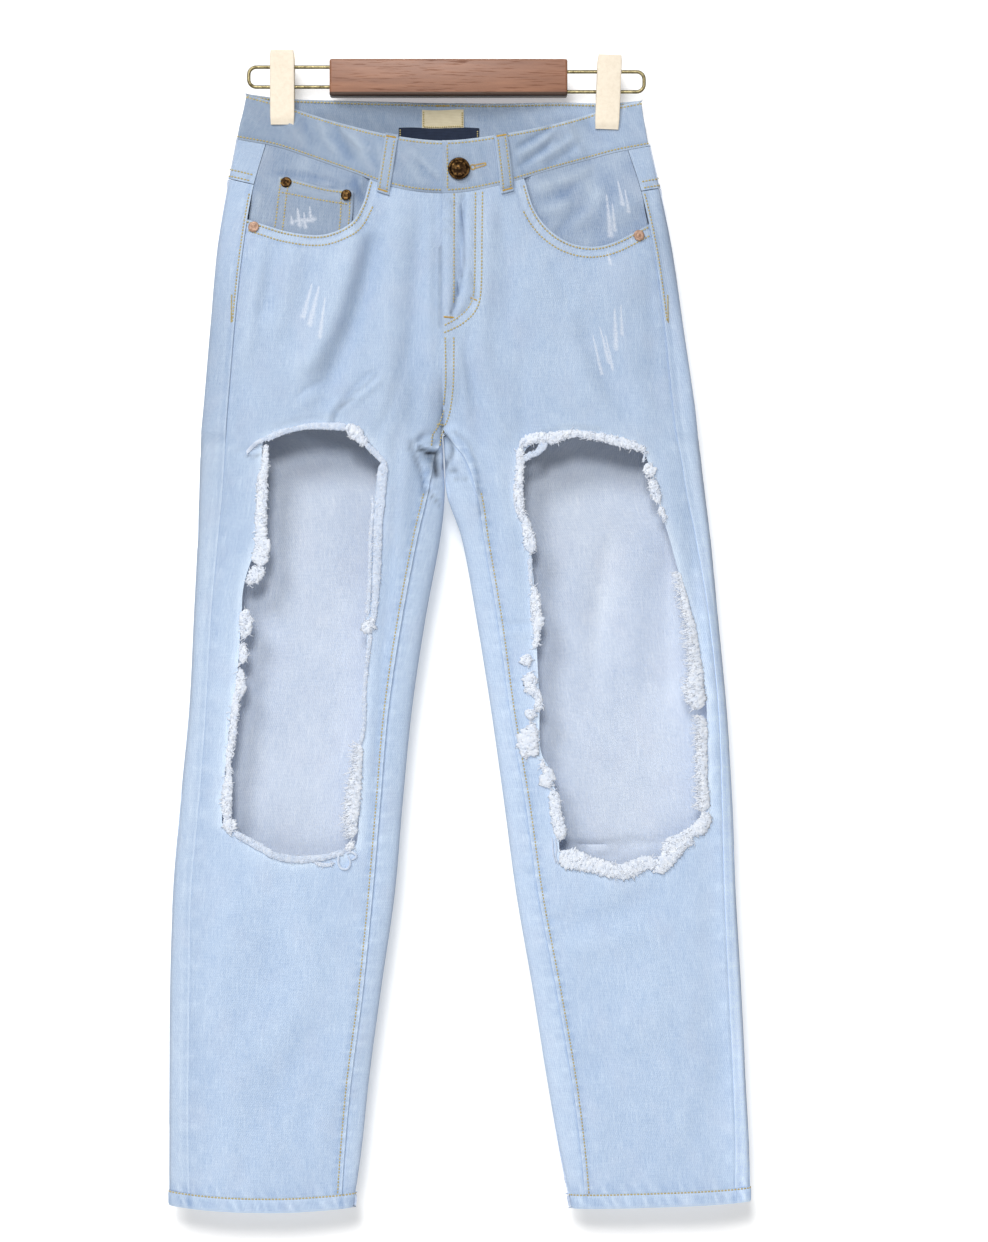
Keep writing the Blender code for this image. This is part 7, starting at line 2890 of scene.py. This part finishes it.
@dataclass
class Hanger:
    """The wooden bar, its two wire loops and the two sprung clips."""

    bar: tuple[float, float, float] = (205.0, 16.0, 32.0)
    bar_round: float = 2.0
    wire_radius: float = 1.6
    wire_corner: float = 6.5
    clip_wide: float = 21.0
    clip_tall: float = 63.5
    clip_sheet: float = 1.0
    clip_over_wire: float = 13.4
    jaw_y: float = 3.75
    grip_y: float = 8.0
    flange: float = 5.0
    plate_columns: int = 28
    plate_rows: int = 44

    def wood(self) -> bpy.types.Object:
        """The bar, with softly rounded edges."""
        bm = bmesh.new()
        bmesh.ops.create_cube(bm, size=1.0)
        bmesh.ops.scale(bm, verts=bm.verts, vec=Vector(self.bar) * MM)
        bmesh.ops.translate(bm, verts=bm.verts, vec=(0.0, 0.0, -self.bar[2] / 2.0 * MM))
        bmesh.ops.bevel(bm, geom=bm.edges[:], offset=self.bar_round * MM, affect="EDGES", segments=5,
                        profile=0.5, material=-1)
        mesh = mesh_from("wooden_bar", bm)
        smooth_faces(mesh, 30.0)
        return fit_piece("wooden_bar", mesh, ("wood",), "hanger_bar")

    def wire(self, arm: ArmRow) -> bpy.types.Object:
        """A wire loop that comes out of the bar's end and goes back in."""
        sign = arm.side.sign
        start, corner = self.bar[0] / 2.0 - 1.0, arm.wire_end - self.wire_corner
        turn = np.radians(np.linspace(90.0, 0.0, 14))
        upper = np.stack([corner + self.wire_corner * np.cos(turn),
                          arm.wire_high - self.wire_corner + self.wire_corner * np.sin(turn)], axis=1)
        lower = np.stack([upper[::-1, 0], arm.wire_high + arm.wire_low - upper[::-1, 1]], axis=1)
        flat = np.concatenate([[(start, arm.wire_high)], upper, lower, [(start, arm.wire_low)]])
        flat = even_path(flat, 1.2)
        route = np.stack([sign * flat[:, 0], np.zeros(len(flat)), flat[:, 1]], axis=1) * MM
        name = "wire_loop_" + arm.side.value
        mesh = tubes(name, [route], [np.ones(len(route))], self.wire_radius * MM, 3)
        mesh.shade_smooth()
        return fit_piece(name, mesh, ("wire",), "hanger_wire_" + arm.side.value)

    def hub(self, arm: ArmRow) -> Matrix:
        """The place and roll of a clip."""
        middle = Vector((arm.side.sign * arm.clip_x, 0.0, (arm.wire_high + arm.wire_low) / 2.0)) * MM
        return Matrix.Translation(middle) @ Matrix.Rotation(math.radians(arm.roll), 4, "Y")

    def plate(self, arm: ArmRow, front: bool) -> bpy.types.Object:
        """A pressed plate with its two sides folded back, leaning out to its grip.

        Args:
            arm: The end of the hanger.
            front: Whether this is the front plate.

        Returns:
            The plate.
        """
        bm = bmesh.new()
        bmesh.ops.create_grid(bm, x_segments=self.plate_columns, y_segments=self.plate_rows, size=1.0)
        top = arm.wire_high + self.clip_over_wire - (arm.wire_high + arm.wire_low) / 2.0
        half, bend = self.clip_wide / 2.0, 0.78
        for vert in bm.verts:
            across, up = vert.co.x, (vert.co.y + 1.0) / 2.0
            over = max(0.0, (abs(across) - bend) / (1.0 - bend))
            width = half * (1.0 - 0.05 * bump(up, 0.08) - 0.06 * bump(1.0 - up, 0.05))
            near_pin = bump(up - 0.66, 0.16)
            deep = 1.2 + (self.flange - 1.2) * near_pin
            corner = min(1.0, over * 3.0)
            outset = min(abs(across), bend) / bend - 0.03 * (1.0 - corner) * (over > 0)
            x = math.copysign(width * outset, across)
            y = self.jaw_y + self.clip_sheet + (self.grip_y - self.jaw_y) * up ** 1.15
            y -= deep * over ** 1.2 - 0.35 * (1.0 - across * across)
            y -= 0.8 * bump(up, 0.045)
            vert.co = (x * MM, (-y if front else y) * MM, (top - self.clip_tall * (1.0 - up)) * MM)
        bmesh.ops.smooth_vert(bm, verts=bm.verts, factor=0.3, use_axis_x=True, use_axis_y=True,
                              use_axis_z=False)
        bmesh.ops.recalc_face_normals(bm, faces=bm.faces)
        middle = max(bm.faces, key=lambda face: abs(face.calc_center_median().y))
        if middle.normal.y * (1.0 if front else -1.0) > 0.0:
            bmesh.ops.reverse_faces(bm, faces=bm.faces)
        bmesh.ops.solidify(bm, geom=bm.faces[:], thickness=self.clip_sheet * MM)
        face_out(bm)
        bmesh.ops.transform(bm, matrix=self.hub(arm), verts=bm.verts)
        end = "%s_%s" % (arm.side.value, "front" if front else "back")
        mesh = mesh_from("clip_plate_" + end, bm)
        smooth_faces(mesh, 50.0)
        return fit_piece("clip_plate_" + end, mesh, ("clip gold",), "clip_" + end)

    def spring(self, arm: ArmRow) -> bpy.types.Object:
        """The coil between the plates, with its two legs, and the pin through it."""
        half, coil_radius, points = 6.0, 3.7, 140
        turn = np.linspace(0.0, FULL_TURN * 6.0, points)
        coil = np.stack([np.linspace(-half, half, points), coil_radius * np.cos(turn),
                         coil_radius * np.sin(turn)], axis=1)
        legs = [np.array([(end, coil_radius, 0.0), (end, 4.6, -8.0), (end, 5.0, -15.0)])
                for end in (-half, half)]
        pin = np.array([(-10.2, 0.0, 0.0), (10.2, 0.0, 0.0)])
        routes = [coil, *[even_path(leg, 1.5) for leg in legs], even_path(pin, 2.0)]
        radii = [np.full(len(route), size) for route, size in zip(routes, (0.75, 0.7, 0.7, 1.5))]
        name = "clip_coil_" + arm.side.value
        mesh = tubes(name, [route * MM for route in routes], radii, MM, 2)
        mesh.transform(self.hub(arm))
        mesh.shade_smooth()
        return fit_piece(name, mesh, ("wire",), "clip_%s_spring" % arm.side.value)

    def build(self) -> None:
        """Makes the whole hanger."""
        self.wood()
        for arm in ARMS:
            self.wire(arm)
            for front in (True, False):
                self.plate(arm, front)
            self.spring(arm)


# ======================================================================= the studio

class Shines(Enum):
    """What a lamp lights."""

    ALL = "all"
    CLOTH = "cloth"
    WALL = "wall"


class Lamp(NamedTuple):
    """A round soft lamp: its power, width, turn to the right of the camera and rise above it."""

    name: str
    power: float
    size: float
    turn: float
    rise: float
    shines: Shines = Shines.ALL


@dataclass
class Studio:
    """A pale wall and floor, soft lamps, an even sky and the camera."""

    sky: float = 0.22
    lamps: tuple[Lamp, ...] = (
        Lamp("key", 146.0, 1.5, -4.0, 25.0), Lamp("side", 152.0, 2.0, -34.0, 42.0, Shines.CLOTH),
        Lamp("back", 150.0, 2.5, 172.0, 30.0, Shines.CLOTH),
        Lamp("wash", 160.0, 2.4, -12.0, 32.0, Shines.WALL))
    away: float = 6.0
    aim: tuple[float, float, float] = (0.0, 0.0, -0.62)
    wall_y: float = 0.040
    wall_glow: float = 0.22
    floor_z: float = -1.35
    camera_at: tuple[float, float, float] = (0.0392, -3.0, -0.4843)
    frame_tall: float = 1242 * 0.0008633
    sensor: float = 24.0

    def camera(self) -> None:
        """The camera, straight in front."""
        data = bpy.data.cameras.new("camera")
        data.sensor_fit, data.sensor_height = "VERTICAL", self.sensor
        data.lens = self.sensor * -self.camera_at[1] / self.frame_tall
        data.clip_end = 50.0
        thing = bpy.data.objects.new("camera", data)
        thing.location, thing.rotation_euler = self.camera_at, (math.radians(90), 0.0, 0.0)
        bpy.context.scene.collection.objects.link(thing)
        bpy.context.scene.camera = thing

    def light(self, lamp: Lamp, wall: bpy.types.Object) -> None:
        """Hangs one lamp.

        Args:
            lamp: The lamp.
            wall: The wall, which some lamps leave out and others light alone.
        """
        data = bpy.data.lights.new(lamp.name, "AREA")
        data.shape, data.size, data.energy = "DISK", lamp.size, lamp.power
        thing = bpy.data.objects.new(lamp.name, data)
        turn, rise = math.radians(lamp.turn), math.radians(lamp.rise)
        reach = Vector((math.sin(turn) * math.cos(rise), -math.cos(turn) * math.cos(rise), math.sin(rise)))
        thing.location = Vector(self.aim) + reach * self.away
        thing.rotation_euler = reach.to_track_quat("Z", "Y").to_euler()
        bpy.context.scene.collection.objects.link(thing)
        if lamp.shines is not Shines.ALL:
            receivers = bpy.data.collections.new(lamp.name)
            receivers.objects.link(wall)
            state = "INCLUDE" if lamp.shines is Shines.WALL else "EXCLUDE"
            receivers.collection_objects[0].light_linking.link_state = state
            thing.light_linking.receiver_collection = receivers

    def world(self) -> None:
        """An even sky, which the camera and reflections see as white."""
        world = bpy.data.worlds.new("sky")
        world.use_nodes = True
        bpy.context.scene.world = world
        graph = Graph(world.node_tree)
        rays = graph.add("LightPath").outputs
        seen = graph.maths("MAXIMUM", rays["Is Camera Ray"], rays["Is Transmission Ray"])
        seen = graph.maths("MAXIMUM", seen, graph.maths("MULTIPLY", rays["Is Glossy Ray"], 0.6))
        sky = world.node_tree.nodes["Background"]
        sky.inputs["Color"].default_value = (1.0, 1.0, 1.0, 1.0)
        strength = graph.maths("MULTIPLY_ADD", seen, 1.0 - self.sky, self.sky)
        world.node_tree.links.new(strength, sky.inputs["Strength"])

    def wall(self) -> bpy.types.Object:
        """A white wall close behind, which only the camera sees, and only from its front."""
        bm = bmesh.new()
        bmesh.ops.create_grid(bm, x_segments=1, y_segments=1, size=1.0)
        bmesh.ops.rotate(bm, verts=bm.verts, matrix=Matrix.Rotation(math.pi / 2, 3, "X"))
        bmesh.ops.scale(bm, verts=bm.verts, vec=(1.4, 1.0, 1.2))
        bmesh.ops.translate(bm, verts=bm.verts, vec=(0.0, self.wall_y, self.floor_z + 1.2))
        mesh = mesh_from("wall", bm)
        material = bpy.data.materials.new("wall")
        material.use_nodes = True
        graph = Graph(material.node_tree)
        shader = material.node_tree.nodes["Principled BSDF"]
        shader.inputs["Base Color"].default_value = (0.92, 0.915, 0.905, 1.0)
        shader.inputs["Roughness"].default_value = 1.0
        shader.inputs["Specular IOR Level"].default_value = 0.0
        shader.inputs["Emission Color"].default_value = (1.0, 1.0, 1.0, 1.0)
        shader.inputs["Emission Strength"].default_value = self.wall_glow
        clear = graph.add("BsdfTransparent").outputs[0]
        front = graph.maths("SUBTRACT", 1.0, graph.add("NewGeometry").outputs["Backfacing"])
        seen = graph.maths("MULTIPLY", front, graph.add("LightPath").outputs["Is Camera Ray"])
        both = graph.add("MixShader", {0: seen, 1: clear, 2: shader.outputs[0]})
        output = material.node_tree.nodes["Material Output"]
        material.node_tree.links.new(both.outputs[0], output.inputs["Surface"])
        mesh.materials.append(material)
        thing = link("wall", mesh)
        return thing

    def floor(self) -> None:
        """A plain pale floor."""
        bm = bmesh.new()
        bmesh.ops.create_grid(bm, x_segments=1, y_segments=1, size=3.0)
        bmesh.ops.translate(bm, verts=bm.verts, vec=(0.0, 0.0, self.floor_z))
        mesh = mesh_from("floor", bm)
        material = bpy.data.materials.new("floor")
        material.use_nodes = True
        shader = material.node_tree.nodes["Principled BSDF"]
        shader.inputs["Base Color"].default_value = (0.82, 0.82, 0.82, 1.0)
        shader.inputs["Roughness"].default_value = 0.9
        mesh.materials.append(material)
        link("floor", mesh)

    def build(self) -> None:
        """Sets the whole studio up."""
        bpy.context.scene.view_settings.view_transform = "Standard"
        self.camera()
        self.world()
        self.floor()
        wall = self.wall()
        for lamp in self.lamps:
            self.light(lamp, wall)


def main() -> None:
    """Builds every sub-assembly in order."""
    logging.basicConfig(level=logging.INFO, format="%(message)s")
    Studio().build()
    legs, waist, hems, pockets, fly, studs = Legs(), Waist(), Hems(), Pockets(), Fly(), Studs()
    seamstress = Seamstress()
    for side in Side:
        legs.front(side)
        legs.back(side)
        waist.yoke(side, seamstress)
        hems.build(side, seamstress)
        pockets.facing(side)
        pockets.patch(side, seamstress)
        TornEdge(side, TEAR_SEEDS[side]).build()
    legs.sew(seamstress)
    pockets.coin(seamstress)
    pockets.sew_mouths(seamstress)
    fly.build()
    fly.sew(seamstress)
    waist.band(seamstress)
    waist.loops(seamstress)
    Labels().build(seamstress)
    studs.build()
    studs.buttonhole(seamstress)
    for group, thread in (("stitches_front", "khaki thread"), ("stitches_back", "khaki thread"),
                          ("stitches_waist", "khaki thread"), ("bartacks", "gold thread")):
        seamstress.finish(group, FINISHES[thread])
    Hanger().build()


if __name__ == "__main__":
    main()
